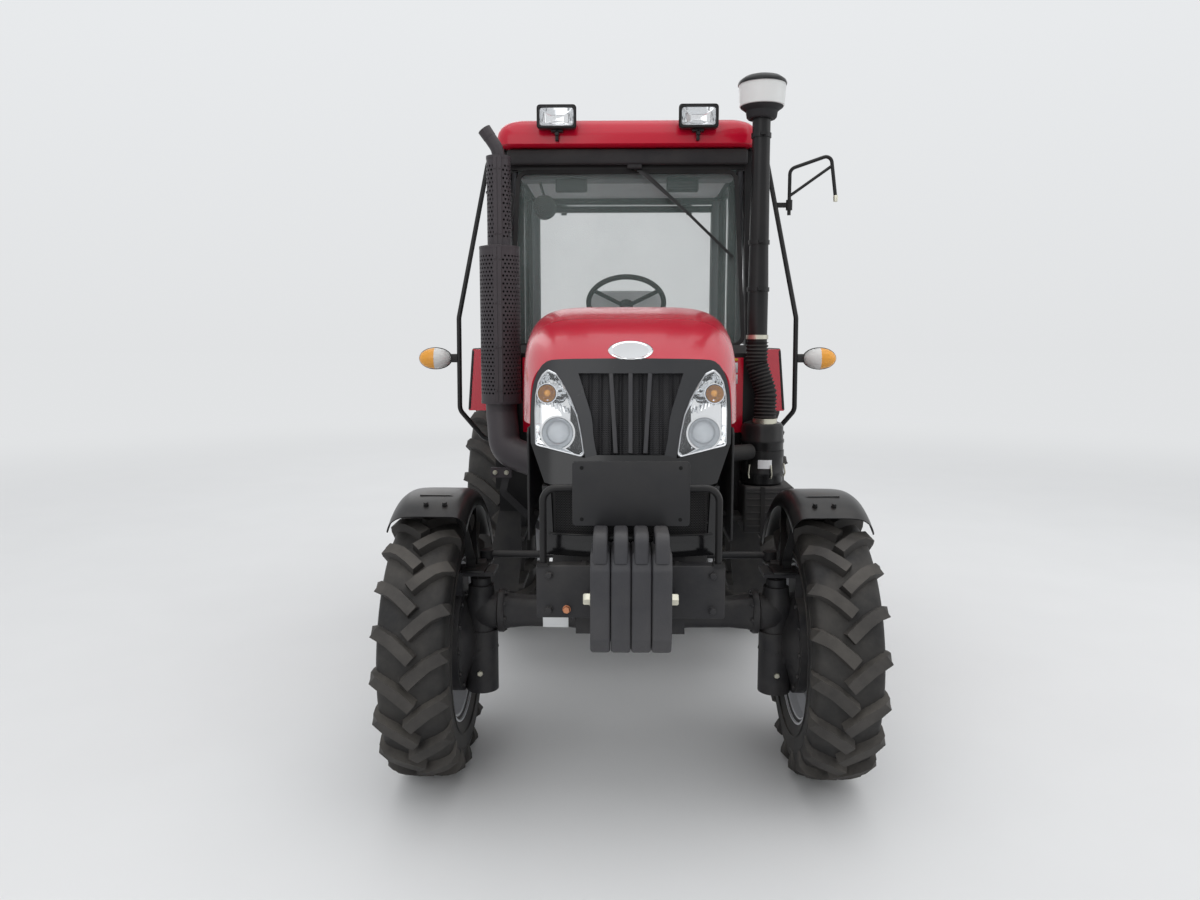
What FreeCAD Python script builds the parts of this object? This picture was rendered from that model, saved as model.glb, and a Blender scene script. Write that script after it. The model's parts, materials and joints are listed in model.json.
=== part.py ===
import FreeCAD, Part
import math
import os
import Sketcher

# Farm tractor with cab, in millimetres.
# +Z is up and the ground is Z = 0. The tractor faces -Y, and +X is its left-hand side.
# The origin is on the ground under the middle of the tractor's length.

# Driving sizes. Each is one cell of the sheet, and the pieces are bound to those cells.
sizes = {
    # wheels and track
    "wheelbase": 2120, "nose_reach": 850, "link_reach": 950,
    "front_track": 1536, "front_tyre_radius": 525, "front_tyre_width": 254,
    "rear_track": 1420, "rear_tyre_radius": 707.5, "rear_tyre_width": 378,
    "front_seat_radius": 305, "rear_seat_radius": 381,
    "front_rim_width": 203, "rear_rim_width": 330,
    "front_lugs": 19, "front_lug_height": 34, "front_lug_width": 30,
    "rear_lugs": 20, "rear_lug_height": 38, "rear_lug_width": 38,
    "rim_flange": 20, "rim_wall": 9, "front_hub_radius": 95, "rear_hub_radius": 125,
    # running gaps
    "seat_gap": 0.3, "running_gap": 6, "shaft_gap": 0.05,
    # front axle and steering
    "beam_height": 640, "beam_half_depth": 65, "beam_half_height": 70, "beam_flange_x": 515,
    "kingpin_x": 585, "kingpin_case_radius": 58, "kingpin_top": 795, "knuckle_bottom": 317,
    "front_fender_gap": 78, "final_case_radius": 205, "final_case_inner_x": 648, "final_case_outer_x": 688,
    "steering_arm": 160, "steering_rod_height": 830, "steering_rod_radius": 15,
    "steering_barrel_radius": 32, "steering_barrel_half": 250,
    # engine, gearbox and rear axle
    "frame_half_width": 180, "frame_bottom": 745, "frame_top": 880, "frame_plate": 28,
    "engine_half_width": 205, "engine_top": 1400, "sump_bottom": 585,
    "gearbox_half_width": 185, "gearbox_bottom": 450, "gearbox_top": 840,
    "axle_tube_radius": 92, "axle_case_half_width": 200,
    # front weights and board
    "weight_width": 62.5, "weight_gap": 0.5, "weight_bottom": 754, "weight_shoulder": 1070,
    "weight_top": 1135, "bracket_half_width": 303, "bracket_bottom": 823, "bracket_top": 997,
    "bracket_y": 680, "hoop_x": 280, "hoop_top": 1246, "hoop_radius": 11.5, "hoop_bend": 45,
    "board_half_width": 185, "board_bottom": 1129, "board_top": 1335, "board_thickness": 4,
    # bonnet
    "nose_seam": 1244, "nose_bottom": 1006, "nose_y": 620, "mask_y": 500, "mask_lean": 0.24,
    "nose_half_width": 318, "bonnet_rear_top": 1858, "bonnet_front_top": 1649,
    "bonnet_rear_half": 397, "bonnet_front_half": 335,
    "bonnet_skin": 12, "bonnet_rear_bottom": 1402, "bonnet_front_bottom": 1432, "bonnet_corner": 205, "bonnet_hinge_height": 1800,
    "screen_half_width": 346, "screen_bottom": 1030, "screen_skin": 8,
    # cab
    "cab_setback": 1120, "bonnet_gap": 50, "cab_half_width": 640, "cab_wall": 30,
    "pillar_width": 50, "floor_height": 900, "floor_plate": 30, "platform_height": 1110,
    "screen_foot": 1686, "screen_head": 2563, "screen_foot_half": 580, "screen_head_half": 548,
    "glass": 6, "header_top": 2660, "roof_top": 2809, "roof_rim": 2669, "roof_half_width": 654,
    "door_sill": 950, "door_reach": 720, "door_foot_reach": 500, "door_head": 2590,
    "door_bar": 45, "hinge_radius": 14,
    "fender_tyre_gap": 21, "fender_tyre_show": 44, "fender_top": 1660, "fender_skin": 18,
    "fender_front_reach": 720, "fender_front_height": 1330, "fender_top_reach": 560,
    "fender_back_reach": 620, "fender_back_height": 1420, "fender_tail_reach": 700,
    "fender_tail_height": 1120, "rear_wall_y": 300, "step_inner_x": 540, "step_outer_x": 735, "step_low": 430,
    "step_rise": 250, "step_plate": 25, "step_front": 60, "step_depth": 270,
    "wheel_setback": 500, "wheel_height": 1910, "wheel_ring_radius": 205, "console_half": 170,
    "seat_setback": 740, "seat_half": 250, "seat_top": 1450, "seat_cushion": 125,
    "seat_depth": 480, "seat_back_top": 2025, "seat_back_half": 240,
    # stacks and boxes beside the bonnet
    "stack_setback": 110, "duct_height": 1100,
    "exhaust_x": 610, "exhaust_tip": 2700, "exhaust_pipe_radius": 30,
    "guard_upper_radius": 57, "guard_lower_radius": 96.5, "guard_upper_top": 2568,
    "guard_step": 2150, "guard_foot": 1412, "guard_skin": 3,
    "intake_x": 625, "intake_top": 2763, "intake_radius": 42, "intake_foot": 1560,
    "bowl_radius": 113, "bowl_top": 2936,
    "battery_inner_x": 560, "battery_outer_x": 800, "battery_bottom": 790,
    "cleaner_x": 660, "cleaner_radius": 106, "cleaner_bottom": 1015, "cleaner_top": 1318,
    # hand-rail posts, lamps and mirror arms
    "post_x": 834, "post_radius": 12, "post_foot_x": 715, "post_head_x": 698,
    "post_head": 2515, "post_foot": 1214, "lamp_outer_x": 1045, "lamp_height": 1620, "arm_radius": 9,
    # rear linkage
    "link_pin_x": 250, "link_ball_x": 360, "link_height": 450, "link_bar": 22, "link_depth": 60,
    "lift_shaft_height": 975, "lift_arm": 260, "lift_arm_x": 215, "lift_rod_x": 345,
    "top_link_height": 860, "drawbar_height": 380, "pto_height": 620, "pto_radius": 17.5,
}

document = FreeCAD.newDocument("Tractor")
sheet = document.addObject("Spreadsheet::Sheet", "Sizes")
for row, (alias, number) in enumerate(sizes.items(), start=1):
    sheet.set("A%d" % row, alias)
    sheet.set("B%d" % row, str(number))
    sheet.setAlias("B%d" % row, alias)
document.recompute()


# A length that keeps the sheet expression it was worked out from.
class Size(float):
    def __new__(cls, value, text=None):
        size = float.__new__(cls, value)
        size.text = text if text is not None else repr(float(value))
        return size

    def __add__(self, other):
        return combine(self, "+", other, float(self) + float(other))

    def __radd__(self, other):
        return combine(other, "+", self, float(other) + float(self))

    def __sub__(self, other):
        return combine(self, "-", other, float(self) - float(other))

    def __rsub__(self, other):
        return combine(other, "-", self, float(other) - float(self))

    def __mul__(self, other):
        return combine(self, "*", other, float(self) * float(other))

    def __rmul__(self, other):
        return combine(other, "*", self, float(other) * float(self))

    def __truediv__(self, other):
        return combine(self, "/", other, float(self) / float(other))

    def __neg__(self):
        return combine(0, "-", self, -float(self))


def combine(first, sign, second, value):
    texts = [item.text if isinstance(item, Size) else repr(float(item)) for item in (first, second)]
    return Size(value, "(%s %s %s)" % (texts[0], sign, texts[1]))


class Sizes:
    def __getattr__(self, alias):
        return Size(sheet.get(alias), "Sizes.%s" % alias)


d = Sizes()
nodes = []


def bind(item, prop, size):
    """Set a property from a size, through the sheet where the size comes from it."""
    if isinstance(size, Size) and "Sizes." in size.text:
        item.setExpression(prop, size.text)
    else:
        item.setExpression(prop, repr(float(size)))


def place(item, x, y, z):
    for axis, size in (("x", x), ("y", y), ("z", z)):
        bind(item, ".Placement.Base." + axis, size)
    return item


def block(name, x, y, z):
    """A box between a low and a high value on each axis."""
    item = document.addObject("Part::Box", name)
    bind(item, "Length", x[1] - x[0])
    bind(item, "Width", y[1] - y[0])
    bind(item, "Height", z[1] - z[0])
    return place(item, x[0], y[0], z[0])


turns = {
    "X": FreeCAD.Rotation(FreeCAD.Vector(0, 1, 0), 90),
    "Y": FreeCAD.Rotation(FreeCAD.Vector(1, 0, 0), -90),
    "Z": FreeCAD.Rotation(),
}


def rod(name, axis, radius, span, x=0, y=0, z=0):
    """A round bar along one axis. The coordinate on that axis is span's low end."""
    item = document.addObject("Part::Cylinder", name)
    bind(item, "Radius", radius)
    bind(item, "Height", span[1] - span[0])
    item.Placement = FreeCAD.Placement(FreeCAD.Vector(), turns[axis])
    start = {"X": x, "Y": y, "Z": z}
    start[axis] = span[0]
    return place(item, start["X"], start["Y"], start["Z"])


def outline(body, plane, points):
    """A closed sketch of straight lines on one of the body's own planes, each corner bound."""
    sketch = body.newObject("Sketcher::SketchObject", body.Name + "_outline")
    support = [item for item in body.Origin.OriginFeatures if item.Role == plane + "_Plane"][0]
    sketch.AttachmentSupport = [(support, "")]
    sketch.MapMode = "FlatFace"
    count = len(points)
    for index, point in enumerate(points):
        after = points[(index + 1) % count]
        start = FreeCAD.Vector(float(point[0]), float(point[1]), 0)
        end = FreeCAD.Vector(float(after[0]), float(after[1]), 0)
        sketch.addGeometry(Part.LineSegment(start, end))
    for index in range(count):
        sketch.addConstraint(Sketcher.Constraint("Coincident", index, 2, (index + 1) % count, 1))
    for index, point in enumerate(points):
        for kind, size in (("DistanceX", point[0]), ("DistanceY", point[1])):
            number = sketch.addConstraint(Sketcher.Constraint(kind, index, 1, float(size)))
            if isinstance(size, Size) and "Sizes." in size.text:
                sketch.setExpression("Constraints[%d]" % number, size.text)
    return sketch


def prism(name, plane, points, low, high):
    """An outline on XY, XZ or YZ, extruded from low to high along the third axis."""
    body = document.addObject("PartDesign::Body", name)
    sketch = outline(body, plane, points)
    pad = body.newObject("PartDesign::Pad", name + "_pad")
    pad.Profile = sketch
    bind(pad, "Length", high - low)
    # The XZ plane's own normal is -Y, so its pad is turned round to run along +Y.
    pad.Reversed = plane == "XZ"
    axis = {"XY": "z", "XZ": "y", "YZ": "x"}[plane]
    bind(body, ".Placement.Base." + axis, low)
    return body


def turned(name, axis, points, x=0, y=0, z=0):
    """A profile of (distance along the axis, radius) points turned round that axis."""
    body = document.addObject("PartDesign::Body", name)
    sketch = outline(body, "XY", points)
    revolution = body.newObject("PartDesign::Revolution", name + "_turn")
    revolution.Profile = sketch
    revolution.ReferenceAxis = (sketch, ["H_Axis"])
    revolution.Angle = 360
    rotation = {
        "X": FreeCAD.Rotation(),
        "Y": FreeCAD.Rotation(FreeCAD.Vector(0, 0, 1), 90),
        "Z": FreeCAD.Rotation(FreeCAD.Vector(0, 1, 0), -90),
    }[axis]
    body.Placement = FreeCAD.Placement(FreeCAD.Vector(), rotation)
    return place(body, x, y, z)


def join(name, items):
    item = document.addObject("Part::MultiFuse", name)
    item.Shapes = items
    return item


def cut(name, base, tools):
    item = document.addObject("Part::Cut", name)
    item.Base = base
    item.Tool = tools[0] if len(tools) == 1 else join(name + "_tools", tools)
    return item


def group(name, items):
    """Pieces that don't touch, kept in one node."""
    item = document.addObject("Part::Compound", name)
    item.Links = items
    return item


def made(name, shape):
    item = document.addObject("Part::Feature", name)
    item.Shape = shape
    return item


def vec(x, y, z):
    return FreeCAD.Vector(float(x), float(y), float(z))


def sided(sign, low, high):
    """A span of x on the left side, or its mirror image on the right side."""
    return (low, high) if sign > 0 else (-high, -low)


def bent(name, radius, bend, points):
    """A round bar along straight runs that tangent arcs of one bend radius join."""
    corners = [vec(*point) for point in points]
    edges = []
    start = corners[0]
    for before, corner, after in zip(corners, corners[1:], corners[2:]):
        inward = (corner - before).normalize()
        outward = (after - corner).normalize()
        turn = inward.getAngle(outward)
        trim = float(bend) * math.tan(turn / 2)
        first = corner - inward * trim
        last = corner + outward * trim
        middle = corner + (outward - inward).normalize() * (
            float(bend) / math.cos(turn / 2) - float(bend))
        edges.append(Part.LineSegment(start, first).toShape())
        edges.append(Part.Arc(first, middle, last).toShape())
        start = last
    edges.append(Part.LineSegment(start, corners[-1]).toShape())
    path = Part.Wire(edges)
    circle = Part.Wire(Part.makeCircle(float(radius), corners[0], corners[1] - corners[0]))
    return made(name, path.makePipeShell([circle], True, True))


def hull(name, rings):
    """A solid with straight sides between closed rings of the same number of corners."""
    wires = [Part.makePolygon([vec(*point) for point in ring + ring[:1]]) for ring in rings]
    solid = Part.makeLoft(wires, True, True)
    if solid.Volume < 0:
        solid.reverse()
    return made(name, solid)


def keep(label, item):
    """Mark an object as a finished piece. Its label names its file."""
    item.Label = label
    nodes.append(item)
    return item


total_length = d.nose_reach + d.wheelbase + d.link_reach
front_axle = d.nose_reach - total_length / 2
rear_axle = front_axle + d.wheelbase
cab_front = rear_axle - d.cab_setback
bonnet_rear = cab_front - d.bonnet_gap


def ahead(distance):
    """A place ahead of the front axle."""
    return front_axle - distance


# Wheels: a tyre on a rim with a dished disc.
# Rings of the tread, from its middle to its shoulder. Across and lead are shares of the tyre's half
# width; fall is how much lower the ring lies; width is the lug's, along the tread.
tread_rings = [
    # across, lead, fall, lug height, lug width
    (0.09, 0.08, 0, 1.00, 1.40),
    (0.48, 0.50, 3, 1.00, 1.25),
    (0.92, 0.78, 16, 0.95, 1.05),
]
wall_lead, wall_share = 0.90, 0.55


def tyre_half(side, half, radius, seat, rim_width, flange, lugs, lug_height, lug_width):
    """One half of a tyre, as rings of (across, angle, radius) corners from the crown to the bead.

    A pitch has four corners on the tread's rings, of which the middle two stand up as a lug. It has
    two on the crown and on the side wall, where the lug's edges run out.
    """
    crown = radius - lug_height
    pitch = 2 * math.pi / lugs
    shift = 0 if side > 0 else pitch / 2
    bead = rim_width / 2 - d.seat_gap
    flat = math.cos(pitch / 4)
    low = (seat + d.seat_gap) / flat
    rings = [[(0, shift - pitch / 4, crown), (0, shift + pitch / 4, crown)]]
    for across, lead, fall, height, width in tread_rings:
        middle = shift + lead * half / crown
        spread = width * lug_width / 2 / crown
        foot = spread + lug_height * 0.25 / crown
        base, tip = crown - fall, crown - fall + lug_height * height
        rings.append([(across * half, middle - foot, base), (across * half, middle - spread, tip),
                      (across * half, middle + spread, tip), (across * half, middle + foot, base)])
    middle = shift + wall_lead * half / crown
    spread = lug_width / 2 / crown
    rings.append([(half, middle + turn * spread, seat + (radius - seat) * wall_share)
                  for turn in (-1, 1)])
    step = round((middle - shift) / (pitch / 2)) * pitch / 2
    for far in (low + flange, low):
        rings.append([(bead, shift + step + turn * pitch / 4, far) for turn in (-1, 1)])
    return [[(side * x, angle, far) for x, angle, far in ring] for ring in rings]


def ring_faces(first, second, lugs):
    """Corners of the faces between two rings, pitch by pitch, with four or two corners each."""
    pairs = {(2, 2): [(0, 1, 1, 0), (1, 2, 2, 1)], (4, 4): [(n, n + 1, n + 1, n) for n in range(4)],
             (2, 4): [(0, 1, 2, 1), (0, 0, 1, 0), (1, 1, 3, 2), (1, 2, 4, 3)],
             (4, 2): [(1, 2, 1, 0), (0, 1, 0, 0), (2, 3, 1, 1), (3, 4, 2, 1)]}
    faces = []
    for number in range(lugs):
        for a, b, c, e in pairs[(len(first), len(second))]:
            corners = []
            for ring, at in ((first, a), (first, b), (second, c), (second, e)):
                x, angle, far = ring[at % len(ring)]
                turn = angle + 2 * math.pi / lugs * (number + at // len(ring))
                point = vec(x, -far * math.cos(turn), far * math.sin(turn))
                if not any(point.isEqual(other, 1e-6) for other in corners):
                    corners.append(point)
            faces.append(corners)
    return faces


def lugged_tyre(name, width, radius, seat, rim_width, flange, lugs, lug_height, lug_width, x, y):
    """A closed tyre of flat faces. A face with four corners that isn't flat becomes two."""
    halves = [tyre_half(side, float(width) / 2, float(radius), float(seat), float(rim_width),
                        float(flange), int(lugs), float(lug_height), float(lug_width))
              for side in (1, -1)]
    corners = []
    for rings in halves:
        for first, second in zip(rings, rings[1:]):
            corners += ring_faces(first, second, int(lugs))
    half_pitch = math.pi / int(lugs)
    last = halves[0][-1]
    for number in range(2 * int(lugs)):
        turns_at = [last[0][1] + half_pitch * (number + more) for more in (0, 1)]
        far, across = last[0][2], last[0][0]
        corners.append([vec(side * across, -far * math.cos(turn), far * math.sin(turn))
                        for side, turn in ((1, turns_at[0]), (1, turns_at[1]),
                                           (-1, turns_at[1]), (-1, turns_at[0]))])
    faces = []
    for points in corners:
        if len(points) == 4:
            normal = (points[1] - points[0]).cross(points[2] - points[0])
            if abs(normal.normalize().dot(points[3] - points[0])) > 1e-5:
                faces.append([points[0], points[1], points[2]])
                faces.append([points[0], points[2], points[3]])
                continue
        faces.append(points)
    shell = Part.makeShell([Part.Face(Part.makePolygon(points + points[:1])) for points in faces])
    shell.sewShape()
    solid = Part.Solid(shell)
    if solid.Volume < 0:
        solid.reverse()
    return place(made(name, solid), x, y, radius)


def rim_profile(seat, rim_width, flange, wall, hub, dish_rim, dish_hub, hub_face):
    """Barrel, flanges, dished disc and hub. Positive is away from the tractor."""
    half = rim_width / 2
    edge = half + wall
    inner = seat - wall
    return [
        (dish_hub, 0), (dish_hub, hub), (dish_rim, inner), (-edge, inner), (-edge, seat + flange),
        (-half, seat + flange), (-half, seat), (half, seat), (half, seat + flange),
        (edge, seat + flange), (edge, inner), (dish_rim + wall, inner), (dish_hub + wall, hub),
        (hub_face, hub - 10), (hub_face, 0)]


for end in ("front", "rear"):
    axle_y, radius, width, track, seat, rim_width, hub, lugs, lug_height, lug_width = {
        "front": (front_axle, d.front_tyre_radius, d.front_tyre_width, d.front_track,
                  d.front_seat_radius, d.front_rim_width, d.front_hub_radius,
                  d.front_lugs, d.front_lug_height, d.front_lug_width),
        "rear": (rear_axle, d.rear_tyre_radius, d.rear_tyre_width, d.rear_track,
                 d.rear_seat_radius, d.rear_rim_width, d.rear_hub_radius,
                 d.rear_lugs, d.rear_lug_height, d.rear_lug_width)}[end]
    dish_rim, dish_hub = {"front": (-20, -55), "rear": (40, -35)}[end]
    for side, sign in (("left", 1), ("right", -1)):
        tyre = lugged_tyre("%s_tyre_%s" % (end, side), width, radius, seat, rim_width, d.rim_flange,
                           lugs, lug_height, lug_width, track / 2 * sign, axle_y)
        keep("%s_tyre_%s" % (end, side), tyre)
        profile = rim_profile(seat, rim_width, d.rim_flange, d.rim_wall, hub,
                              Size(dish_rim), Size(dish_hub), Size(dish_hub + 60))
        profile = [(along * sign, far) for along, far in profile]
        keep("%s_rim_%s" % (end, side),
             turned("%s_rim_%s" % (end, side), "X", profile, track / 2 * sign, axle_y, radius))

# Front drive axle: beam, end flanges, pivot boss and the fixed housings round the kingpins.
beam = block("axle_beam", (-d.beam_flange_x, d.beam_flange_x),
             (front_axle - d.beam_half_depth, front_axle + d.beam_half_depth),
             (d.beam_height - d.beam_half_height, d.beam_height + d.beam_half_height))
axle_parts = [beam]
for side, sign in (("left", 1), ("right", -1)):
    inner = d.beam_flange_x - 30
    outer = d.beam_flange_x
    axle_parts.append(block("axle_flange_" + side,
                            sided(sign, inner, outer),
                            (front_axle - 90, front_axle + 90),
                            (d.beam_height - 95, d.beam_height + 95)))
    axle_parts.append(rod("kingpin_case_" + side, "Z", d.kingpin_case_radius,
                          (d.beam_height - 75, d.kingpin_top), d.kingpin_x * sign, front_axle))
    axle_parts.append(rod("bevel_case_" + side, "X", Size(70),
                          sided(sign, d.beam_flange_x - 5, d.kingpin_x), 0, front_axle,
                          d.beam_height))
steer_y = front_axle + d.steering_arm
barrel = rod("steering_barrel", "X", d.steering_barrel_radius,
             (-d.steering_barrel_half, d.steering_barrel_half), 0, steer_y, d.steering_rod_height)
axle_parts.append(barrel)
for side, span_x in (("left", (Size(115), Size(148))), ("right", (Size(-148), Size(-115)))):
    axle_parts.append(block("barrel_arm_" + side, span_x,
                            (front_axle + d.beam_half_depth - 20, steer_y + 18),
                            (d.beam_height + 20, d.frame_bottom - 5)))
    axle_parts.append(block("barrel_foot_" + side, span_x,
                            (front_axle + d.beam_half_depth + 40, steer_y + 18),
                            (d.beam_height + 20, d.steering_rod_height - 20)))
rod_bore = rod("rod_bore", "X", d.steering_rod_radius + d.shaft_gap,
               (-d.steering_barrel_half - 5, d.steering_barrel_half + 5), 0, steer_y,
               d.steering_rod_height)
keep("front_axle", cut("front_axle_solid", join("front_axle_raw", axle_parts), [rod_bore]))

rod_parts = [rod("slide_rod", "X", d.steering_rod_radius,
                 (10 - d.kingpin_x, d.kingpin_x - 10), 0, steer_y, d.steering_rod_height)]
for side, sign in (("left", 1), ("right", -1)):
    rod_parts.append(rod("rod_eye_" + side, "Z", Size(28),
                         (d.steering_rod_height - 18, d.steering_rod_height + 18),
                         d.kingpin_x * sign, steer_y))
keep("steering_rod", join("steering_rod_solid", rod_parts))

# Steered knuckles: the case round the kingpin's foot, the final-drive case that carries the hub,
# and the bracket over the kingpin with its steering arm.
for side, sign in (("left", 1), ("right", -1)):
    hub_end = d.front_track / 2 - 55 - d.seat_gap
    case_top = d.beam_height - 75 - d.seat_gap
    bracket_low = d.kingpin_top + d.seat_gap
    parts = [
        rod("knuckle_foot_" + side, "Z", d.kingpin_case_radius + 6, (d.knuckle_bottom, case_top),
            d.kingpin_x * sign, front_axle),
        rod("final_case_" + side, "X", d.final_case_radius,
            sided(sign, d.final_case_inner_x, d.final_case_outer_x), 0, front_axle,
            d.front_tyre_radius),
        rod("hub_neck_" + side, "X", Size(60), sided(sign, d.kingpin_x, hub_end), 0, front_axle,
            d.front_tyre_radius - 60),
        rod("hub_stub_" + side, "X", Size(80), sided(sign, d.final_case_outer_x - 5, hub_end), 0,
            front_axle, d.front_tyre_radius),
        block("knuckle_plate_" + side, sided(sign, d.final_case_inner_x, d.final_case_outer_x - 12),
              (front_axle - 70, front_axle + 70), (d.front_tyre_radius + 120, bracket_low + 15)),
        block("knuckle_bridge_" + side, sided(sign, d.kingpin_x - 60, d.final_case_outer_x - 12),
              (front_axle - 70, front_axle + 70), (bracket_low, bracket_low + 15)),
        block("steering_lever_" + side, sided(sign, d.kingpin_x - 25, d.kingpin_x + 25),
              (front_axle + 60, steer_y + 28), (bracket_low, bracket_low + 12)),
    ]
    keep("knuckle_" + side, join("knuckle_%s_solid" % side, parts))

# Front fenders, carried by the knuckles: a flat top with chamfered sides, down to the rear.
fender_reach = d.front_tyre_radius + d.front_fender_gap
fender_tail_angle = 1.02
fender_tail_y = front_axle + fender_reach * math.sin(fender_tail_angle)
for side, sign in (("left", 1), ("right", -1)):
    def fender_ring(y, lift, skin):
        inner = d.kingpin_x + 15
        outer = d.front_track / 2 + 137
        ring = [
            (inner + skin, lift - 130), (inner + skin, lift - 45), (inner + 50, lift - skin),
            (outer - 70, lift - skin), (outer - skin, lift - 40), (outer - skin, lift - 70)]
        return [(across * sign, y, up) for across, up in ring]

    stations = (-0.42, 0.18, 0.75, fender_tail_angle)
    outer_rings = []
    inner_rings = []
    for angle in stations:
        centre_y = front_axle + fender_reach * math.sin(angle)
        top = d.front_tyre_radius + fender_reach * math.cos(angle)
        outer_rings.append(fender_ring(centre_y, top, 0))
        inner_rings.append(fender_ring(centre_y, top, 8))
    solids = []
    for first in range(len(stations) - 1):
        loops = []
        for index in (first, first + 1):
            loops.append(outer_rings[index] + inner_rings[index][::-1])
        wires = [Part.makePolygon([vec(*point) for point in loop + loop[:1]]) for loop in loops]
        solids.append(Part.makeLoft(wires, True, True))
    shell = made("fender_shell_" + side, solids[0].multiFuse(solids[1:]).removeSplitter())
    stays = []
    for number, offset in enumerate((-40, 40)):
        stays.append(block("fender_stay_%s_%d" % (side, number),
                           sided(sign, d.kingpin_x + 15, d.kingpin_x + 27),
                           (front_axle + offset - 18, front_axle + offset + 18),
                           (d.kingpin_top + 15 + d.seat_gap * 2,
                            d.front_tyre_radius + fender_reach * 0.94)))
    keep("front_fender_" + side, join("front_fender_%s_solid" % side, [shell] + stays))

# Engine, front frame, gearbox and rear axle.
engine = join("engine_raw", [
    block("engine_upper", (-d.engine_half_width, d.engine_half_width),
          (front_axle - 120, cab_front - 200), (d.frame_top, d.engine_top)),
    block("engine_sump", (-d.frame_half_width + d.frame_plate + 1,
                          d.frame_half_width - d.frame_plate - 1),
          (front_axle + 240, cab_front - 200), (d.sump_bottom, d.frame_top)),
])
keep("engine_block", engine)

frame_parts = []
for side, sign in (("left", 1), ("right", -1)):
    low = d.frame_half_width - d.frame_plate
    high = d.frame_half_width
    frame_parts.append(block("frame_rail_" + side, sided(sign, low, high),
                             (ahead(600), cab_front - 330), (d.frame_bottom, d.frame_top)))
frame_parts.append(block("frame_front", (-d.frame_half_width, d.frame_half_width),
                         (ahead(600), ahead(560)), (d.frame_bottom, d.frame_top)))
frame_parts.append(block("frame_deck", (-d.frame_half_width, d.frame_half_width),
                         (ahead(560), ahead(140)), (d.frame_top - 25, d.frame_top)))
for name, near in (("hanger_front", -1), ("hanger_rear", 1)):
    inner = d.beam_half_depth + d.seat_gap
    outer = inner + 32
    y = (front_axle + inner, front_axle + outer) if near > 0 else \
        (front_axle - outer, front_axle - inner)
    frame_parts.append(block(name, (Size(-110), Size(110)), y,
                             (d.beam_height - 40, d.frame_bottom + 20)))
    frame_parts.append(block(name + "_tie", (-d.frame_half_width, d.frame_half_width), y,
                             (d.frame_bottom, d.frame_bottom + 30)))
barrel_hole = rod("barrel_hole", "X", d.steering_barrel_radius + d.running_gap,
                  (-d.frame_half_width - 5, d.frame_half_width + 5), 0, steer_y,
                  d.steering_rod_height)
keep("front_frame", cut("front_frame_solid", join("front_frame_raw", frame_parts), [barrel_hole]))

gearbox = join("gearbox_raw", [
    block("gearbox_case", (-d.gearbox_half_width, d.gearbox_half_width),
          (cab_front - 200, rear_axle - 180), (d.gearbox_bottom, d.gearbox_top)),
    block("bell_housing", (-d.engine_half_width, d.engine_half_width),
          (cab_front - 200, cab_front - 60), (d.gearbox_bottom + 80, d.engine_top - 300)),
    block("floor_pad_front", (-d.gearbox_half_width, d.gearbox_half_width),
          (cab_front + 200, cab_front + 280), (d.gearbox_top - 5, d.floor_height)),
    block("floor_pad_rear", (-d.gearbox_half_width, d.gearbox_half_width),
          (rear_axle - 480, rear_axle - 440), (d.gearbox_top - 5, d.floor_height)),
])
keep("transmission_case", gearbox)

rear_case = join("rear_case_raw", [
    block("axle_centre", (-d.axle_case_half_width, d.axle_case_half_width),
          (rear_axle - 180, rear_axle + 240), (d.gearbox_bottom, d.gearbox_top + 50)),
    rod("axle_tubes", "X", d.axle_tube_radius,
        (-d.rear_track / 2 + 35 + d.seat_gap, d.rear_track / 2 - 35 - d.seat_gap), 0,
        rear_axle, d.rear_tyre_radius),
    block("lift_housing", (Size(-165), Size(165)), (rear_axle - 100, rear_axle + 345),
          (d.gearbox_top, d.lift_shaft_height + 40)),
    *[prism("top_link_bracket_" + side, "YZ", [
        (rear_axle + 340, d.gearbox_top + 10), (rear_axle + 410, d.top_link_height - 45),
        (rear_axle + 440, d.top_link_height - 30), (rear_axle + 440, d.top_link_height + 30),
        (rear_axle + 410, d.top_link_height + 45), (rear_axle + 340, d.lift_shaft_height + 10)],
            *sided(sign, Size(22), Size(34))) for side, sign in (("left", 1), ("right", -1))],
    rod("top_link_pin", "X", Size(9.5), (Size(-34), Size(34)), 0, rear_axle + 410,
        d.top_link_height),
    rod("link_pin", "X", Size(11), (-d.link_pin_x - 30, d.link_pin_x + 30), 0, rear_axle + 180,
        d.link_height + 40),
    rod("pto_shaft", "Y", d.pto_radius, (rear_axle + 235, rear_axle + 330), 0, 0, d.pto_height),
])
shaft_bore = rod("lift_shaft_bore", "X", Size(26) + d.shaft_gap, (Size(-170), Size(170)), 0,
                 rear_axle + 300, d.lift_shaft_height)
keep("rear_axle_case", cut("rear_case_solid", rear_case, [shaft_bore]))

drawbar = cut("drawbar_raw", block("drawbar_bar", (Size(-32), Size(32)),
                                   (rear_axle - 150, rear_axle + 640),
                                   (d.drawbar_height, d.drawbar_height + 32)),
              [rod("drawbar_hole", "Z", Size(15), (d.drawbar_height - 5, d.drawbar_height + 37), 0,
                   rear_axle + 600)])
hanger = block("drawbar_hanger", (Size(-60), Size(60)), (rear_axle + 60, rear_axle + 130),
               (d.drawbar_height + 30, d.gearbox_bottom - d.seat_gap))
keep("drawbar", join("drawbar_solid", [drawbar, hanger]))

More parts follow.
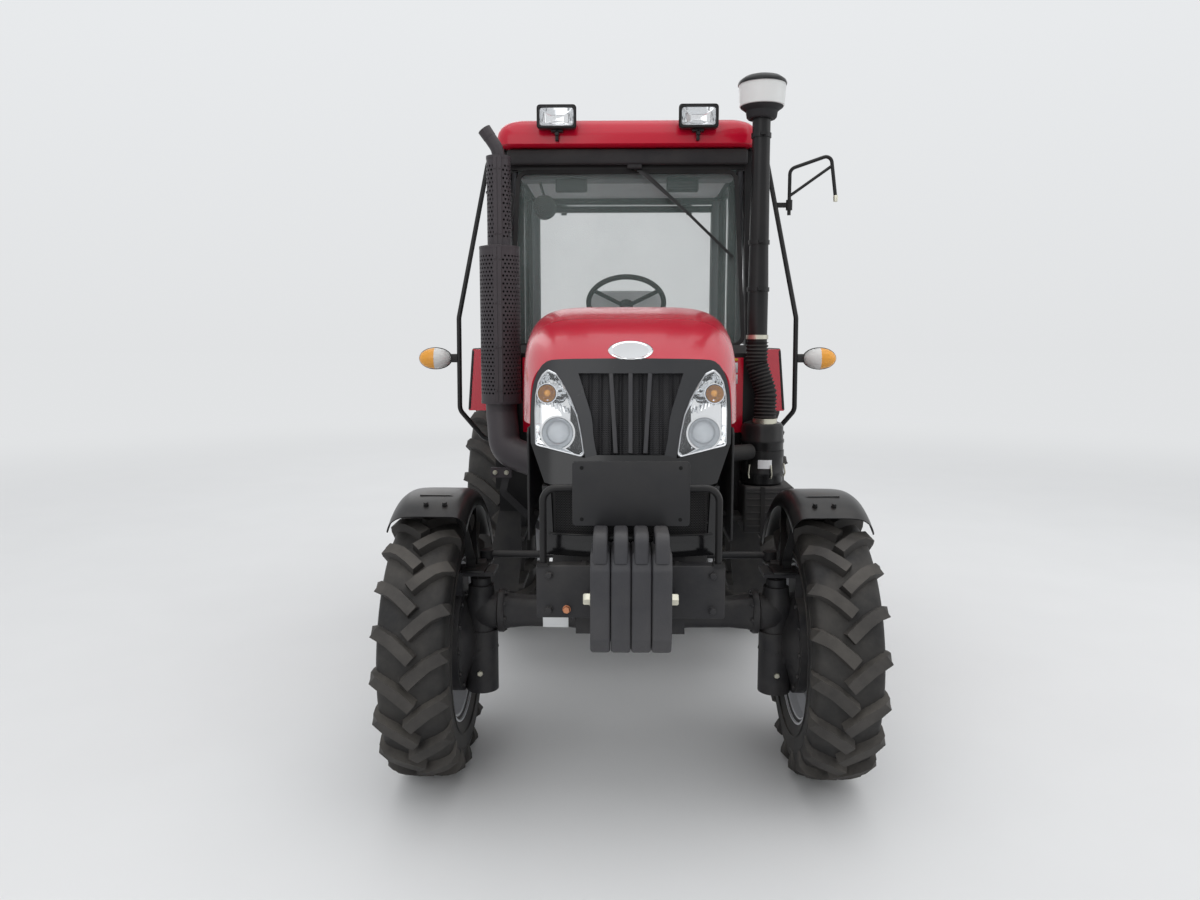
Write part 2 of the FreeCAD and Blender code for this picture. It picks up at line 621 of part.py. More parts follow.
# Front weights, their bracket, and the hoop that holds the blank number board.
bracket_front = ahead(d.bracket_y)
bracket = join("bracket_raw", [
    block("bracket_plate", (-d.bracket_half_width, d.bracket_half_width),
          (bracket_front, bracket_front + 25), (d.bracket_bottom, d.bracket_top)),
    block("bracket_shelf", (-d.bracket_half_width, d.bracket_half_width),
          (bracket_front, bracket_front + 78), (d.bracket_top - 20, d.bracket_top)),
    block("bracket_core", (-d.frame_half_width, d.frame_half_width),
          (bracket_front + 20, ahead(600) - d.seat_gap), (d.bracket_bottom, d.frame_top)),
])
keep("weight_bracket", bracket)
weights = []
weight_front = ahead(d.nose_reach)
for number in range(4):
    low = (number - 2) * (d.weight_width + d.weight_gap)
    weights.append(prism("weight_%d" % number, "YZ", [
        (weight_front, d.weight_bottom + 25), (weight_front + 25, d.weight_bottom),
        (bracket_front - d.seat_gap - 20, d.weight_bottom),
        (bracket_front - d.seat_gap, d.weight_bottom + 20),
        (bracket_front - d.seat_gap, d.bracket_top + d.seat_gap),
        (bracket_front + 40, d.bracket_top + d.seat_gap),
        (bracket_front + 40, d.weight_shoulder - 20), (bracket_front + 20, d.weight_shoulder),
        (weight_front + 130, d.weight_shoulder), (weight_front + 125, d.weight_top),
        (weight_front + 20, d.weight_top), (weight_front, d.weight_shoulder)],
        low, low + d.weight_width))
keep("front_weights", group("front_weights_set", weights))

hoop_y = ahead(d.nose_reach - 166.5)
board_y = hoop_y - d.hoop_radius - d.seat_gap - d.board_thickness
hoop = bent("hoop", d.hoop_radius, d.hoop_bend, [
    (-d.hoop_x, hoop_y + 30, d.bracket_top + 0.2), (-d.hoop_x, hoop_y + 30, d.bracket_top + 60),
    (-d.hoop_x, hoop_y, d.bracket_top + 150), (-d.hoop_x, hoop_y, d.hoop_top - d.hoop_radius),
    (d.hoop_x, hoop_y, d.hoop_top - d.hoop_radius), (d.hoop_x, hoop_y, d.bracket_top + 150),
    (d.hoop_x, hoop_y + 30, d.bracket_top + 60), (d.hoop_x, hoop_y + 30, d.bracket_top + 0.2)])
board = block("board", (-d.board_half_width, d.board_half_width),
              (board_y, board_y + d.board_thickness), (d.board_bottom, d.board_top))
clips = [block("board_clip_%d" % n, (Size(at - 12), Size(at + 12)),
               (board_y + d.board_thickness - 1, hoop_y),
               (d.hoop_top - d.hoop_radius - 8, d.hoop_top - d.hoop_radius + 8))
         for n, at in enumerate((-120, 120))]
keep("number_board", join("number_board_solid", [hoop, board] + clips))

# Bonnet: one skin with a rounded section, open below and to the rear. Its top line rises fast behind
# the mask and then flattens, and its sides spread in the same way.
mask_line = ahead(d.mask_y)
bonnet_stations = []
for share in (0, 0.08, 0.2, 0.42, 1):
    bonnet_stations.append((
        mask_line + (bonnet_rear - mask_line) * share,
        d.bonnet_front_half + (d.bonnet_rear_half - d.bonnet_front_half) * (1 - (1 - share) ** 7),
        d.bonnet_front_bottom + (d.bonnet_rear_bottom - d.bonnet_front_bottom) * share,
        d.bonnet_front_top + (d.bonnet_rear_top - d.bonnet_front_top) * (1 - (1 - share) ** 3.3)))


def bonnet_ring(y, half, low, top, skin):
    """Upright sides, then a quarter of a squared oval on each side, drawn in by the skin."""
    across = half - skin
    rise = d.bonnet_corner
    crown = top - skin
    side = [(across, low)]
    for turn in (0.3, 0.65, 0.95, 1.2, 1.42):
        side.append((across * math.cos(turn) ** 0.385,
                     crown - rise + rise * math.sin(turn) ** 0.385))
    ring = side + [(-x, up) for x, up in reversed(side)]
    return [(x, y, up) for x, up in ring]


bonnet_outer = hull("bonnet_outer", [bonnet_ring(*station, 0) for station in bonnet_stations])
inside = [bonnet_ring(*station, d.bonnet_skin) for station in bonnet_stations]
first_ring = [(x, y - 30, up) for x, y, up in inside[0]]
last_ring = [(x, y + 30, up) for x, y, up in inside[-1]]


def dropped(ring):
    """The ring with its two lower corners moved down, so that its solid cuts the bottom open."""
    return [(x, y, up - 60 if at in (0, len(ring) - 1) else up)
            for at, (x, y, up) in enumerate(ring)]


bonnet_inner = hull("bonnet_inner", [dropped(ring) for ring in [first_ring] + inside + [last_ring]])
bonnet_shell = cut("bonnet_shell", bonnet_outer, [bonnet_inner])
hinge_y = bonnet_rear - 22
hinge_ears = [block("bonnet_ear_" + side, span_x, (hinge_y - 30, hinge_y + 14),
                    (d.bonnet_hinge_height - 20, d.bonnet_rear_top - 16))
              for side, span_x in (("left", (Size(250), Size(262))),
                                   ("right", (Size(-262), Size(-250))))]
ear_holes = [rod("bonnet_ear_hole", "X", Size(8) + d.shaft_gap, (Size(-270), Size(270)), 0,
                 hinge_y, d.bonnet_hinge_height)]
keep("bonnet_top", cut("bonnet_top_solid", join("bonnet_with_ears", [bonnet_shell] + hinge_ears),
                       ear_holes))

# Bonnet mask: the black face of the nose. It leans back, and its front is set by nose_y at the seam.
def mask_front(up, proud=0):
    return ahead(d.nose_y) + (up - d.nose_seam) * d.mask_lean - proud


mask_half = [
    (d.nose_half_width - 28, d.nose_seam), (d.nose_half_width + 12, d.nose_seam + 130),
    (d.nose_half_width + 12, d.nose_seam + 240), (d.nose_half_width - 8, d.bonnet_front_top - 48),
    (d.nose_half_width - 40, d.bonnet_front_top - 6)]


def mask_rings(shrink, fall, foot_fall, start_back, end_y):
    """Front and back rings of the mask, shrunk sideways and lowered, the foot by more."""
    ring = [(x - shrink, up - (foot_fall if at == 0 else fall))
            for at, (x, up) in enumerate(mask_half)]
    ring = ring + [(-x, up) for x, up in reversed(ring)]
    front = [(x, mask_front(up) + start_back, up) for x, up in ring]
    back = [(x, end_y, up) for x, up in ring]
    return [front, back]


mask_outer = hull("mask_outer", mask_rings(0, 0, 0, 0, mask_line - d.seat_gap))
mask_inner = hull("mask_inner", mask_rings(14, 14, 30, 14, mask_line + 10))
grille_half = [(110, d.nose_seam + 97), (121, d.nose_seam + 154), (151, d.nose_seam + 294),
               (172, d.bonnet_front_top - 46)]


def face_ring(half, proud, back):
    ring = half + [(-x, up) for x, up in reversed(half)]
    return [[(x, mask_front(up, proud), up) for x, up in ring],
            [(x, mask_front(up, -back), up) for x, up in ring]]


grille_hole = hull("grille_hole", face_ring(grille_half, 20, 40))
lamp_outline = [
    (150, d.nose_seam + 95), (d.nose_half_width - 18, d.nose_seam + 110),
    (d.nose_half_width + 2, d.nose_seam + 160), (d.nose_half_width - 14, d.nose_seam + 270),
    (d.nose_half_width - 36, d.bonnet_front_top - 50), (205, d.bonnet_front_top - 52),
    (178, d.nose_seam + 215)]


def lamp_solid(name, sign, shrink, proud, back):
    centre_x = sum(float(x) for x, up in lamp_outline) / len(lamp_outline)
    centre_up = sum(float(up) for x, up in lamp_outline) / len(lamp_outline)
    ring = [((x - centre_x) * (1 - shrink) + centre_x, (up - centre_up) * (1 - shrink) + centre_up)
            for x, up in lamp_outline]
    return hull(name, [[(x * sign, mask_front(up, proud), up) for x, up in ring],
                       [(x * sign, mask_front(up, -back), up) for x, up in ring]])


lamp_holes = [lamp_solid("lamp_hole_" + side, sign, 0, 20, 40)
              for side, sign in (("left", 1), ("right", -1))]
keep("bonnet_mask", cut("mask_solid", mask_outer, [mask_inner, grille_hole] + lamp_holes))
grille_small = [(x - 0.4, up + (0.4 if at == 0 else -0.4 if at == 3 else 0))
                for at, (x, up) in enumerate(grille_half)]
grille_parts = [hull("grille_panel", face_ring(grille_small, -12, 22))]
for number, (foot, head) in enumerate(((-48, -64), (0, 0), (48, 64))):
    low, high = grille_small[0][1] + 4, grille_small[3][1] - 4
    ring = [(foot - 10, low), (foot + 10, low), (head + 10, high), (head - 10, high)]
    grille_parts.append(hull("grille_rib_%d" % number, [
        [(x, mask_front(up, proud), up) for x, up in ring] for proud in (-3, -14)]))
keep("bonnet_grille", join("grille_with_ribs", grille_parts))
keep("headlamps", group("headlamp_pair", [
    lamp_solid("headlamp_" + side, sign, 0.004, 3, 12) for side, sign in (("left", 1), ("right", -1))]))

# Fixed black panels: the nose below the seam, and a mesh screen on each side of the engine.
seam = d.nose_seam - d.running_gap
lower_half = [(d.nose_half_width - 40, d.nose_bottom), (d.nose_half_width - 28, seam)]


def lower_ring(shrink, y_shift, end_y=None):
    ring = [(x - shrink, up) for x, up in lower_half]
    ring = ring + [(-x, up) for x, up in reversed(ring)]
    return [(x, (ahead(d.nose_y) + y_shift if end_y is None else end_y), up) for x, up in ring]


lower_outer = hull("lower_outer", [lower_ring(0, 0), lower_ring(0, 0, mask_line)])
lower_inner = hull("lower_inner", [
    [(x, y, up + (14 if up < seam - 5 else 20)) for x, y, up in ring]
    for ring in [lower_ring(12, 12), lower_ring(12, 0, mask_line + 10)]])
screens = []
for side, sign in (("left", 1), ("right", -1)):
    low, high = d.screen_half_width - d.screen_skin, d.screen_half_width
    screens.append(prism("side_screen_" + side, "YZ", [
        (mask_line, d.screen_bottom), (front_axle + 520, d.screen_bottom + 60),
        (cab_front - 120, d.screen_bottom + 230), (cab_front - 120, d.bonnet_rear_bottom - 10),
        (mask_line + 20, d.bonnet_front_bottom - 10), (mask_line, d.bonnet_front_bottom - 30)],
        *sided(sign, low, high)))
    for number, (back, root) in enumerate(((ahead(380), d.frame_half_width - 5),
                                           (front_axle + 300, d.engine_half_width + d.seat_gap))):
        screens.append(block("screen_arm_%s_%d" % (side, number),
                             sided(sign, root, high - 2),
                             (back, back + 40), (d.screen_bottom + 70, d.screen_bottom + 82)))
    screens.append(block("screen_post_" + side,
                         sided(sign, d.frame_half_width - 22, d.frame_half_width - 5),
                         (ahead(380), ahead(340)), (d.frame_top + d.seat_gap,
                                                    d.screen_bottom + 82)))
nose_floor = block("nose_floor", (-d.frame_half_width, d.frame_half_width),
                   (ahead(d.nose_y) + 20, mask_line), (d.frame_top + d.seat_gap, d.nose_bottom + 6))
keep("nose_panels", join("nose_panels_solid", [
    cut("lower_nose", lower_outer, [lower_inner]), nose_floor] + screens))

# Cab frame: bulkhead, leaning front pillars, door pillars, rear pillars, rails and headers.
half = d.cab_half_width
wall = d.cab_wall
door_pillar = cab_front + d.door_reach + 120
rear_wall = rear_axle + d.rear_wall_y
front_foot = cab_front + 50
lean = Size(150)
front_head = front_foot + lean
cab_parts = []
for side, sign in (("left", 1), ("right", -1)):
    low, high = sided(sign, half - d.pillar_width, half)
    cab_parts.append(prism("front_pillar_" + side, "YZ", [
        (cab_front, d.floor_height), (cab_front + 60, d.floor_height),
        (front_foot + 60, d.screen_foot), (front_head + 55, d.screen_head + 30),
        (front_head - 10, d.screen_head + 30), (front_foot - 10, d.screen_foot),
        (cab_front, d.screen_foot - 40)], low, high))
    cab_parts.append(block("door_pillar_" + side, (low, high), (door_pillar, door_pillar + 55),
                           (d.fender_top + d.seat_gap, d.screen_head + 30)))
    cab_parts.append(block("rear_pillar_" + side, (low, high), (rear_wall - 60, rear_wall),
                           (d.fender_top + d.seat_gap, d.screen_head + 30)))
    cab_parts.append(block("side_header_" + side, (low, high), (front_head - 10, rear_wall),
                           (d.screen_head + 30 - 0.5, d.header_top)))
    cab_parts.append(block("side_sill_" + side, (low, high),
                           (cab_front, door_pillar - d.door_foot_reach + 20),
                           (d.floor_height, d.door_sill - d.running_gap)))
cab_parts += [
    block("front_header", (-half, half), (front_head - 10, front_head + 45),
          (d.screen_head, d.header_top)),
    block("rear_header", (-half, half), (rear_wall - 55, rear_wall),
          (d.screen_head, d.header_top)),
    block("bulkhead", (-half, half), (cab_front, cab_front + 20),
          (d.gearbox_top + 10, d.screen_foot - 40)),
    prism("cowl", "YZ", [
        (cab_front, d.screen_foot - 60), (cab_front + 40, d.screen_foot - 60),
        (front_foot + 40, d.screen_foot), (front_foot - 12, d.screen_foot),
        (cab_front, d.screen_foot - 40)], -half, half),
]
hinge_pins = []
door_hinge_x = half + d.seat_gap + wall + 8
door_hinge_y = door_pillar - d.running_gap + 5
door_hinge_heights = (Size(1850), Size(2380))
window_hinge_y = rear_wall + 15
window_hinge_height = d.screen_head + 2
for number, up in enumerate(door_hinge_heights):
    for side, sign in (("left", 1), ("right", -1)):
        low, high = half - 5, door_hinge_x + d.hinge_radius / 2
        hinge_pins.append(block("door_lug_%s_%d" % (side, number),
                                sided(sign, low, high),
                                (door_hinge_y + 1, door_hinge_y + 20), (up - 28, up)))
        hinge_pins.append(rod("door_pin_%s_%d" % (side, number), "Z", d.hinge_radius / 2,
                              (up - 28, up + 30), door_hinge_x * sign, door_hinge_y))
for number, across in enumerate((-400, 400)):
    hinge_pins.append(block("window_lug_%d" % number, (Size(across - 40), Size(across - 10)),
                            (rear_wall - 5, window_hinge_y + 4),
                            (d.screen_head - 5, d.screen_head + 34)))
    hinge_pins.append(rod("window_pin_%d" % number, "X", Size(7),
                          (Size(across - 40), Size(across + 25)), 0, window_hinge_y,
                          window_hinge_height))
for side, sign in (("left", 1), ("right", -1)):
    low, high = sided(sign, Size(235), Size(249.5))
    hinge_pins.append(prism("bonnet_bracket_" + side, "YZ", [
        (cab_front + 2, d.bonnet_hinge_height - 190), (cab_front + 2, d.screen_foot - 45),
        (hinge_y + 12, d.bonnet_hinge_height + 14), (hinge_y - 14, d.bonnet_hinge_height + 12),
        (hinge_y - 14, d.bonnet_hinge_height - 14)], low, high))
    hinge_pins.append(rod("bonnet_pin_" + side, "X", Size(8),
                          sided(sign, Size(240), Size(266)),
                          0, hinge_y, d.bonnet_hinge_height))
bulk_cut = block("bulkhead_cut", (-d.engine_half_width + 60, d.engine_half_width - 60),
                 (cab_front - 10, cab_front + 60), (d.gearbox_top, d.floor_height + 20))
cab_frame = cut("cab_frame_cut", join("cab_frame_raw", cab_parts + hinge_pins), [bulk_cut])
keep("cab_frame", cab_frame)

# Cab floor with the raised seat platform, the rear lower wall and the steps.
fender_inner_x = d.rear_track / 2 - d.rear_tyre_width / 2 - d.fender_tyre_gap
fender_outer_x = d.rear_track / 2 + d.rear_tyre_width / 2 - d.fender_tyre_show
floor_half = fender_inner_x - d.seat_gap
platform_y = rear_axle - 420
floor_parts = [
    block("floor_front", (-floor_half, floor_half), (cab_front + 20.3, platform_y + 20),
          (d.floor_height, d.floor_height + d.floor_plate)),
    block("floor_riser", (-floor_half, floor_half), (platform_y, platform_y + 20),
          (d.floor_height, d.platform_height)),
    block("floor_platform", (-floor_half, floor_half), (platform_y, rear_wall),
          (d.platform_height - d.floor_plate, d.platform_height)),
    block("rear_lower_wall", (-floor_half, floor_half), (rear_wall - 20, rear_wall),
          (d.platform_height - d.floor_plate, d.platform_height + 190)),
]
for side, sign in (("left", 1), ("right", -1)):
    step_y = (cab_front + d.step_front, cab_front + d.step_front + d.step_depth)
    for number, (up, out) in enumerate(((d.step_low, d.step_outer_x),
                                        (d.step_low + d.step_rise, d.step_outer_x - 45))):
        floor_parts.append(block("step_%s_%d" % (side, number),
                                 sided(sign, d.step_inner_x - 10, out), step_y,
                                 (up, up + d.step_plate)))
    for number, low in enumerate((step_y[0], step_y[1] - 12)):
        step_side = [
            (d.step_inner_x, d.floor_height - d.seat_gap), (half, d.floor_height - d.seat_gap),
            (d.step_outer_x, d.step_low), (d.step_outer_x, d.step_low - 15),
            (d.step_inner_x + 20, d.step_low - 15), (d.step_inner_x, d.step_low + 170)]
        floor_parts.append(prism("step_side_%s_%d" % (side, number), "XZ",
                                 [(x * sign, up) for x, up in step_side][::sign], low, low + 12))
    floor_parts.append(block("step_tie_" + side,
                             sided(sign, floor_half - 60, d.step_inner_x + 60), step_y,
                             (d.floor_height - 30, d.floor_height - d.seat_gap)))
    floor_parts.append(block("floor_tie_" + side, sided(sign, floor_half - 60, floor_half - 10),
                             step_y, (d.floor_height - 30, d.floor_height + 5)))
keep("cab_floor", join("cab_floor_solid", floor_parts))

# Rear fenders: a wall inside each tyre, a top over it and a lip outside it.
fender_parts = []
for side, sign in (("left", 1), ("right", -1)):
    path = [(-d.fender_front_reach, d.fender_front_height), (-d.fender_top_reach, d.fender_top),
            (d.rear_wall_y + 60, d.fender_top), (d.fender_back_reach, d.fender_back_height),
            (d.fender_tail_reach, d.fender_tail_height)]
    inset = d.fender_skin
    below = [(inset * 1.3 - d.fender_front_reach, d.fender_front_height),
             (inset * 0.6 - d.fender_top_reach, d.fender_top - inset),
             (d.rear_wall_y + 60 - inset * 0.4, d.fender_top - inset),
             (d.fender_back_reach - inset, d.fender_back_height - inset * 0.4),
             (d.fender_tail_reach - inset, d.fender_tail_height)]
    loop = [(rear_axle + along, up) for along, up in path + below[::-1]]
    low, high = fender_inner_x, fender_outer_x
    fender_parts.append(prism("fender_top_" + side, "YZ", loop,
                              *sided(sign, low, high)))
    wall_loop = [(rear_axle + along, up) for along, up in
                 path + [(560, 1000), (300, 960), (-600, 960), (-700, 1120)]]
    high = fender_inner_x + d.fender_skin - 6
    fender_parts.append(prism("fender_wall_" + side, "YZ", wall_loop,
                              *sided(sign, low, high)))
    lip_loop = [(rear_axle + along, up) for along, up in
                path + [(d.fender_tail_reach - 60, d.fender_tail_height),
                        (d.fender_back_reach - 60, d.fender_back_height - 40),
                        (d.rear_wall_y + 30, d.fender_top - 70),
                        (30 - d.fender_top_reach, d.fender_top - 70),
                        (50 - d.fender_front_reach, d.fender_front_height)]]
    low, high = fender_outer_x - 8, fender_outer_x
    fender_parts.append(prism("fender_lip_" + side, "YZ", lip_loop,
                              *sided(sign, low, high)))
keep("rear_fenders", join("rear_fenders_solid", fender_parts))

# Roof and the fixed glass.
roof = prism("roof_shell", "YZ", [
    (front_head - 105, d.roof_rim), (front_head - 95, d.roof_rim + 70),
    (front_head - 20, d.roof_top - 12), (front_head + 160, d.roof_top),
    (rear_wall - 200, d.roof_top), (rear_wall + 60, d.roof_top - 45), (rear_wall + 90, d.roof_rim)],
    -d.roof_half_width, d.roof_half_width)
roof_pad = block("roof_liner", (-d.roof_half_width + 40, d.roof_half_width - 40),
                 (front_head - 60, rear_wall + 30), (d.header_top + d.seat_gap, d.roof_rim + 1))
keep("cab_roof", join("cab_roof_solid", [roof, roof_pad]))

screen = hull("windscreen", [
    [(-d.screen_foot_half, front_foot + 2, d.screen_foot + 0.3),
     (d.screen_foot_half, front_foot + 2, d.screen_foot + 0.3),
     (d.screen_head_half, front_head + 2, d.screen_head - 0.3),
     (-d.screen_head_half, front_head + 2, d.screen_head - 0.3)],
    [(-d.screen_foot_half, front_foot + 2 + d.glass, d.screen_foot + 0.3),
     (d.screen_foot_half, front_foot + 2 + d.glass, d.screen_foot + 0.3),
     (d.screen_head_half, front_head + 2 + d.glass, d.screen_head - 0.3),
     (-d.screen_head_half, front_head + 2 + d.glass, d.screen_head - 0.3)]])
quarters = []
for side, sign in (("left", 1), ("right", -1)):
    low, high = half - 20 - d.glass, half - 20
    quarters.append(block("quarter_glass_" + side, sided(sign, low, high),
                          (door_pillar + 55 + d.seat_gap, rear_wall - 60 - d.seat_gap),
                          (d.fender_top + d.seat_gap, d.screen_head + 29)))
keep("cab_glass", group("cab_glass_set", [screen] + quarters))

# Doors: an L-shaped frame over the rear fender's front, hinged on the door pillar.
door_front = cab_front + 120
door_rear = door_pillar - d.running_gap
door_plane = half + d.seat_gap
door_low = d.fender_top + 30
door_outline = [
    (door_front - 35, d.door_sill), (door_rear - d.door_foot_reach, d.door_sill),
    (door_rear - d.door_foot_reach, Size(1330)), (door_rear - 380, door_low),
    (door_rear, door_low), (door_rear, d.door_head), (door_front + 110, d.door_head),
    (door_front - 35, d.screen_foot)]
bar = d.door_bar
door_opening = [
    (door_front - 35 + bar, d.door_sill + bar + 60),
    (door_rear - d.door_foot_reach - bar, d.door_sill + bar + 60),
    (door_rear - d.door_foot_reach - bar, Size(1330) + 20), (door_rear - 395, door_low + bar),
    (door_rear - bar, door_low + bar), (door_rear - bar, d.door_head - bar),
    (door_front + 110 + bar * 0.85, d.door_head - bar), (door_front - 35 + bar, d.screen_foot - 4)]
for side, sign in (("left", 1), ("right", -1)):
    low, high = sided(sign, door_plane, door_plane + wall)
    leaf = prism("door_leaf_" + side, "YZ", door_outline, low, high)
    low, high = sided(sign, door_plane - 5, door_plane + wall + 5)
    opening = prism("door_opening_" + side, "YZ", door_opening, low, high)
    barrels = [rod("door_barrel_%s_%d" % (side, number), "Z", d.hinge_radius,
                   (up + d.seat_gap, up + 28), door_hinge_x * sign, door_hinge_y)
               for number, up in enumerate(door_hinge_heights)]
    bore = rod("door_hinge_bore_" + side, "Z", d.hinge_radius / 2 + d.shaft_gap,
               (door_hinge_heights[0] - 10, door_hinge_heights[-1] + 60), door_hinge_x * sign,
               door_hinge_y)
    keep("door_frame_" + side, cut("door_frame_%s_solid" % side,
                                   join("door_with_barrels_" + side,
                                        [cut("door_ring_" + side, leaf, [opening])] + barrels),
                                   [bore]))
    low, high = sided(sign, door_plane + 12, door_plane + 12 + d.glass)
    keep("door_glass_" + side, prism("door_pane_" + side, "YZ", door_opening, low, high))

# Rear window, hinged at its head.
window_low = d.platform_height + 190 + d.running_gap
window_half = half - d.pillar_width - d.running_gap
window_back = rear_wall - 5
window_bar = Size(40)
window_outline = [
    (-floor_half + 10, window_low), (floor_half - 10, window_low),
    (floor_half - 10, d.fender_top + 15), (window_half, d.fender_top + 15),
    (window_half, d.screen_head - d.running_gap), (-window_half, d.screen_head - d.running_gap),
    (-window_half, d.fender_top + 15), (10 - floor_half, d.fender_top + 15)]
window_opening = [
    (window_bar + 10 - floor_half, window_low + window_bar),
    (floor_half - 10 - window_bar, window_low + window_bar),
    (floor_half - 10 - window_bar, d.fender_top + 15 + window_bar),
    (window_half - window_bar, d.fender_top + 15 + window_bar),
    (window_half - window_bar, d.screen_head - d.running_gap - window_bar),
    (window_bar - window_half, d.screen_head - d.running_gap - window_bar),
    (window_bar - window_half, d.fender_top + 15 + window_bar),
    (window_bar + 10 - floor_half, d.fender_top + 15 + window_bar)]
window_ring = cut("rear_window_ring",
                  prism("rear_window_leaf", "XZ", window_outline, rear_wall - 30, window_back),
                  [prism("rear_window_opening", "XZ", window_opening, rear_wall - 40, rear_wall)])
window_parts = [window_ring]
for number, across in enumerate((-400, 400)):
    window_parts.append(rod("window_barrel_%d" % number, "X", Size(13),
                            (Size(across - 9.7), Size(across + 25)), 0, window_hinge_y,
                            window_hinge_height))
    window_parts.append(block("window_strap_%d" % number, (Size(across - 9.7), Size(across + 25)),
                              (window_back - 2, window_hinge_y),
                              (window_hinge_height - 60, window_hinge_height - 10)))
window_bore = rod("window_hinge_bore", "X", Size(7) + d.shaft_gap, (Size(-460), Size(460)), 0,
                  window_hinge_y, window_hinge_height)
keep("rear_window_frame", cut("rear_window_frame_solid",
                              join("rear_window_with_barrels", window_parts), [window_bore]))
keep("rear_window_glass", prism("rear_window_pane", "XZ", window_opening,
                                rear_wall - 20, rear_wall - 20 + d.glass))

# Dash console with the steering column, the steering wheel and the seat.
wheel_centre = (cab_front + d.wheel_setback, d.wheel_height)
column_lean = 40
column_axis = FreeCAD.Vector(0, math.sin(math.radians(column_lean)),
                             math.cos(math.radians(column_lean)))


def leaning(item, y, up):
    item.Placement = FreeCAD.Placement(FreeCAD.Vector(), FreeCAD.Rotation(
        FreeCAD.Vector(0, 0, 1), column_axis))
    return place(item, 0, y, up)


column_length = 440
column_foot = (wheel_centre[0] - column_length * column_axis.y,
               wheel_centre[1] - column_length * column_axis.z)
column = document.addObject("Part::Cylinder", "steering_column")
bind(column, "Radius", Size(32))
bind(column, "Height", Size(column_length - 45))
leaning(column, *column_foot)
console = prism("console_box", "YZ", [
    (cab_front + 20.6, d.floor_height + d.floor_plate + d.seat_gap),
    (cab_front + 260, d.floor_height + d.floor_plate + d.seat_gap), (cab_front + 200, Size(1420)),
    (cab_front + 300, Size(1640)), (cab_front + 150, Size(1740)),
    (cab_front + 100, d.screen_foot + 4), (cab_front + 50, d.screen_foot - 71),
    (cab_front + 20.6, d.screen_foot - 86)], -d.console_half, d.console_half)
keep("dash_console", join("dash_console_solid", [console, column]))

wheel_ring = document.addObject("Part::Torus", "steering_ring")
bind(wheel_ring, "Radius1", d.wheel_ring_radius)
bind(wheel_ring, "Radius2", Size(14))
leaning(wheel_ring, *wheel_centre)
wheel_hub = document.addObject("Part::Cylinder", "steering_hub")
bind(wheel_hub, "Radius", Size(38))
bind(wheel_hub, "Height", Size(40))
leaning(wheel_hub, wheel_centre[0] - 44.7 * column_axis.y, wheel_centre[1] - 44.7 * column_axis.z)
wheel_parts = [wheel_ring, wheel_hub]
ring_down = FreeCAD.Vector(0, column_axis.z, -column_axis.y)
for number, angle in enumerate((0, 120, 240)):
    out = (ring_down * math.cos(math.radians(angle))
           + FreeCAD.Vector(1, 0, 0) * math.sin(math.radians(angle)))
    start = vec(0, wheel_centre[0], wheel_centre[1]) - column_axis * 22 + out * 20
    stop = vec(0, wheel_centre[0], wheel_centre[1]) + out * (d.wheel_ring_radius - 1)
    wheel_parts.append(made("steering_spoke_%d" % number, Part.makeCylinder(
        11, (stop - start).Length, start, stop - start)))
keep("steering_wheel", join("steering_wheel_solid", wheel_parts))

seat_front = cab_front + d.seat_setback - 40
seat_rear = seat_front + d.seat_depth
cushion_low = d.seat_top - d.seat_cushion
keep("seat", join("seat_solid", [
    block("seat_base", (70 - d.seat_half, d.seat_half - 70), (seat_front + 80, seat_rear - 40),
          (d.platform_height + d.seat_gap, cushion_low + 5)),
    block("seat_cushion", (-d.seat_half, d.seat_half), (seat_front, seat_rear),
          (cushion_low, d.seat_top)),
    prism("seat_back", "YZ", [
        (seat_rear - 80, d.seat_top - 5), (seat_rear + 30, d.seat_top - 5),
        (seat_rear + 120, d.seat_back_top - 15), (seat_rear + 50, d.seat_back_top)],
        -d.seat_back_half, d.seat_back_half)]))

# Work lamps on the roof, each on a small bracket.
lamp_parts = []
for side, sign in (("left", 1), ("right", -1)):
    centre = 345 * sign
    lamp_parts.append(block("work_lamp_" + side, (Size(centre - 97), Size(centre + 97)),
                            (front_head - 165, front_head - 100), (Size(2730), Size(2845))))
    lamp_parts.append(block("work_lamp_foot_" + side, (Size(centre - 30), Size(centre + 30)),
                            (front_head - 110, front_head - 20),
                            (d.roof_top - 12, d.roof_top + 8)))
keep("roof_lamps", group("roof_lamp_pair", [join("roof_lamp_left", lamp_parts[:2]),
                                            join("roof_lamp_right", lamp_parts[2:])]))

# Hand-rail posts beside the front pillars, with the indicator lamps and the mirror arm.
post_y = cab_front + 20
posts = []
for side, sign in (("left", 1), ("right", -1)):
    posts.append(bent("post_" + side, d.post_radius, Size(55), [
        ((half + d.seat_gap) * sign, post_y + 10, d.post_foot),
        (d.post_foot_x * sign, post_y + 10, d.post_foot),
        (d.post_x * sign, post_y - 20, d.post_foot + 150),
        (d.post_x * sign, post_y, d.lamp_height + 200),
        (d.post_head_x * sign, front_head + 5, d.header_top - 30),
        ((half + d.seat_gap) * sign, front_head + 5, d.header_top - 30)]))
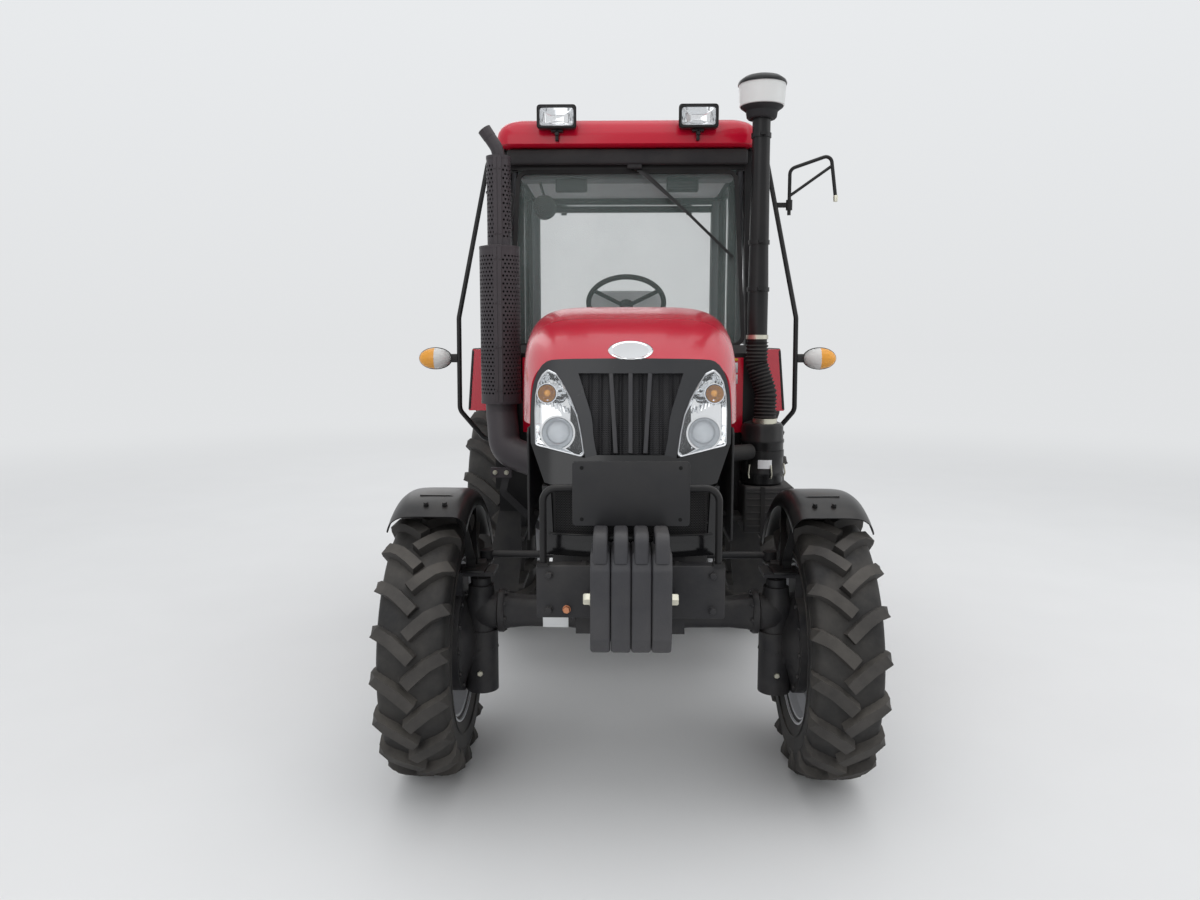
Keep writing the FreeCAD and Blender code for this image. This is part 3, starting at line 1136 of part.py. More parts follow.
# The arm's clamp stands out from the left post, at the height where the arm turns.
arm_low = Size(2330)
clamp_up = Size(2380)
share = (clamp_up - (d.lamp_height + 200)) / (d.header_top - 30 - (d.lamp_height + 200))
post_at_x = d.post_x + (d.post_head_x - d.post_x) * share
arm_x = post_at_x + 70
arm_y = post_y + (front_head + 5 - post_y) * share
clamp = cut("arm_clamp", join("arm_clamp_raw", [
    rod("arm_sleeve", "Z", d.arm_radius + 7, (clamp_up - 25, clamp_up + 25), arm_x, arm_y),
    block("arm_clamp_bar", (post_at_x, arm_x - 5), (arm_y - 6, arm_y + 6),
          (clamp_up - 12, clamp_up + 12))]),
    [rod("arm_sleeve_bore", "Z", d.arm_radius + d.shaft_gap, (clamp_up - 30, clamp_up + 30),
         arm_x, arm_y)])
posts[0] = join("post_left_with_clamp", [posts[0], clamp])
keep("mirror_posts", group("mirror_post_pair", posts))
indicators = []
for side, sign in (("left", 1), ("right", -1)):
    low = d.post_x + d.post_radius + d.seat_gap
    indicators.append(block("indicator_" + side,
                            sided(sign, low, d.lamp_outer_x),
                            (post_y - 55, post_y + 15), (d.lamp_height - 52, d.lamp_height + 52)))
    low, high = sided(sign, Size(700), Size(820))
    indicators.append(prism("tail_lamp_" + side, "YZ", [
        (rear_axle + 678.8 + d.seat_gap, Size(1200)), (rear_axle + 697.4 + d.seat_gap, Size(1130)),
        (rear_axle + 735, Size(1130)), (rear_axle + 735, Size(1200))], low, high))
keep("signal_lamps", group("signal_lamp_set", indicators))
keep("mirror_arm", bent("mirror_arm_tube", d.arm_radius, Size(40), [
    (arm_x, arm_y, arm_low), (arm_x, arm_y, Size(2500)),
    (Size(1000), arm_y - 15, Size(2660)), (d.lamp_outer_x - d.arm_radius, arm_y - 20, Size(2410))]))

# Exhaust: a pipe from the engine's side up to a turned tip, and its round guards.
stack_y = cab_front - d.stack_setback
exhaust = bent("exhaust_tube", d.exhaust_pipe_radius, Size(90), [
    (-d.engine_half_width - d.seat_gap, stack_y - 120, d.duct_height + 30),
    (-d.exhaust_x + 60, stack_y - 120, d.duct_height + 30),
    (-d.exhaust_x, stack_y, Size(1330)), (-d.exhaust_x, stack_y, d.exhaust_tip - 120),
    (-d.exhaust_x - 50, stack_y, d.exhaust_tip - 20)])
muffler = rod("muffler", "Z", d.guard_lower_radius - 22, (d.guard_foot + 40, d.guard_step - 30),
              -d.exhaust_x, stack_y)
keep("exhaust_pipe", join("exhaust_pipe_solid", [exhaust, muffler]))


def shell_between(name, radius, low, high):
    outer = rod(name + "_outer", "Z", radius, (low, high), -d.exhaust_x, stack_y)
    inner = rod(name + "_inner", "Z", radius - d.guard_skin, (low - 1, high + 1), -d.exhaust_x,
                stack_y)
    return cut(name, outer, [inner])


guard_ring = cut("guard_ring", rod("guard_ring_outer", "Z", d.guard_lower_radius,
                                   (d.guard_step - 4, d.guard_step), -d.exhaust_x, stack_y),
                 [rod("guard_ring_inner", "Z", d.exhaust_pipe_radius + d.seat_gap,
                      (d.guard_step - 5, d.guard_step + 1), -d.exhaust_x, stack_y)])
keep("exhaust_guard", join("exhaust_guard_solid", [
    shell_between("guard_upper", d.guard_upper_radius, d.guard_step - 2, d.guard_upper_top),
    shell_between("guard_lower", d.guard_lower_radius, d.guard_foot, d.guard_step),
    guard_ring]))

# Air intake: pre-cleaner, pipe and hose, then the air cleaner and the battery box below it.
intake = bent("intake_pipe", d.intake_radius, Size(120), [
    (d.intake_x, stack_y, d.intake_top), (d.intake_x, stack_y, d.intake_foot + 60),
    (d.cleaner_x + 35, stack_y, d.cleaner_top + 140), (d.cleaner_x, stack_y, d.cleaner_top + 60),
    (d.cleaner_x, stack_y, d.cleaner_top + d.seat_gap)])
bowl = turned("intake_bowl", "Z", [
    (d.intake_top - 30, 0), (d.intake_top - 30, 62), (d.intake_top, 88),
    (d.intake_top + 45, 108), (d.intake_top + 50, d.bowl_radius),
    (d.intake_top + 100, d.bowl_radius), (d.bowl_top - 20, 70), (d.bowl_top, 20), (d.bowl_top, 0)],
    d.intake_x, stack_y)
keep("intake_stack", join("intake_stack_solid", [intake, bowl]))
cleaner = turned("cleaner_can", "Z", [
    (d.cleaner_bottom, 0), (d.cleaner_bottom, d.cleaner_radius - 20),
    (d.cleaner_bottom + 20, d.cleaner_radius), (d.cleaner_top - 30, d.cleaner_radius),
    (d.cleaner_top, d.cleaner_radius - 50), (d.cleaner_top, 0)], d.cleaner_x, stack_y)
cleaner_duct = bent("cleaner_duct", Size(45), Size(80), [
    (d.engine_half_width + d.seat_gap, stack_y - 180, d.duct_height),
    (d.cleaner_x - 50, stack_y - 180, d.duct_height), (d.cleaner_x, stack_y - 20, d.duct_height)])
keep("air_cleaner", join("air_cleaner_solid", [cleaner, cleaner_duct]))
battery_front = cab_front - (cab_front - fender_tail_y) * 0.473
keep("battery_box", join("battery_solid", [
    block("battery_case", (d.battery_inner_x, d.battery_outer_x),
          (battery_front, cab_front - d.seat_gap), (d.battery_bottom, d.cleaner_bottom - d.seat_gap)),
    block("battery_arm", (d.engine_half_width + d.seat_gap, d.battery_inner_x + 5),
          (battery_front, battery_front + 25), (d.battery_bottom + 115, d.battery_bottom + 155))]))

# Rear linkage: lift arms on their shaft, lift rods, lower links and the top link.
lift_y = rear_axle + 300
lift_parts = [rod("lift_shaft", "X", Size(26), (-d.lift_arm_x - 20, d.lift_arm_x + 20), 0, lift_y,
                  d.lift_shaft_height)]
arm_end_y = lift_y + d.lift_arm
for side, sign in (("left", 1), ("right", -1)):
    low, high = d.lift_arm_x - 12, d.lift_arm_x + 12
    lift_parts.append(prism("lift_lever_" + side, "YZ", [
        (lift_y - 38, d.lift_shaft_height - 30), (lift_y + 10, d.lift_shaft_height - 42),
        (arm_end_y + 24, d.lift_shaft_height + 20), (arm_end_y + 24, d.lift_shaft_height + 60),
        (arm_end_y - 20, d.lift_shaft_height + 64), (lift_y - 20, d.lift_shaft_height + 40)],
        *sided(sign, low, high)))
    lift_parts.append(rod("lift_pin_" + side, "X", Size(10),
                          sided(sign, low + 5, d.lift_rod_x + 14), 0, arm_end_y,
                          d.lift_shaft_height + 40))
keep("lift_arms", join("lift_arms_solid", lift_parts))

link_y = rear_axle + 180
link_end = rear_axle + d.link_reach
ball_radius = Size(30)
rods = []
for side, sign in (("left", 1), ("right", -1)):
    eye = cut("lift_eye_" + side,
              rod("lift_eye_outer_" + side, "X", Size(24),
                  sided(sign, d.lift_rod_x - 11, d.lift_rod_x + 11), 0, arm_end_y,
                  d.lift_shaft_height + 40),
              [rod("lift_eye_bore_" + side, "X", Size(10) + d.shaft_gap,
                   sided(sign, d.lift_rod_x - 12, d.lift_rod_x + 12), 0, arm_end_y,
                   d.lift_shaft_height + 40)])
    shank = rod("lift_rod_shank_" + side, "Z", Size(11),
                (d.link_height + 45, d.lift_shaft_height + 20), d.lift_rod_x * sign, arm_end_y)
    foot = block("lift_rod_foot_" + side,
                 sided(sign, d.lift_rod_x - 8, d.lift_rod_x + 8),
                 (arm_end_y - 20, arm_end_y + 20), (d.link_height - 20, d.link_height + 50))
    rods.append(join("lift_rod_" + side, [eye, shank, foot]))
keep("lift_rods", group("lift_rod_pair", rods))

links = []
for side, sign in (("left", 1), ("right", -1)):
    start = vec(d.link_pin_x * sign, link_y, d.link_height + 40)
    stop = vec(d.link_ball_x * sign, link_end - ball_radius, d.link_height)
    run = stop - start
    bar_shape = Part.makeBox(run.Length, float(d.link_bar), float(d.link_depth))
    bar_shape.translate(FreeCAD.Vector(0, -float(d.link_bar) / 2, -float(d.link_depth) / 2))
    bar_shape.Placement = FreeCAD.Placement(start, FreeCAD.Rotation(
        run, FreeCAD.Vector(0, 0, 1), FreeCAD.Vector(0, 0, 1), "XZY")).multiply(
            bar_shape.Placement)
    front_eye = Part.makeCylinder(42, 30, start - vec(15, 0, 0), FreeCAD.Vector(1, 0, 0))
    rear_eye = Part.makeCylinder(float(ball_radius), 38, stop - vec(19, 0, 0),
                                 FreeCAD.Vector(1, 0, 0))
    solid = bar_shape.multiFuse([front_eye, rear_eye])
    front_bore = Part.makeCylinder(11 + float(d.shaft_gap), 60, start - vec(30, 0, 0),
                                   FreeCAD.Vector(1, 0, 0))
    rear_bore = Part.makeCylinder(11.2, 60, stop - vec(30, 0, 0), FreeCAD.Vector(1, 0, 0))
    links.append(made("lower_link_" + side, solid.cut(front_bore).cut(rear_bore)))
keep("lower_links", group("lower_link_pair", links))

top_y = rear_axle + 410
top_link = made("top_link_solid", Part.makeCylinder(
    16, 430, vec(0, top_y + 15, d.top_link_height), FreeCAD.Vector(0, 1, 0)).multiFuse([
        Part.makeCylinder(25, 40, vec(-20, top_y, d.top_link_height), FreeCAD.Vector(1, 0, 0)),
        Part.makeCylinder(25, 40, vec(-20, top_y + 460, d.top_link_height),
                          FreeCAD.Vector(1, 0, 0))]).cut(
        Part.makeCylinder(9.5 + float(d.shaft_gap), 60, vec(-30, top_y, d.top_link_height),
                          FreeCAD.Vector(1, 0, 0))).cut(
        Part.makeCylinder(9.7, 60, vec(-30, top_y + 460, d.top_link_height),
                          FreeCAD.Vector(1, 0, 0))))
keep("top_link", top_link)

document.recompute()
faults = [item.Label for item in document.Objects
          if "Invalid" in item.State or "Error" in item.State]
if faults:
    raise RuntimeError("features that failed: " + ", ".join(faults))
os.makedirs("parts", exist_ok=True)
unsound = [item.Label for item in nodes
           if item.Shape.isNull() or not item.Shape.isValid() or not item.Shape.Solids]
if unsound:
    raise RuntimeError("no sound solid in " + ", ".join(unsound))
for item in nodes:
    item.Shape.exportStep("parts/%s.step" % item.Label)
print("%d pieces written" % len(nodes))
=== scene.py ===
import json
import math

import bmesh
import bpy
import numpy as np
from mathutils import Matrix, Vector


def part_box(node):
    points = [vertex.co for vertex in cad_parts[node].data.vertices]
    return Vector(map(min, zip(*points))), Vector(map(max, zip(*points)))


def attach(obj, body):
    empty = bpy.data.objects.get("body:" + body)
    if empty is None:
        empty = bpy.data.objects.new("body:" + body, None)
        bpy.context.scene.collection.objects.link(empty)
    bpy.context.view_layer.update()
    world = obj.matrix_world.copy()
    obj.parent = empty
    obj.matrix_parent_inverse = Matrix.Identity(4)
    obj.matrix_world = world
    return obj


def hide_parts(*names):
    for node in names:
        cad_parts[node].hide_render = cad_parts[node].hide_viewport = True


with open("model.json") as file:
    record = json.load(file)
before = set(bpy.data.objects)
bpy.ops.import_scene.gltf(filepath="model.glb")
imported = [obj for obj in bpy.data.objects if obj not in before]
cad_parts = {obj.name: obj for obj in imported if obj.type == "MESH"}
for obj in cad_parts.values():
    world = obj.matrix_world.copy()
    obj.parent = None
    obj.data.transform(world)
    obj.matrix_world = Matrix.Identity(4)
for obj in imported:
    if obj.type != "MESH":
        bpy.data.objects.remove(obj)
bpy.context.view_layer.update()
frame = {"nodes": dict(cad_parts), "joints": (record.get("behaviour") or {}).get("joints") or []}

jointPlace = {joint["name"]: joint.get("pos_m") for joint in frame["joints"]}
frontAxleY = jointPlace["front_spin_left"][1]
rearAxleY = jointPlace["rear_spin_left"][1]
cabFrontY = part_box("cab_frame")[0][1] + 0.0
print("frame loaded:", len(frame["nodes"]), "nodes")


# Shapes. Each returns (points, faces): an (n, 3) array and a list of corner lists.

# A grid of rows x columns of points becomes quads between neighbours, with end rows closed on request.
def gridShape(points, wrapRows=False, wrapCols=False, capFirst=False, capLast=False):
    rows, cols = points.shape[:2]
    row, col = np.meshgrid(np.arange(rows if wrapRows else rows - 1),
                           np.arange(cols if wrapCols else cols - 1), indexing="ij")
    nextRow, nextCol = (row + 1) % rows, (col + 1) % cols
    corners = [row * cols + col, row * cols + nextCol, nextRow * cols + nextCol, nextRow * cols + col]
    faces = np.stack(corners, -1).reshape(-1, 4).tolist()
    if capFirst:
        faces.append(list(range(cols))[::-1])
    if capLast:
        faces.append(list(range((rows - 1) * cols, rows * cols)))
    return points.reshape(-1, 3), faces


def joined(shapes):
    points, faces, start = [], [], 0
    for shapePoints, shapeFaces in shapes:
        points.append(shapePoints)
        faces += [[corner + start for corner in face] for face in shapeFaces]
        start += len(shapePoints)
    return np.concatenate(points), faces


def moved(shape, offset=(0, 0, 0), scale=(1, 1, 1)):
    return shape[0] * np.array(scale, float) + np.array(offset, float), shape[1]


# The shape and its mirror image in the tractor's middle plane.
def bothSides(shape):
    return joined([shape, moved(shape, scale=(-1, 1, 1))])


def unit(vectors):
    return vectors / np.maximum(np.linalg.norm(vectors, axis=-1, keepdims=True), 1e-12)


# Box between two corners, as 8 points.
def boxShape(low, high):
    low, high = np.minimum(low, high), np.maximum(low, high)
    pick = np.array([[x, y, z] for z in (0, 1) for x, y in ((0, 0), (1, 0), (1, 1), (0, 1))])
    points = np.where(pick, high, low).reshape(2, 4, 3)
    return gridShape(points, wrapCols=True, capFirst=True, capLast=True)


# Rounded box: every point is a corner of an inner box plus the radius times a direction.
# Directions run over longitude and latitude, with the quarter boundaries doubled for the flat sides.
def softBox(low, high, radius, steps=3):
    low, high = np.minimum(low, high), np.maximum(low, high)
    centre, half = (low + high) / 2, (high - low) / 2
    radius = np.minimum(radius, half)
    quarter = np.linspace(0, math.pi / 2, steps + 1)
    around = np.concatenate([quarter + turn * math.pi / 2 for turn in range(4)])
    cornerX = np.repeat([1, -1, -1, 1], steps + 1)
    cornerY = np.repeat([1, 1, -1, -1], steps + 1)
    rise = np.concatenate([quarter - math.pi / 2, quarter])
    cornerZ = np.repeat([-1, 1], steps + 1)
    core = half - radius
    x = cornerX * core[0] + radius[0] * np.cos(around) * np.cos(rise)[:, None]
    y = cornerY * core[1] + radius[1] * np.sin(around) * np.cos(rise)[:, None]
    z = (cornerZ * core[2] + radius[2] * np.sin(rise))[:, None] + 0 * around
    points = np.stack([x, y, z], -1) + centre
    return gridShape(points, wrapCols=True, capFirst=True, capLast=True)


# Path with its inner corners rounded: on each corner an arc of radius r that touches both runs,
# start + along * r sin(a) + across * r (1 - cos(a)), for a from 0 to the turn.
def roundedPath(corners, radius, steps=6):
    corners = np.array(corners, float)
    before = unit(corners[1:-1] - corners[:-2])
    after = unit(corners[2:] - corners[1:-1])
    turn = np.arccos(np.clip((before * after).sum(-1), -1, 1))[:, None]
    radius = np.broadcast_to(np.array(radius, float).reshape(-1, 1), turn.shape)
    across = unit(after - before * np.cos(turn))
    start = corners[1:-1] - before * radius * np.tan(turn / 2)
    angle = np.linspace(0, 1, steps)[None, :, None] * turn[:, None]
    arcs = (start[:, None] + before[:, None] * radius[:, None] * np.sin(angle)
            + across[:, None] * radius[:, None] * (1 - np.cos(angle)))
    return np.concatenate([corners[:1], arcs.reshape(-1, 3), corners[-1:]])


# Closed outline with rounded corners, by the same arcs in a plane.
def roundedOutline(corners, radius, steps=5):
    corners = np.array(corners, float)
    flat = np.concatenate([corners, np.zeros((len(corners), 1))], 1)
    loop = np.concatenate([flat[-1:], flat, flat[:1]])
    return roundedPath(loop, radius, steps)[1:-1, :2]


# Profile carried along a path: point = path + side * profileU + up * profileV, where side is across
# the path and the path's flattest direction, so a bend in one plane doesn't twist.
def sweptShape(path, profile, scale=1.0, caps=True, closed=False, flat=None):
    path = np.array(path, float)
    tangent = unit(np.gradient(path, axis=0))
    if closed:
        tangent = unit(np.roll(path, -1, 0) - np.roll(path, 1, 0))
    if flat is None:
        flat = np.linalg.svd(path - path.mean(0))[2][2]
    side = unit(np.cross(tangent, np.array(flat, float)))
    up = np.cross(side, tangent)
    scale = np.broadcast_to(np.array(scale, float), (len(path),))[:, None, None]
    profile = np.array(profile, float)
    points = path[:, None] + scale * (side[:, None] * profile[:, :1] + up[:, None] * profile[:, 1:])
    return gridShape(points, closed, True, caps and not closed, caps and not closed)


def circle(radius, sides=16):
    angle = np.arange(sides) * 2 * math.pi / sides
    return np.stack([radius * np.cos(angle), radius * np.sin(angle)], 1)


def tubeShape(path, radius, sides=16, **settings):
    return sweptShape(path, circle(1.0, sides), scale=radius, **settings)


axisFrames = {"x": np.array([[1, 0, 0], [0, 1, 0], [0, 0, 1]]),
              "y": np.array([[0, 1, 0], [0, 0, 1], [1, 0, 0]]),
              "z": np.array([[0, 0, 1], [1, 0, 0], [0, 1, 0]])}


# Profile of (along, radius) turned round an axis through a centre.
def turnedShape(profile, centre, axis="x", sides=32, closedProfile=False, direction=None):
    profile = np.array(profile, float)
    basis = axisFrames[axis].astype(float)
    if direction is not None:
        along = unit(np.array(direction, float))
        side = unit(np.cross(along, [0.31, 0.17, 0.93]))
        basis = np.array([along, side, np.cross(along, side)])
    angle = np.arange(sides) * 2 * math.pi / sides
    ring = np.cos(angle)[:, None] * basis[1] + np.sin(angle)[:, None] * basis[2]
    points = profile[:, None, :1] * basis[0] + profile[:, None, 1:] * ring + np.array(centre, float)
    return gridShape(points, closedProfile, True, not closedProfile, not closedProfile)


planes = {"xy": (0, 1, 2), "xz": (0, 2, 1), "yz": (1, 2, 0)}


# Flat outline pushed along the third axis, its rims rounded by rings drawn in along the normals.
def plateShape(outline, low, high, plane="xz", rim=0.0, rimSteps=3):
    outline = np.array(outline, float)
    ahead, behind = np.roll(outline, -1, 0) - outline, outline - np.roll(outline, 1, 0)
    normal = unit(unit(np.stack([ahead[:, 1], -ahead[:, 0]], 1))
                  + unit(np.stack([behind[:, 1], -behind[:, 0]], 1)))
    area = (outline[:, 0] * np.roll(outline[:, 1], -1) - outline[:, 1] * np.roll(outline[:, 0], -1)).sum()
    normal *= math.copysign(1, area)
    angle = np.linspace(0, math.pi / 2, rimSteps) if rim else np.array([math.pi / 2])
    inset, depth = rim * (1 - np.sin(angle)), rim * (1 - np.cos(angle))
    inset, depth = np.concatenate([inset, inset[::-1]]), np.concatenate([low + depth, high - depth[::-1]])
    flat = outline[None] - normal[None] * inset[:, None, None]
    points = np.zeros((len(inset), len(outline), 3))
    first, second, third = planes[plane]
    points[..., first], points[..., second] = flat[..., 0], flat[..., 1]
    points[..., third] = depth[:, None]
    return gridShape(points, False, True, True, True)


# Hexagon-headed bolt with its washer, standing out of a face along a direction.
def boltShape(place, direction, size=0.012):
    washer = turnedShape([(-0.002, size * 1.15), (0.002, size * 1.15)], place, direction=direction, sides=12)
    head = turnedShape([(0.0, size), (size * 0.95, size), (size * 1.15, size * 0.85)], place,
                       direction=direction, sides=6)
    return joined([washer, head])


# Sheet of cells, each a square with a round hole, in cell units. Border and hole have the same
# number of points: at each angle the hole's is on a circle and the border's on the square, which is
# the circle divided by the larger of its two coordinates.
def holedSheet(cellsAcross, cellsUp, holeShare=0.62, sides=8, rings=1, keepCell=None):
    ray = circle(1.0, sides)
    border = ray / np.abs(ray).max(1, keepdims=True) / 2
    hole = ray * holeShare / 2
    share = np.linspace(0, 1, rings + 1)[:, None, None]
    cell = (border * (1 - share) + hole * share).reshape(-1, 2)
    across, up = np.meshgrid(np.arange(cellsAcross) + 0.5, np.arange(cellsUp) + 0.5)
    across, up = across.ravel(), up.ravel()
    points = np.stack([across, up], 1)[:, None] + cell
    ring = np.array(gridShape(np.zeros((rings + 1, sides, 3)), wrapCols=True)[1])
    starts = np.arange(len(across))[:, None, None] * len(cell)
    faces = (starts + ring).reshape(-1, 4).tolist()
    if keepCell is not None:
        solid = starts[~keepCell(across, up)]
        last = rings * sides
        plug = np.array([[k, k + 1, sides - 2 - k, sides - 1 - k] for k in range(sides // 2 - 1)]) + last
        faces += (solid + plug).reshape(-1, 4).tolist()
    return points.reshape(-1, 2), faces


# Smooth curve through given points: on each run a cubic whose slope at a point is half the way
# from the point before to the point after.
def smoothPath(points, steps=6, closed=False):
    points = np.array(points, float)
    if closed:
        around = np.concatenate([points[-1:], points, points[:2]])
    else:
        around = np.concatenate([2 * points[:1] - points[1:2], points, 2 * points[-1:] - points[-2:-1]])
    p0, p1, p2, p3 = around[:-3], around[1:-2], around[2:-1], around[3:]
    t = np.linspace(0, 1, steps, endpoint=False)[None, :, None]
    p0, p1, p2, p3 = (p[:, None] for p in (p0, p1, p2, p3))
    curve = 0.5 * (2 * p1 + (p2 - p0) * t + (2 * p0 - 5 * p1 + 4 * p2 - p3) * t ** 2
                   + (3 * p1 - p0 - 3 * p2 + p3) * t ** 3)
    curve = curve.reshape(-1, points.shape[1])
    return curve if closed else np.concatenate([curve, points[-1:]])


# Copies of a shape turned about the x axis through a centre, one for each angle.
def copiesAround(shape, centre, angles):
    points, faces = shape
    centre = np.array(centre, float)
    cos, sin = np.cos(angles)[:, None], np.sin(angles)[:, None]
    x, y, z = (points - centre).T
    turned = np.stack([x + 0 * cos, y * cos - z * sin, y * sin + z * cos], -1) + centre
    starts = np.arange(len(angles)) * len(points)
    copies = [[corner + start for corner in face] for start in starts.tolist() for face in faces]
    return turned.reshape(-1, 3), copies


# Copies of a shape moved by each offset.
def copiesAt(shape, offsets):
    return joined([moved(shape, offset) for offset in offsets])


# Gives an open sheet a wall: a second layer along the point normals, joined round every free edge.
def walledShape(shape, wall):
    points, faces = shape
    points, index = np.unique(np.round(points, 6), axis=0, return_inverse=True)
    index = index.ravel()
    faces = [[int(index[corner]) for corner in face] for face in faces]
    quads = np.array([face for face in faces if len(face) == 4])
    normals = np.zeros_like(points)
    turn = np.cross(points[quads[:, 2]] - points[quads[:, 0]], points[quads[:, 3]] - points[quads[:, 1]])
    for corner in range(4):
        np.add.at(normals, quads[:, corner], turn)
    edges = np.concatenate([np.stack([quads[:, k], quads[:, (k + 1) % 4]], 1) for k in range(4)])
    key, first, count = np.unique(np.sort(edges, 1), axis=0, return_index=True, return_counts=True)
    free = edges[first[count == 1]]
    total = len(points)
    back = points - unit(normals) * wall
    sides = np.stack([free[:, 1], free[:, 0], free[:, 0] + total, free[:, 1] + total], 1).tolist()
    inner = [[corner + total for corner in face[::-1]] for face in faces]
    return np.concatenate([points, back]), faces + inner + sides


pieceNames = []


# Joins (shape, material) pairs into one object on a body, merges doubles and turns faces outward.
def makePiece(name, parts, body="root", replaces=(), bevel=0.0, segments=2,
              sharp=40, thickness=0.0, subdivide=0):
    mesh = bpy.data.meshes.new(name)
    whole = bmesh.new()
    names = []
    for shape, material in parts:
        if material not in names:
            names.append(material)
        part = bpy.data.meshes.new("part")
        part.from_pydata(shape[0].tolist(), [], shape[1])
        single = bmesh.new()
        single.from_mesh(part)
        bmesh.ops.remove_doubles(single, verts=single.verts, dist=2e-5)
        bmesh.ops.recalc_face_normals(single, faces=single.faces)
        for face in single.faces:
            face.material_index = names.index(material)
        single.to_mesh(part)
        single.free()
        whole.from_mesh(part)
        bpy.data.meshes.remove(part)
    whole.to_mesh(mesh)
    whole.free()
    for material in names:
        mesh.materials.append(finishes[material])
    mesh.shade_smooth()
    mesh.set_sharp_from_angle(angle=math.radians(sharp))
    piece = bpy.data.objects.new(name, mesh)
    bpy.context.scene.collection.objects.link(piece)
    if thickness:
        solid = piece.modifiers.new("wall", "SOLIDIFY")
        solid.thickness, solid.offset = thickness, -1
    if bevel:
        edge = piece.modifiers.new("edges", "BEVEL")
        edge.width, edge.segments, edge.limit_method = bevel, segments, "ANGLE"
        edge.angle_limit, edge.harden_normals = math.radians(sharp), True
    if subdivide:
        smooth = piece.modifiers.new("smooth", "SUBSURF")
        smooth.levels = smooth.render_levels = subdivide
    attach(piece, body)
    if replaces:
        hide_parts(*replaces)
    pieceNames.append(name)
    return piece


# Materials. Effects that several finishes share are node groups.

def addNode(tree, kind, values=None, **settings):
    item = tree.nodes.new(kind)
    for key, value in settings.items():
        setattr(item, key, value)
    for key, value in (values or {}).items():
        if isinstance(value, bpy.types.NodeSocket):
            tree.links.new(value, item.inputs[key])
        else:
            item.inputs[key].default_value = value
    return item


def newGroup(name, inputs, outputs):
    group = bpy.data.node_groups.new(name, "ShaderNodeTree")
    for label, kind, value in inputs:
        socket = group.interface.new_socket(label, in_out="INPUT", socket_type=kind)
        socket.default_value = value
    for label, kind in outputs:
        group.interface.new_socket(label, in_out="OUTPUT", socket_type=kind)
    return group, group.nodes.new("NodeGroupInput"), group.nodes.new("NodeGroupOutput")


# Dust: thicker on faces that look up and near the ground, broken up by noise.
def makeDustGroup():
    group, given, out = newGroup("Settled dust", [
        ("Color", "NodeSocketColor", (0.5, 0.5, 0.5, 1)),
        ("Dust color", "NodeSocketColor", (0.32, 0.29, 0.25, 1)),
        ("Amount", "NodeSocketFloat", 0.3), ("Scale", "NodeSocketFloat", 6.0),
        ("Low share", "NodeSocketFloat", 0.5)],
        [("Color", "NodeSocketColor"), ("Mask", "NodeSocketFloat")])
    place = addNode(group, "ShaderNodeTexCoord")
    normal = addNode(group, "ShaderNodeSeparateXYZ", {0: place.outputs["Normal"]})
    height = addNode(group, "ShaderNodeSeparateXYZ", {0: place.outputs["Object"]})
    facing = addNode(group, "ShaderNodeMapRange", {"Value": normal.outputs["Z"], "From Min": -0.2,
                                                   "From Max": 1.0, "To Min": 0.15, "To Max": 1.0})
    low = addNode(group, "ShaderNodeMapRange", {"Value": height.outputs["Z"], "From Min": 1.3,
                                                "From Max": 0.0, "To Min": 0.0, "To Max": 1.0})
    lowPart = addNode(group, "ShaderNodeMath", {0: low.outputs[0], 1: given.outputs["Low share"]},
                      operation="MULTIPLY")
    both = addNode(group, "ShaderNodeMath", {0: facing.outputs[0], 1: lowPart.outputs[0]},
                   operation="ADD")
    noise = addNode(group, "ShaderNodeTexNoise", {"Vector": place.outputs["Object"],
                                                  "Scale": given.outputs["Scale"], "Detail": 8.0,
                                                  "Roughness": 0.62})
    broken = addNode(group, "ShaderNodeMapRange", {"Value": noise.outputs["Fac"], "From Min": 0.35,
                                                   "From Max": 0.72, "To Min": 0.1, "To Max": 1.0})
    mask = addNode(group, "ShaderNodeMath", {0: both.outputs[0], 1: broken.outputs[0]},
                   operation="MULTIPLY")
    amount = addNode(group, "ShaderNodeMath", {0: mask.outputs[0], 1: given.outputs["Amount"]},
                     operation="MULTIPLY", use_clamp=True)
    mix = addNode(group, "ShaderNodeMix", {"Factor": amount.outputs[0], "A": given.outputs["Color"],
                                           "B": given.outputs["Dust color"]}, data_type="RGBA")
    group.links.new(mix.outputs["Result"], out.inputs["Color"])
    group.links.new(amount.outputs[0], out.inputs["Mask"])
    return group


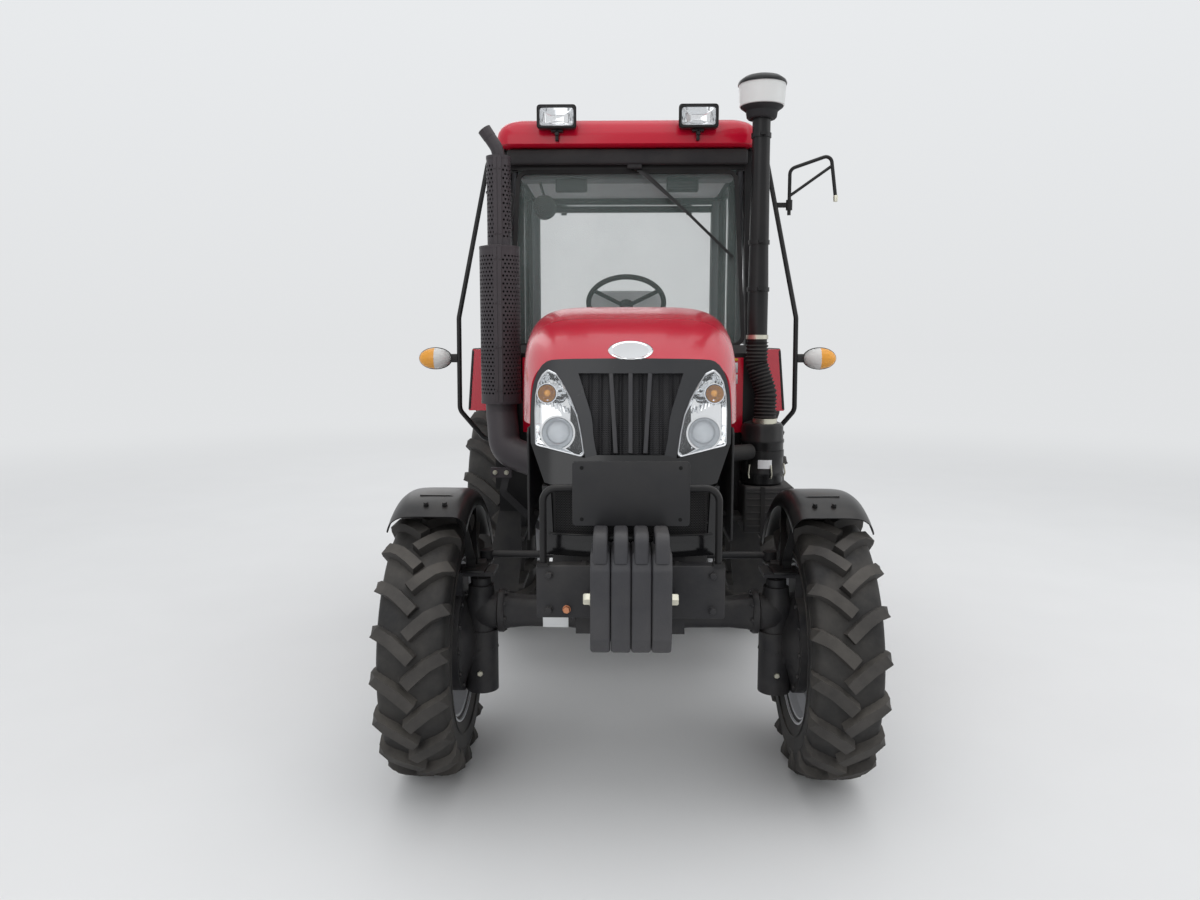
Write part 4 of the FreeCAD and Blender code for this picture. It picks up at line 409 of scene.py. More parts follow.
# Grain: a fine bump height with a slow tone change, for paint, moulded plastic and castings.
def makeGrainGroup():
    group, given, out = newGroup("Grain", [
        ("Color", "NodeSocketColor", (0.5, 0.5, 0.5, 1)), ("Scale", "NodeSocketFloat", 300.0),
        ("Coarse scale", "NodeSocketFloat", 8.0), ("Tone", "NodeSocketFloat", 0.15)],
        [("Color", "NodeSocketColor"), ("Height", "NodeSocketFloat")])
    place = addNode(group, "ShaderNodeTexCoord")
    fine = addNode(group, "ShaderNodeTexNoise", {"Vector": place.outputs["Object"],
                                                 "Scale": given.outputs["Scale"], "Detail": 3.0})
    coarse = addNode(group, "ShaderNodeTexNoise", {"Vector": place.outputs["Object"],
                                                   "Scale": given.outputs["Coarse scale"],
                                                   "Detail": 5.0})
    shade = addNode(group, "ShaderNodeMapRange", {"Value": coarse.outputs["Fac"], "From Min": 0.3,
                                                  "From Max": 0.7, "To Min": -0.5, "To Max": 0.5})
    change = addNode(group, "ShaderNodeMath", {0: shade.outputs[0], 1: given.outputs["Tone"]},
                     operation="MULTIPLY")
    factor = addNode(group, "ShaderNodeMath", {0: change.outputs[0], 1: 1.0}, operation="ADD")
    tinted = addNode(group, "ShaderNodeVectorMath", {0: given.outputs["Color"],
                                                     1: factor.outputs[0]}, operation="MULTIPLY")
    group.links.new(tinted.outputs[0], out.inputs["Color"])
    group.links.new(fine.outputs["Fac"], out.inputs["Height"])
    return group


dustGroup, grainGroup = makeDustGroup(), makeGrainGroup()
finishes = {}

# name: color, roughness, metallic, coat, grain scale, bump strength, tone, dust, extra
finishTable = {
    "redEnamel": ((0.47, 0.004, 0.024), 0.22, 0.0, 0.20, 420, 0.0, 0.03, 0.01, {"Specular IOR Level": 0.30}),
    "redShade": ((0.38, 0.005, 0.022), 0.30, 0.0, 0.15, 420, 0.0, 0.06, 0.10, {"Specular IOR Level": 0.30}),
    "maskGrey": ((0.030, 0.031, 0.034), 0.26, 0.0, 0.1, 700, 0.0, 0.06, 0.06, {}),
    "glossBlack": ((0.006, 0.006, 0.007), 0.16, 0.0, 0.0, 500, 0.0, 0.05, 0.04, {"Specular IOR Level": 0.50}),
    "texturedBlack": ((0.020, 0.020, 0.022), 0.62, 0.0, 0.0, 260, 0.35, 0.12, 0.18, {}),
    "chassisPaint": ((0.020, 0.020, 0.023), 0.44, 0.0, 0.0, 150, 0.22, 0.25, 0.16, {}),
    "weightPaint": ((0.045, 0.045, 0.050), 0.48, 0.0, 0.0, 120, 0.30, 0.18, 0.14, {}),
    "blackPaint": ((0.010, 0.010, 0.011), 0.30, 0.0, 0.0, 300, 0.05, 0.10, 0.08, {}),
    "guardPaint": ((0.046, 0.040, 0.045), 0.42, 0.0, 0.0, 200, 0.12, 0.12, 0.08, {}),
    "wheelSilver": ((0.60, 0.61, 0.64), 0.38, 0.10, 0.1, 260, 0.05, 0.08, 0.22, {}),
    "boardBlack": ((0.022, 0.022, 0.024), 0.44, 0.0, 0.0, 300, 0.05, 0.08, 0.10, {}),
    "zinc": ((0.62, 0.60, 0.50), 0.32, 0.9, 0.0, 300, 0.05, 0.2, 0.08, {}),
    "copperBolt": ((0.60, 0.26, 0.14), 0.38, 0.8, 0.0, 300, 0.05, 0.2, 0.10, {}),
    "bareSteel": ((0.45, 0.45, 0.46), 0.28, 0.95, 0.0, 350, 0.06, 0.15, 0.10, {}),
    "chrome": ((0.86, 0.87, 0.88), 0.07, 1.0, 0.0, 200, 0.0, 0.02, 0.0, {}),
    # near black: the colour of the intake bowl's vane and the silencer, and painted shade on the sheets behind the
    # grille and nose mesh, in the board's holes and, in part, on the silencer
    "ductBlack": ((0.006, 0.006, 0.006), 0.80, 0.0, 0.0, 200, 0.05, 0.05, 0.0, {}),
    "lampSilver": ((0.70, 0.71, 0.73), 0.22, 0.5, 0.4, 200, 0.0, 0.02, 0.02, {}),
    "badgeSilver": ((0.55, 0.56, 0.57), 0.30, 0.3, 0.2, 300, 0.02, 0.03, 0.02, {}),
    "whitePlastic": ((0.72, 0.72, 0.70), 0.40, 0.0, 0.1, 300, 0.04, 0.05, 0.12, {}),
    "labelWhite": ((0.74, 0.75, 0.76), 0.45, 0.0, 0.0, 300, 0.02, 0.03, 0.06, {}),
    "labelYellow": ((0.78, 0.50, 0.06), 0.45, 0.0, 0.0, 300, 0.02, 0.03, 0.06, {}),
    "rubberSeal": ((0.012, 0.012, 0.013), 0.66, 0.0, 0.0, 240, 0.12, 0.1, 0.12, {}),
    "cabTrim": ((0.075, 0.078, 0.084), 0.60, 0.0, 0.0, 500, 0.18, 0.08, 0.05, {}),
    "cabLining": ((0.33, 0.34, 0.35), 0.72, 0.0, 0.0, 600, 0.20, 0.08, 0.03, {}),
}


def makeFinish(name, values):
    color, roughness, metallic, coat, scale, bump, tone, dust, extra = values
    material = bpy.data.materials.new(name)
    material.use_nodes = True
    tree = material.node_tree
    shader = tree.nodes["Principled BSDF"]
    shader.inputs["Metallic"].default_value = metallic
    shader.inputs["Coat Weight"].default_value = coat
    shader.inputs["Coat Roughness"].default_value = 0.06
    shader.inputs["Specular IOR Level"].default_value = 0.5 if max(color) > 0.1 else 0.25
    grain = addNode(tree, "ShaderNodeGroup", node_tree=grainGroup)
    grain.inputs["Color"].default_value = (*color, 1)
    grain.inputs["Scale"].default_value = scale
    grain.inputs["Tone"].default_value = tone
    cover = addNode(tree, "ShaderNodeGroup", node_tree=dustGroup)
    cover.inputs["Amount"].default_value = dust
    tree.links.new(grain.outputs["Color"], cover.inputs["Color"])
    tree.links.new(cover.outputs["Color"], shader.inputs["Base Color"])
    rough = addNode(tree, "ShaderNodeMapRange", {"Value": cover.outputs["Mask"], "From Min": 0.0,
                                                 "From Max": 1.0, "To Min": roughness, "To Max": 0.95})
    tree.links.new(rough.outputs[0], shader.inputs["Roughness"])
    if bump:
        relief = addNode(tree, "ShaderNodeBump", {"Height": grain.outputs["Height"],
                                                  "Strength": bump, "Distance": 0.002})
        tree.links.new(relief.outputs[0], shader.inputs["Normal"])
    for key, value in extra.items():
        shader.inputs[key].default_value = value
    finishes[name] = material
    return material


for finishName, finishValues in finishTable.items():
    makeFinish(finishName, finishValues)


# Tyre rubber: dark between the lugs, with pale dust rubbed on the outer faces of the lugs.
def makeRubber():
    makeFinish("tyreRubber", ((0.016, 0.016, 0.017), 0.55, 0.0, 0.0, 90, 0.20, 0.3, 0.20, {}))
    makeFinish("lugRubber", ((0.036, 0.034, 0.033), 0.66, 0.0, 0.0, 120, 0.25, 0.40, 0.22, {}))


# Glass: a thin tinted pane that mostly lets light through, with a faint film of dust.
def makeGlass(name, color, alpha, roughness=0.02):
    material = bpy.data.materials.new(name)
    material.use_nodes = True
    shader = material.node_tree.nodes["Principled BSDF"]
    for key, value in {"Roughness": roughness, "IOR": 1.45, "Specular IOR Level": 0.6}.items():
        shader.inputs[key].default_value = value
    tree = material.node_tree
    place = addNode(tree, "ShaderNodeTexCoord")
    film = addNode(tree, "ShaderNodeTexNoise", {"Vector": place.outputs["Object"], "Scale": 3.0,
                                                "Detail": 6.0})
    cloud = addNode(tree, "ShaderNodeMapRange", {"Value": film.outputs["Fac"], "From Min": 0.3,
                                                 "From Max": 0.8, "To Min": alpha, "To Max": alpha + 0.03})
    tree.links.new(cloud.outputs[0], shader.inputs["Alpha"])
    tint = addNode(tree, "ShaderNodeMix", {"Factor": film.outputs["Fac"], "A": (*color, 1),
                                           "B": (*[channel * 0.9 for channel in color], 1)},
                   data_type="RGBA")
    tree.links.new(tint.outputs["Result"], shader.inputs["Base Color"])
    finishes[name] = material


# Lens: clear or amber plastic with fine upright flutes in the bump.
def makeLens(name, color, alpha, flutes=260.0):
    makeGlass(name, color, alpha, 0.05)
    tree = finishes[name].node_tree
    place = addNode(tree, "ShaderNodeTexCoord")
    wave = addNode(tree, "ShaderNodeTexWave", {"Vector": place.outputs["Object"], "Scale": flutes / 6.28})
    relief = addNode(tree, "ShaderNodeBump", {"Height": wave.outputs["Fac"], "Strength": 0.25,
                                              "Distance": 0.001})
    tree.links.new(relief.outputs[0], tree.nodes["Principled BSDF"].inputs["Normal"])


makeRubber()
makeGlass("cabPane", (0.30, 0.38, 0.36), 0.11)
makeGlass("lampGlass", (0.92, 0.94, 0.96), 0.10)
makeGlass("bowlPlastic", (0.86, 0.87, 0.86), 0.72, 0.30)
makeLens("clearLens", (0.90, 0.92, 0.94), 0.10)
makeLens("lensEye", (0.80, 0.84, 0.88), 0.45)
makeLens("redLens", (0.60, 0.02, 0.02), 0.9)
makeLens("clearSignal", (0.80, 0.80, 0.78), 0.85)
makeLens("amberLens", (0.95, 0.42, 0.05), 0.85)
makeFinish("seatCloth", ((0.60, 0.61, 0.62), 0.78, 0.0, 0.0, 900, 0.3, 0.1, 0.03, {}))
print("finishes made:", len(finishes))

# Every CAD node gets its finish; those that a finer piece replaces are hidden later.
nodeFinish = {
    "tyre": "tyreRubber", "rim": "wheelSilver", "front_axle": "chassisPaint", "steering_rod": "chassisPaint",
    "knuckle": "chassisPaint", "front_fender": "blackPaint", "engine": "chassisPaint",
    "front_frame": "chassisPaint", "transmission": "chassisPaint", "rear_axle": "chassisPaint",
    "drawbar": "blackPaint", "weight_bracket": "chassisPaint", "front_weights": "weightPaint",
    "number_board": "boardBlack", "bonnet_top": "redEnamel", "bonnet_mask": "maskGrey",
    "bonnet_grille": "texturedBlack", "headlamps": "clearLens", "nose_panels": "texturedBlack",
    "cab_frame": "blackPaint", "cab_floor": "texturedBlack", "rear_fenders": "redEnamel",
    "cab_roof": "redEnamel", "cab_glass": "cabPane", "door_frame": "blackPaint",
    "door_glass": "cabPane", "rear_window_frame": "blackPaint", "rear_window_glass": "cabPane",
    "dash_console": "cabTrim", "steering_wheel": "rubberSeal", "seat": "seatCloth",
    "roof_lamps": "blackPaint", "mirror_posts": "blackPaint", "signal_lamps": "amberLens",
    "mirror_arm": "rubberSeal", "exhaust_pipe": "guardPaint", "exhaust_guard": "guardPaint",
    "intake_stack": "blackPaint", "air_cleaner": "texturedBlack", "battery_box": "texturedBlack",
    "lift_arms": "chassisPaint", "lift_rods": "bareSteel", "lower_links": "chassisPaint",
    "top_link": "chassisPaint",
}
for nodeName, node in frame["nodes"].items():
    keys = [key for key in nodeFinish if nodeName.startswith(key) or ("_" + key + "_") in nodeName]
    finish = nodeFinish[max(keys, key=len)]
    node.data.materials.clear()
    node.data.materials.append(finishes[finish])

# Wheels. Across is measured from the tyre's middle plane, outward from the tractor.
wheelLook = {
    "front": {"lugs": 19, "lugHeight": 0.034, "lugTop": 0.040, "lugFoot": 0.056, "lugReach": 0.104,
              "windows": 8, "windowShare": 0.42, "dishRim": -0.016, "dishHub": -0.052,
              "hubRadius": 0.095, "hubFace": 0.012, "studs": 8, "studRing": 0.070},
    "rear": {"lugs": 20, "lugHeight": 0.038, "lugTop": 0.047, "lugFoot": 0.066, "lugReach": 0.160,
             "windows": 8, "windowShare": 0.36, "dishRim": 0.044, "dishHub": -0.030,
             "hubRadius": 0.125, "hubFace": 0.030, "studs": 8, "studRing": 0.098},
}


# Carcass outline from the crown to the bead: shares of the half width and of the wall height.
def carcassHalf(half, rim, crown):
    shares = [(0, 1), (0.45, 0.995), (0.78, 0.955), (0.93, 0.875), (0.995, 0.70), (1.0, 0.52),
              (0.96, 0.30), (0.87, 0.12), (0.80, 0.05), (0.79, 0.0)]
    line = smoothPath(shares, 5)
    return np.stack([line[:, 0] * half, rim + line[:, 1] * (crown - rim)], 1)


# One lug: a bar that leaves the middle of the tread at 45 degrees, flattens towards the shoulder
# and runs out down the side wall. Its length is measured over the carcass outline.
def lugShape(line, look, axleY, axleZ, centreX, side):
    reach = look["lugReach"]
    stations = np.array([(-0.10, 0.0, 1.0, 1.0), (0.22, 0.30, 1.0, 1.0), (0.58, 0.62, 1.0, 0.97),
                         (0.80, 0.76, 0.98, 0.95), (1.06, 0.92, 0.94, 0.92), (1.22, 1.0, 0.62, 0.85),
                         (1.46, 1.06, 0.26, 0.72), (1.66, 1.10, 0.05, 0.60)])
    over, around = stations[:, 0] * reach, stations[:, 1] * reach * 0.98
    tangent = unit(np.gradient(np.stack([over, around], 1), axis=0))
    cross = np.stack([-tangent[:, 1], tangent[:, 0]], 1)
    foot = look["lugFoot"] * stations[:, 3] / 2
    top = look["lugTop"] * stations[:, 3] / 2
    height = look["lugHeight"] * stations[:, 2]
    sunk = np.full(len(over), -0.006)
    rings = []
    for shift, rise in ((foot, sunk), (top, height), (-top, height), (-foot, sunk)):
        flat = np.stack([over, around], 1) + cross * shift[:, None]
        rings.append((flat[:, 0], flat[:, 1], rise))
    over, around, rise = (np.stack(values, 1) for values in zip(*rings))
    length = np.concatenate([[0], np.cumsum(np.linalg.norm(np.diff(line, axis=0), axis=1))])
    slope = unit(np.gradient(line, axis=0))
    sign = np.sign(over) + (over == 0)
    reachNow = np.abs(over)
    across = np.interp(reachNow, length, line[:, 0]) + rise * np.interp(reachNow, length, -slope[:, 1])
    radius = np.interp(reachNow, length, line[:, 1]) + rise * np.interp(reachNow, length, slope[:, 0])
    angle = around / line[0, 1]
    points = np.stack([centreX + side * sign * across, axleY - radius * np.cos(angle),
                       axleZ + radius * np.sin(angle)], -1)
    return gridShape(points, False, True, True, True)


def makeTyre(end, side, look):
    name = "%s_tyre_%s" % (end, "left" if side > 0 else "right")
    low, high = (np.array(corner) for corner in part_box(name))
    centre, half = (low + high) / 2, (high[0] - low[0]) / 2
    rim = (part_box(name.replace("tyre", "rim"))[1][2] - centre[2]) - 0.020
    line = carcassHalf(half, rim, (high[2] - low[2]) / 2 - look["lugHeight"])
    outline = np.concatenate([line[::-1] * (-1, 1), line[1:]])
    inner = outline[::-1] * (0.9, 1) - (0, 0.012)
    inner[:, 1] = np.maximum(inner[:, 1], rim)
    carcass = turnedShape(np.concatenate([outline, inner]), centre, sides=96, closedProfile=True)
    # raised rings on each side wall
    wallShare = (0.34, 0.66)
    rings = [turnedShape(np.array([(half * 0.985 * s, rim + (line[0, 1] - rim) * share)] * 12)
                         + circle(0.004, 12), centre, sides=96, closedProfile=True)
             for share in wallShare for s in (-1, 1)]
    pitch = 2 * math.pi / look["lugs"]
    lugs = []
    for half180, start in ((1, 0.0), (-1, pitch / 2)):
        lug = lugShape(line, look, centre[1], centre[2], centre[0], half180)
        lugs.append(copiesAround(lug, centre, -(start + pitch * np.arange(look["lugs"]))))
    makePiece(name + "_tread", [(carcass, "tyreRubber"), (joined(rings), "tyreRubber"),
                                (joined(lugs), "lugRubber")],
              "%s_wheel_%s" % (end, "left" if side > 0 else "right"), [name],
              bevel=0.0025, segments=1, sharp=32)


# Rim: barrel with flanges and a drop centre, a dished disc with windows, hub, studs and their nuts.
def makeRim(end, side, look):
    name = "%s_rim_%s" % (end, "left" if side > 0 else "right")
    low, high = (np.array(corner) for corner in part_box(name))
    tyreLow, tyreHigh = (np.array(corner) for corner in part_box(name.replace("rim", "tyre")))
    centre = (tyreLow + tyreHigh) / 2
    radius = (high[2] - low[2]) / 2
    half = (high[0] - low[0]) / 2 if end == "rear" else 0.1105
    seat, wall = radius - 0.020, 0.007
    outer = [(-half, radius), (-half + 0.004, radius + 0.001), (-half + 0.010, radius - 0.003),
             (-half + 0.013, seat), (-half + 0.042, seat - 0.003), (-half * 0.40, seat - 0.032),
             (half * 0.25, seat - 0.032), (half - 0.042, seat - 0.003), (half - 0.013, seat),
             (half - 0.010, radius - 0.003), (half - 0.004, radius + 0.001), (half, radius)]
    outer = np.array(outer)
    inner = outer[::-1] - (0, wall)
    inner[0], inner[-1] = (half, radius - 0.008), (-half, radius - 0.008)
    barrel = turnedShape(np.concatenate([outer, inner]), centre, sides=80, closedProfile=True)
    # disc: along = hub value to rim value by a smooth step of the share of the way out
    sheet, faces = holedSheet(look["windows"], 1, look["windowShare"], 24, 4)
    angle = sheet[:, 0] * 2 * math.pi / look["windows"]
    hub, edge = look["hubRadius"] - 0.01, seat - 0.034
    out = hub + (edge - hub) * sheet[:, 1]
    step = np.clip(sheet[:, 1] * 1.15, 0, 1)
    along = look["dishHub"] + (look["dishRim"] - look["dishHub"]) * step ** 2 * (3 - 2 * step)
    points = np.stack([centre[0] + side * along, centre[1] + out * np.cos(angle),
                       centre[2] + out * np.sin(angle)], 1)
    disc = walledShape((points, faces), side * 0.010)
    hubX = look["dishHub"]
    hubShape = turnedShape(np.array([
        (hubX - 0.004, look["hubRadius"] + 0.012), (hubX + 0.012, look["hubRadius"] + 0.012),
        (hubX + 0.016, look["hubRadius"] - 0.002), (hubX + 0.018, look["hubRadius"] * 0.62),
        (hubX + 0.040, look["hubRadius"] * 0.56), (look["hubFace"] - 0.008, look["hubRadius"] * 0.50),
        (look["hubFace"], look["hubRadius"] * 0.40)]) * (side, 1), centre, sides=40)
    studAngle = (np.arange(look["studs"]) + 0.5) * 2 * math.pi / look["studs"]
    bolts = joined([boltShape(centre + (side * (hubX + 0.015), look["studRing"] * math.cos(a),
                                        look["studRing"] * math.sin(a)), (side, 0, 0), 0.011)
                    for a in studAngle])
    clampAngle = (np.arange(look["windows"])) * 2 * math.pi / look["windows"]
    clamps = joined([boltShape(centre + (side * (look["dishRim"] + 0.010), (edge - 0.03) * math.cos(a),
                                         (edge - 0.03) * math.sin(a)), (side, 0, 0), 0.010)
                     for a in clampAngle])
    makePiece(name + "_disc", [(barrel, "wheelSilver"), (disc, "wheelSilver"),
                               (hubShape, "chassisPaint"), (bolts, "zinc"), (clamps, "zinc")],
              "%s_wheel_%s" % (end, "left" if side > 0 else "right"), [name],
              bevel=0.0015, segments=2, sharp=35)


for wheelEnd, wheelValues in wheelLook.items():
    for wheelSide in (1, -1):
        makeTyre(wheelEnd, wheelSide, wheelValues)
        makeRim(wheelEnd, wheelSide, wheelValues)
print("wheels made")


# Bonnet with its mask. Widths and heights are in metres, front view.
hoodLook = {"frontTop": 1.649, "topRise": 0.209, "topPower": 3.3, "frontHalf": 0.335, "halfGrow": 0.062,
            "sidePower": 7.0, "cornerPower": 5.2, "cornerHeight": 0.25, "lowFront": 1.435,
            "lowRear": 1.402, "rear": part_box("bonnet_top")[1][1], "wall": 0.009,
            "badgeHalf": (0.075, 0.031), "badgeHeight": 1.676}
maskLook = {"lean": 0.24, "sweep": 0.060, "foot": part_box("bonnet_mask")[0][2],
            "front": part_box("bonnet_mask")[0][1], "wall": 0.012,
            "grille": [(0.110, 1.341), (0.121, 1.398), (0.128, 1.463), (0.151, 1.538), (0.172, 1.603)],
            "lampIn": [(0.148, 1.331), (0.161, 1.415), (0.174, 1.471), (0.192, 1.515), (0.217, 1.561),
                       (0.246, 1.603)],
            "lampOut": [(0.316, 1.366), (0.3185, 1.44), (0.319, 1.50), (0.314, 1.555), (0.300, 1.592),
                        (0.276, 1.617)],
            "edge": [(0.330, 1.372), (0.333, 1.44), (0.331, 1.51), (0.324, 1.565), (0.311, 1.603),
                     (0.294, 1.629)]}


# Face of the mask: y = front + lean * height over the seam + sweep * (|x| / 0.33) cubed.
def maskFace(x, z, inward=0.0):
    y = (maskLook["front"] + maskLook["lean"] * (z - maskLook["foot"])
         + maskLook["sweep"] * (np.abs(x) / 0.33) ** 3 + inward)
    return np.stack([x, y, z], -1)


# Points at equal shares of the length of a smooth line through the corners.
def evenLine(corners, count):
    line = smoothPath(np.array(corners, float), 8)
    length = np.concatenate([[0], np.cumsum(np.linalg.norm(np.diff(line, axis=0), axis=1))])
    share = np.linspace(0, length[-1], count)
    return np.stack([np.interp(share, length, line[:, 0]), np.interp(share, length, line[:, 1])], 1)


# Hood: x = half(s) * cos^(2/n), z = low + height * sin^(2/n), pushed back from the mask's face.
def hoodGrid(steps=26, around=56):
    look = hoodLook
    s = np.linspace(0, 1, steps)[:, None] ** 1.25
    angle = np.linspace(0, math.pi, around)[None, :]
    top = look["frontTop"] + look["topRise"] * (1 - (1 - s) ** look["topPower"])
    half = look["frontHalf"] + look["halfGrow"] * (1 - (1 - s) ** look["sidePower"])
    low = look["lowFront"] + (look["lowRear"] - look["lowFront"]) * s
    height = np.minimum(look["cornerHeight"], top - low)
    power = 2 / look["cornerPower"]
    x = half * np.sign(np.cos(angle)) * np.abs(np.cos(angle)) ** power
    z = top - height + height * np.sin(angle) ** power
    x = np.concatenate([x[:, :1], x, x[:, -1:]], 1)
    z = np.concatenate([low + 0 * z[:, :1], z, low + 0 * z[:, :1]], 1)
    front = maskFace(x[:1], z[:1])[..., 1]
    y = front + (look["rear"] - front) * s
    return np.stack([x, y, z], -1)


def makeHood():
    look = hoodLook
    grid = hoodGrid()
    skin = walledShape(gridShape(grid), -look["wall"])
    # oval badge lying on the steep front of the bonnet
    angle = np.arange(40) * 2 * math.pi / 40
    rings = []
    for share, lift in ((1.0, -0.004), (1.0, 0.003), (0.96, 0.0055), (0.88, 0.0055), (0.84, 0.003),
                        (0.80, 0.003), (0.4, 0.004), (0.02, 0.004)):
        x = share * look["badgeHalf"][0] * np.cos(angle)
        z = look["badgeHeight"] + share * look["badgeHalf"][1] * np.sin(angle)
        column = grid[:, grid.shape[1] // 2]
        y = np.interp(z, column[:, 2], column[:, 1]) + 0.06 * (np.abs(x) / 0.33) ** 3
        rings.append(np.stack([x, y - lift * 0.7, z + lift * 0.5], -1))
    rings = np.array(rings)
    border = gridShape(rings[:6], wrapCols=True)
    face = gridShape(rings[5:], wrapCols=True, capLast=True)
    makePiece("bonnet_skin", [(skin, "redEnamel"), (border, "chrome"), (face, "badgeSilver")], "bonnet",
              ["bonnet_top"], bevel=0, sharp=40)


# Rows of the mask run from the seam to its upper edge; columns follow grille, lamp and outer edge.
def maskGrid():
    lines = [np.array([(0, 1.341), (0, 1.603)]), *(maskLook[key] for key in
                                                   ("grille", "lampIn", "lampOut", "edge"))]
    middle = [evenLine(line, 19) if len(line) > 2 else np.linspace(line[0], line[1], 19)
              for line in lines]
    foot = maskLook["foot"]
    low = [np.array([(x, z)]) for x, z in ((0, foot), (0.10, foot), (0.14, foot), (0.262, foot),
                                           (0.282, foot + 0.005))]
    top = [np.array([(x, z)]) for x, z in ((0, 1.652), (0.180, 1.650), (0.235, 1.648), (0.262, 1.646),
                                           (0.278, 1.641))]
    columns = []
    for first, line, last in zip(low, middle, top):
        lower = np.linspace(first[0], line[0], 7)[:-1]
        upper = np.linspace(line[-1], last[0], 4)[1:]
        columns.append(np.concatenate([lower, line, upper]))
    cells = (8, 3, 9, 2)
    grid = []
    for left, right, count in zip(columns[:-1], columns[1:], cells):
        share = np.arange(count)[None, :, None] / count
        grid.append(left[:, None] * (1 - share) + right[:, None] * share)
    grid.append(columns[-1][:, None])
    return np.concatenate(grid, 1)


def makeMask():
    half = maskGrid()
    flat = np.concatenate([half[:, :0:-1] * (-1, 1), half], 1)
    grid = maskFace(flat[..., 0], flat[..., 1])
    rows, cols = grid.shape[:2]
    column = np.abs(np.arange(cols - 1) - (cols - 1) / 2 + 0.5)
    row = np.arange(rows - 1)
    inRows = (row >= 6) & (row < 24)
    openCell = inRows[:, None] & ((column < 8) | ((column > 11) & (column < 20)))[None, :]
    points, faces = gridShape(grid)
    keep = ~openCell.ravel()
    lower = (row < 6)[:, None] & np.ones(cols - 1, bool)[None, :]
    faces = np.array(faces)
    dark = walledShape((points, faces[keep & lower.ravel()].tolist()), maskLook["wall"])
    satin = walledShape((points, faces[keep & ~lower.ravel()].tolist()), maskLook["wall"])
    makePiece("bonnet_front_mask", [(satin, "maskGrey"), (dark, "glossBlack")], "bonnet",
              ["bonnet_mask"], bevel=0, sharp=35)
    makeGrille()
    for side in (1, -1):
        makeLamp(side)


# Grille: holed sheet drawn over the opening, with three upright ribs and a near-black sheet behind it as painted shade.
def makeGrille():
    line = evenLine(maskLook["grille"], 30)
    cells = (46, 40)
    sheet, faces = holedSheet(cells[0], cells[1], 0.70, 6, 1)
    share = sheet[:, 1] / cells[1]
    width = np.interp(share, np.linspace(0, 1, 30), line[:, 0]) * 1.02
    z = np.interp(share, np.linspace(0, 1, 30), line[:, 1])
    x = (sheet[:, 0] / cells[0] * 2 - 1) * width
    groove = 0.010 * np.cos(x / 0.033 * math.pi * 2 / 2) ** 8
    mesh = (maskFace(x, z, 0.020) - np.stack([0 * x, groove, 0 * x], -1), faces)
    z = np.array([1.335, 1.61])
    # near-black sheet behind the grille: painted shade for the dark space inside the bonnet
    back = gridShape(maskFace(*np.meshgrid(np.linspace(-0.20, 0.20, 9), z), 0.048))
    ribs = []
    for place in (-1, 0, 1):
        z = np.linspace(1.345, 1.60, 12)
        x = place * (0.048 + 0.016 * (z - 1.345) / 0.255)
        ribs.append(sweptShape(maskFace(x, z, 0.010), roundedOutline(
            [(-0.015, -0.008), (0.015, -0.008), (0.011, 0.006), (-0.011, 0.006)], 0.003), flat=(1, 0, 0)))
    makePiece("bonnet_grille_mesh", [(mesh, "weightPaint"), (joined(ribs), "weightPaint")], "bonnet",
              ["bonnet_grille"], bevel=0)
    makePiece("bonnet_grille_duct", [(back, "ductBlack")], "bonnet", bevel=0,
              thickness=0.004)


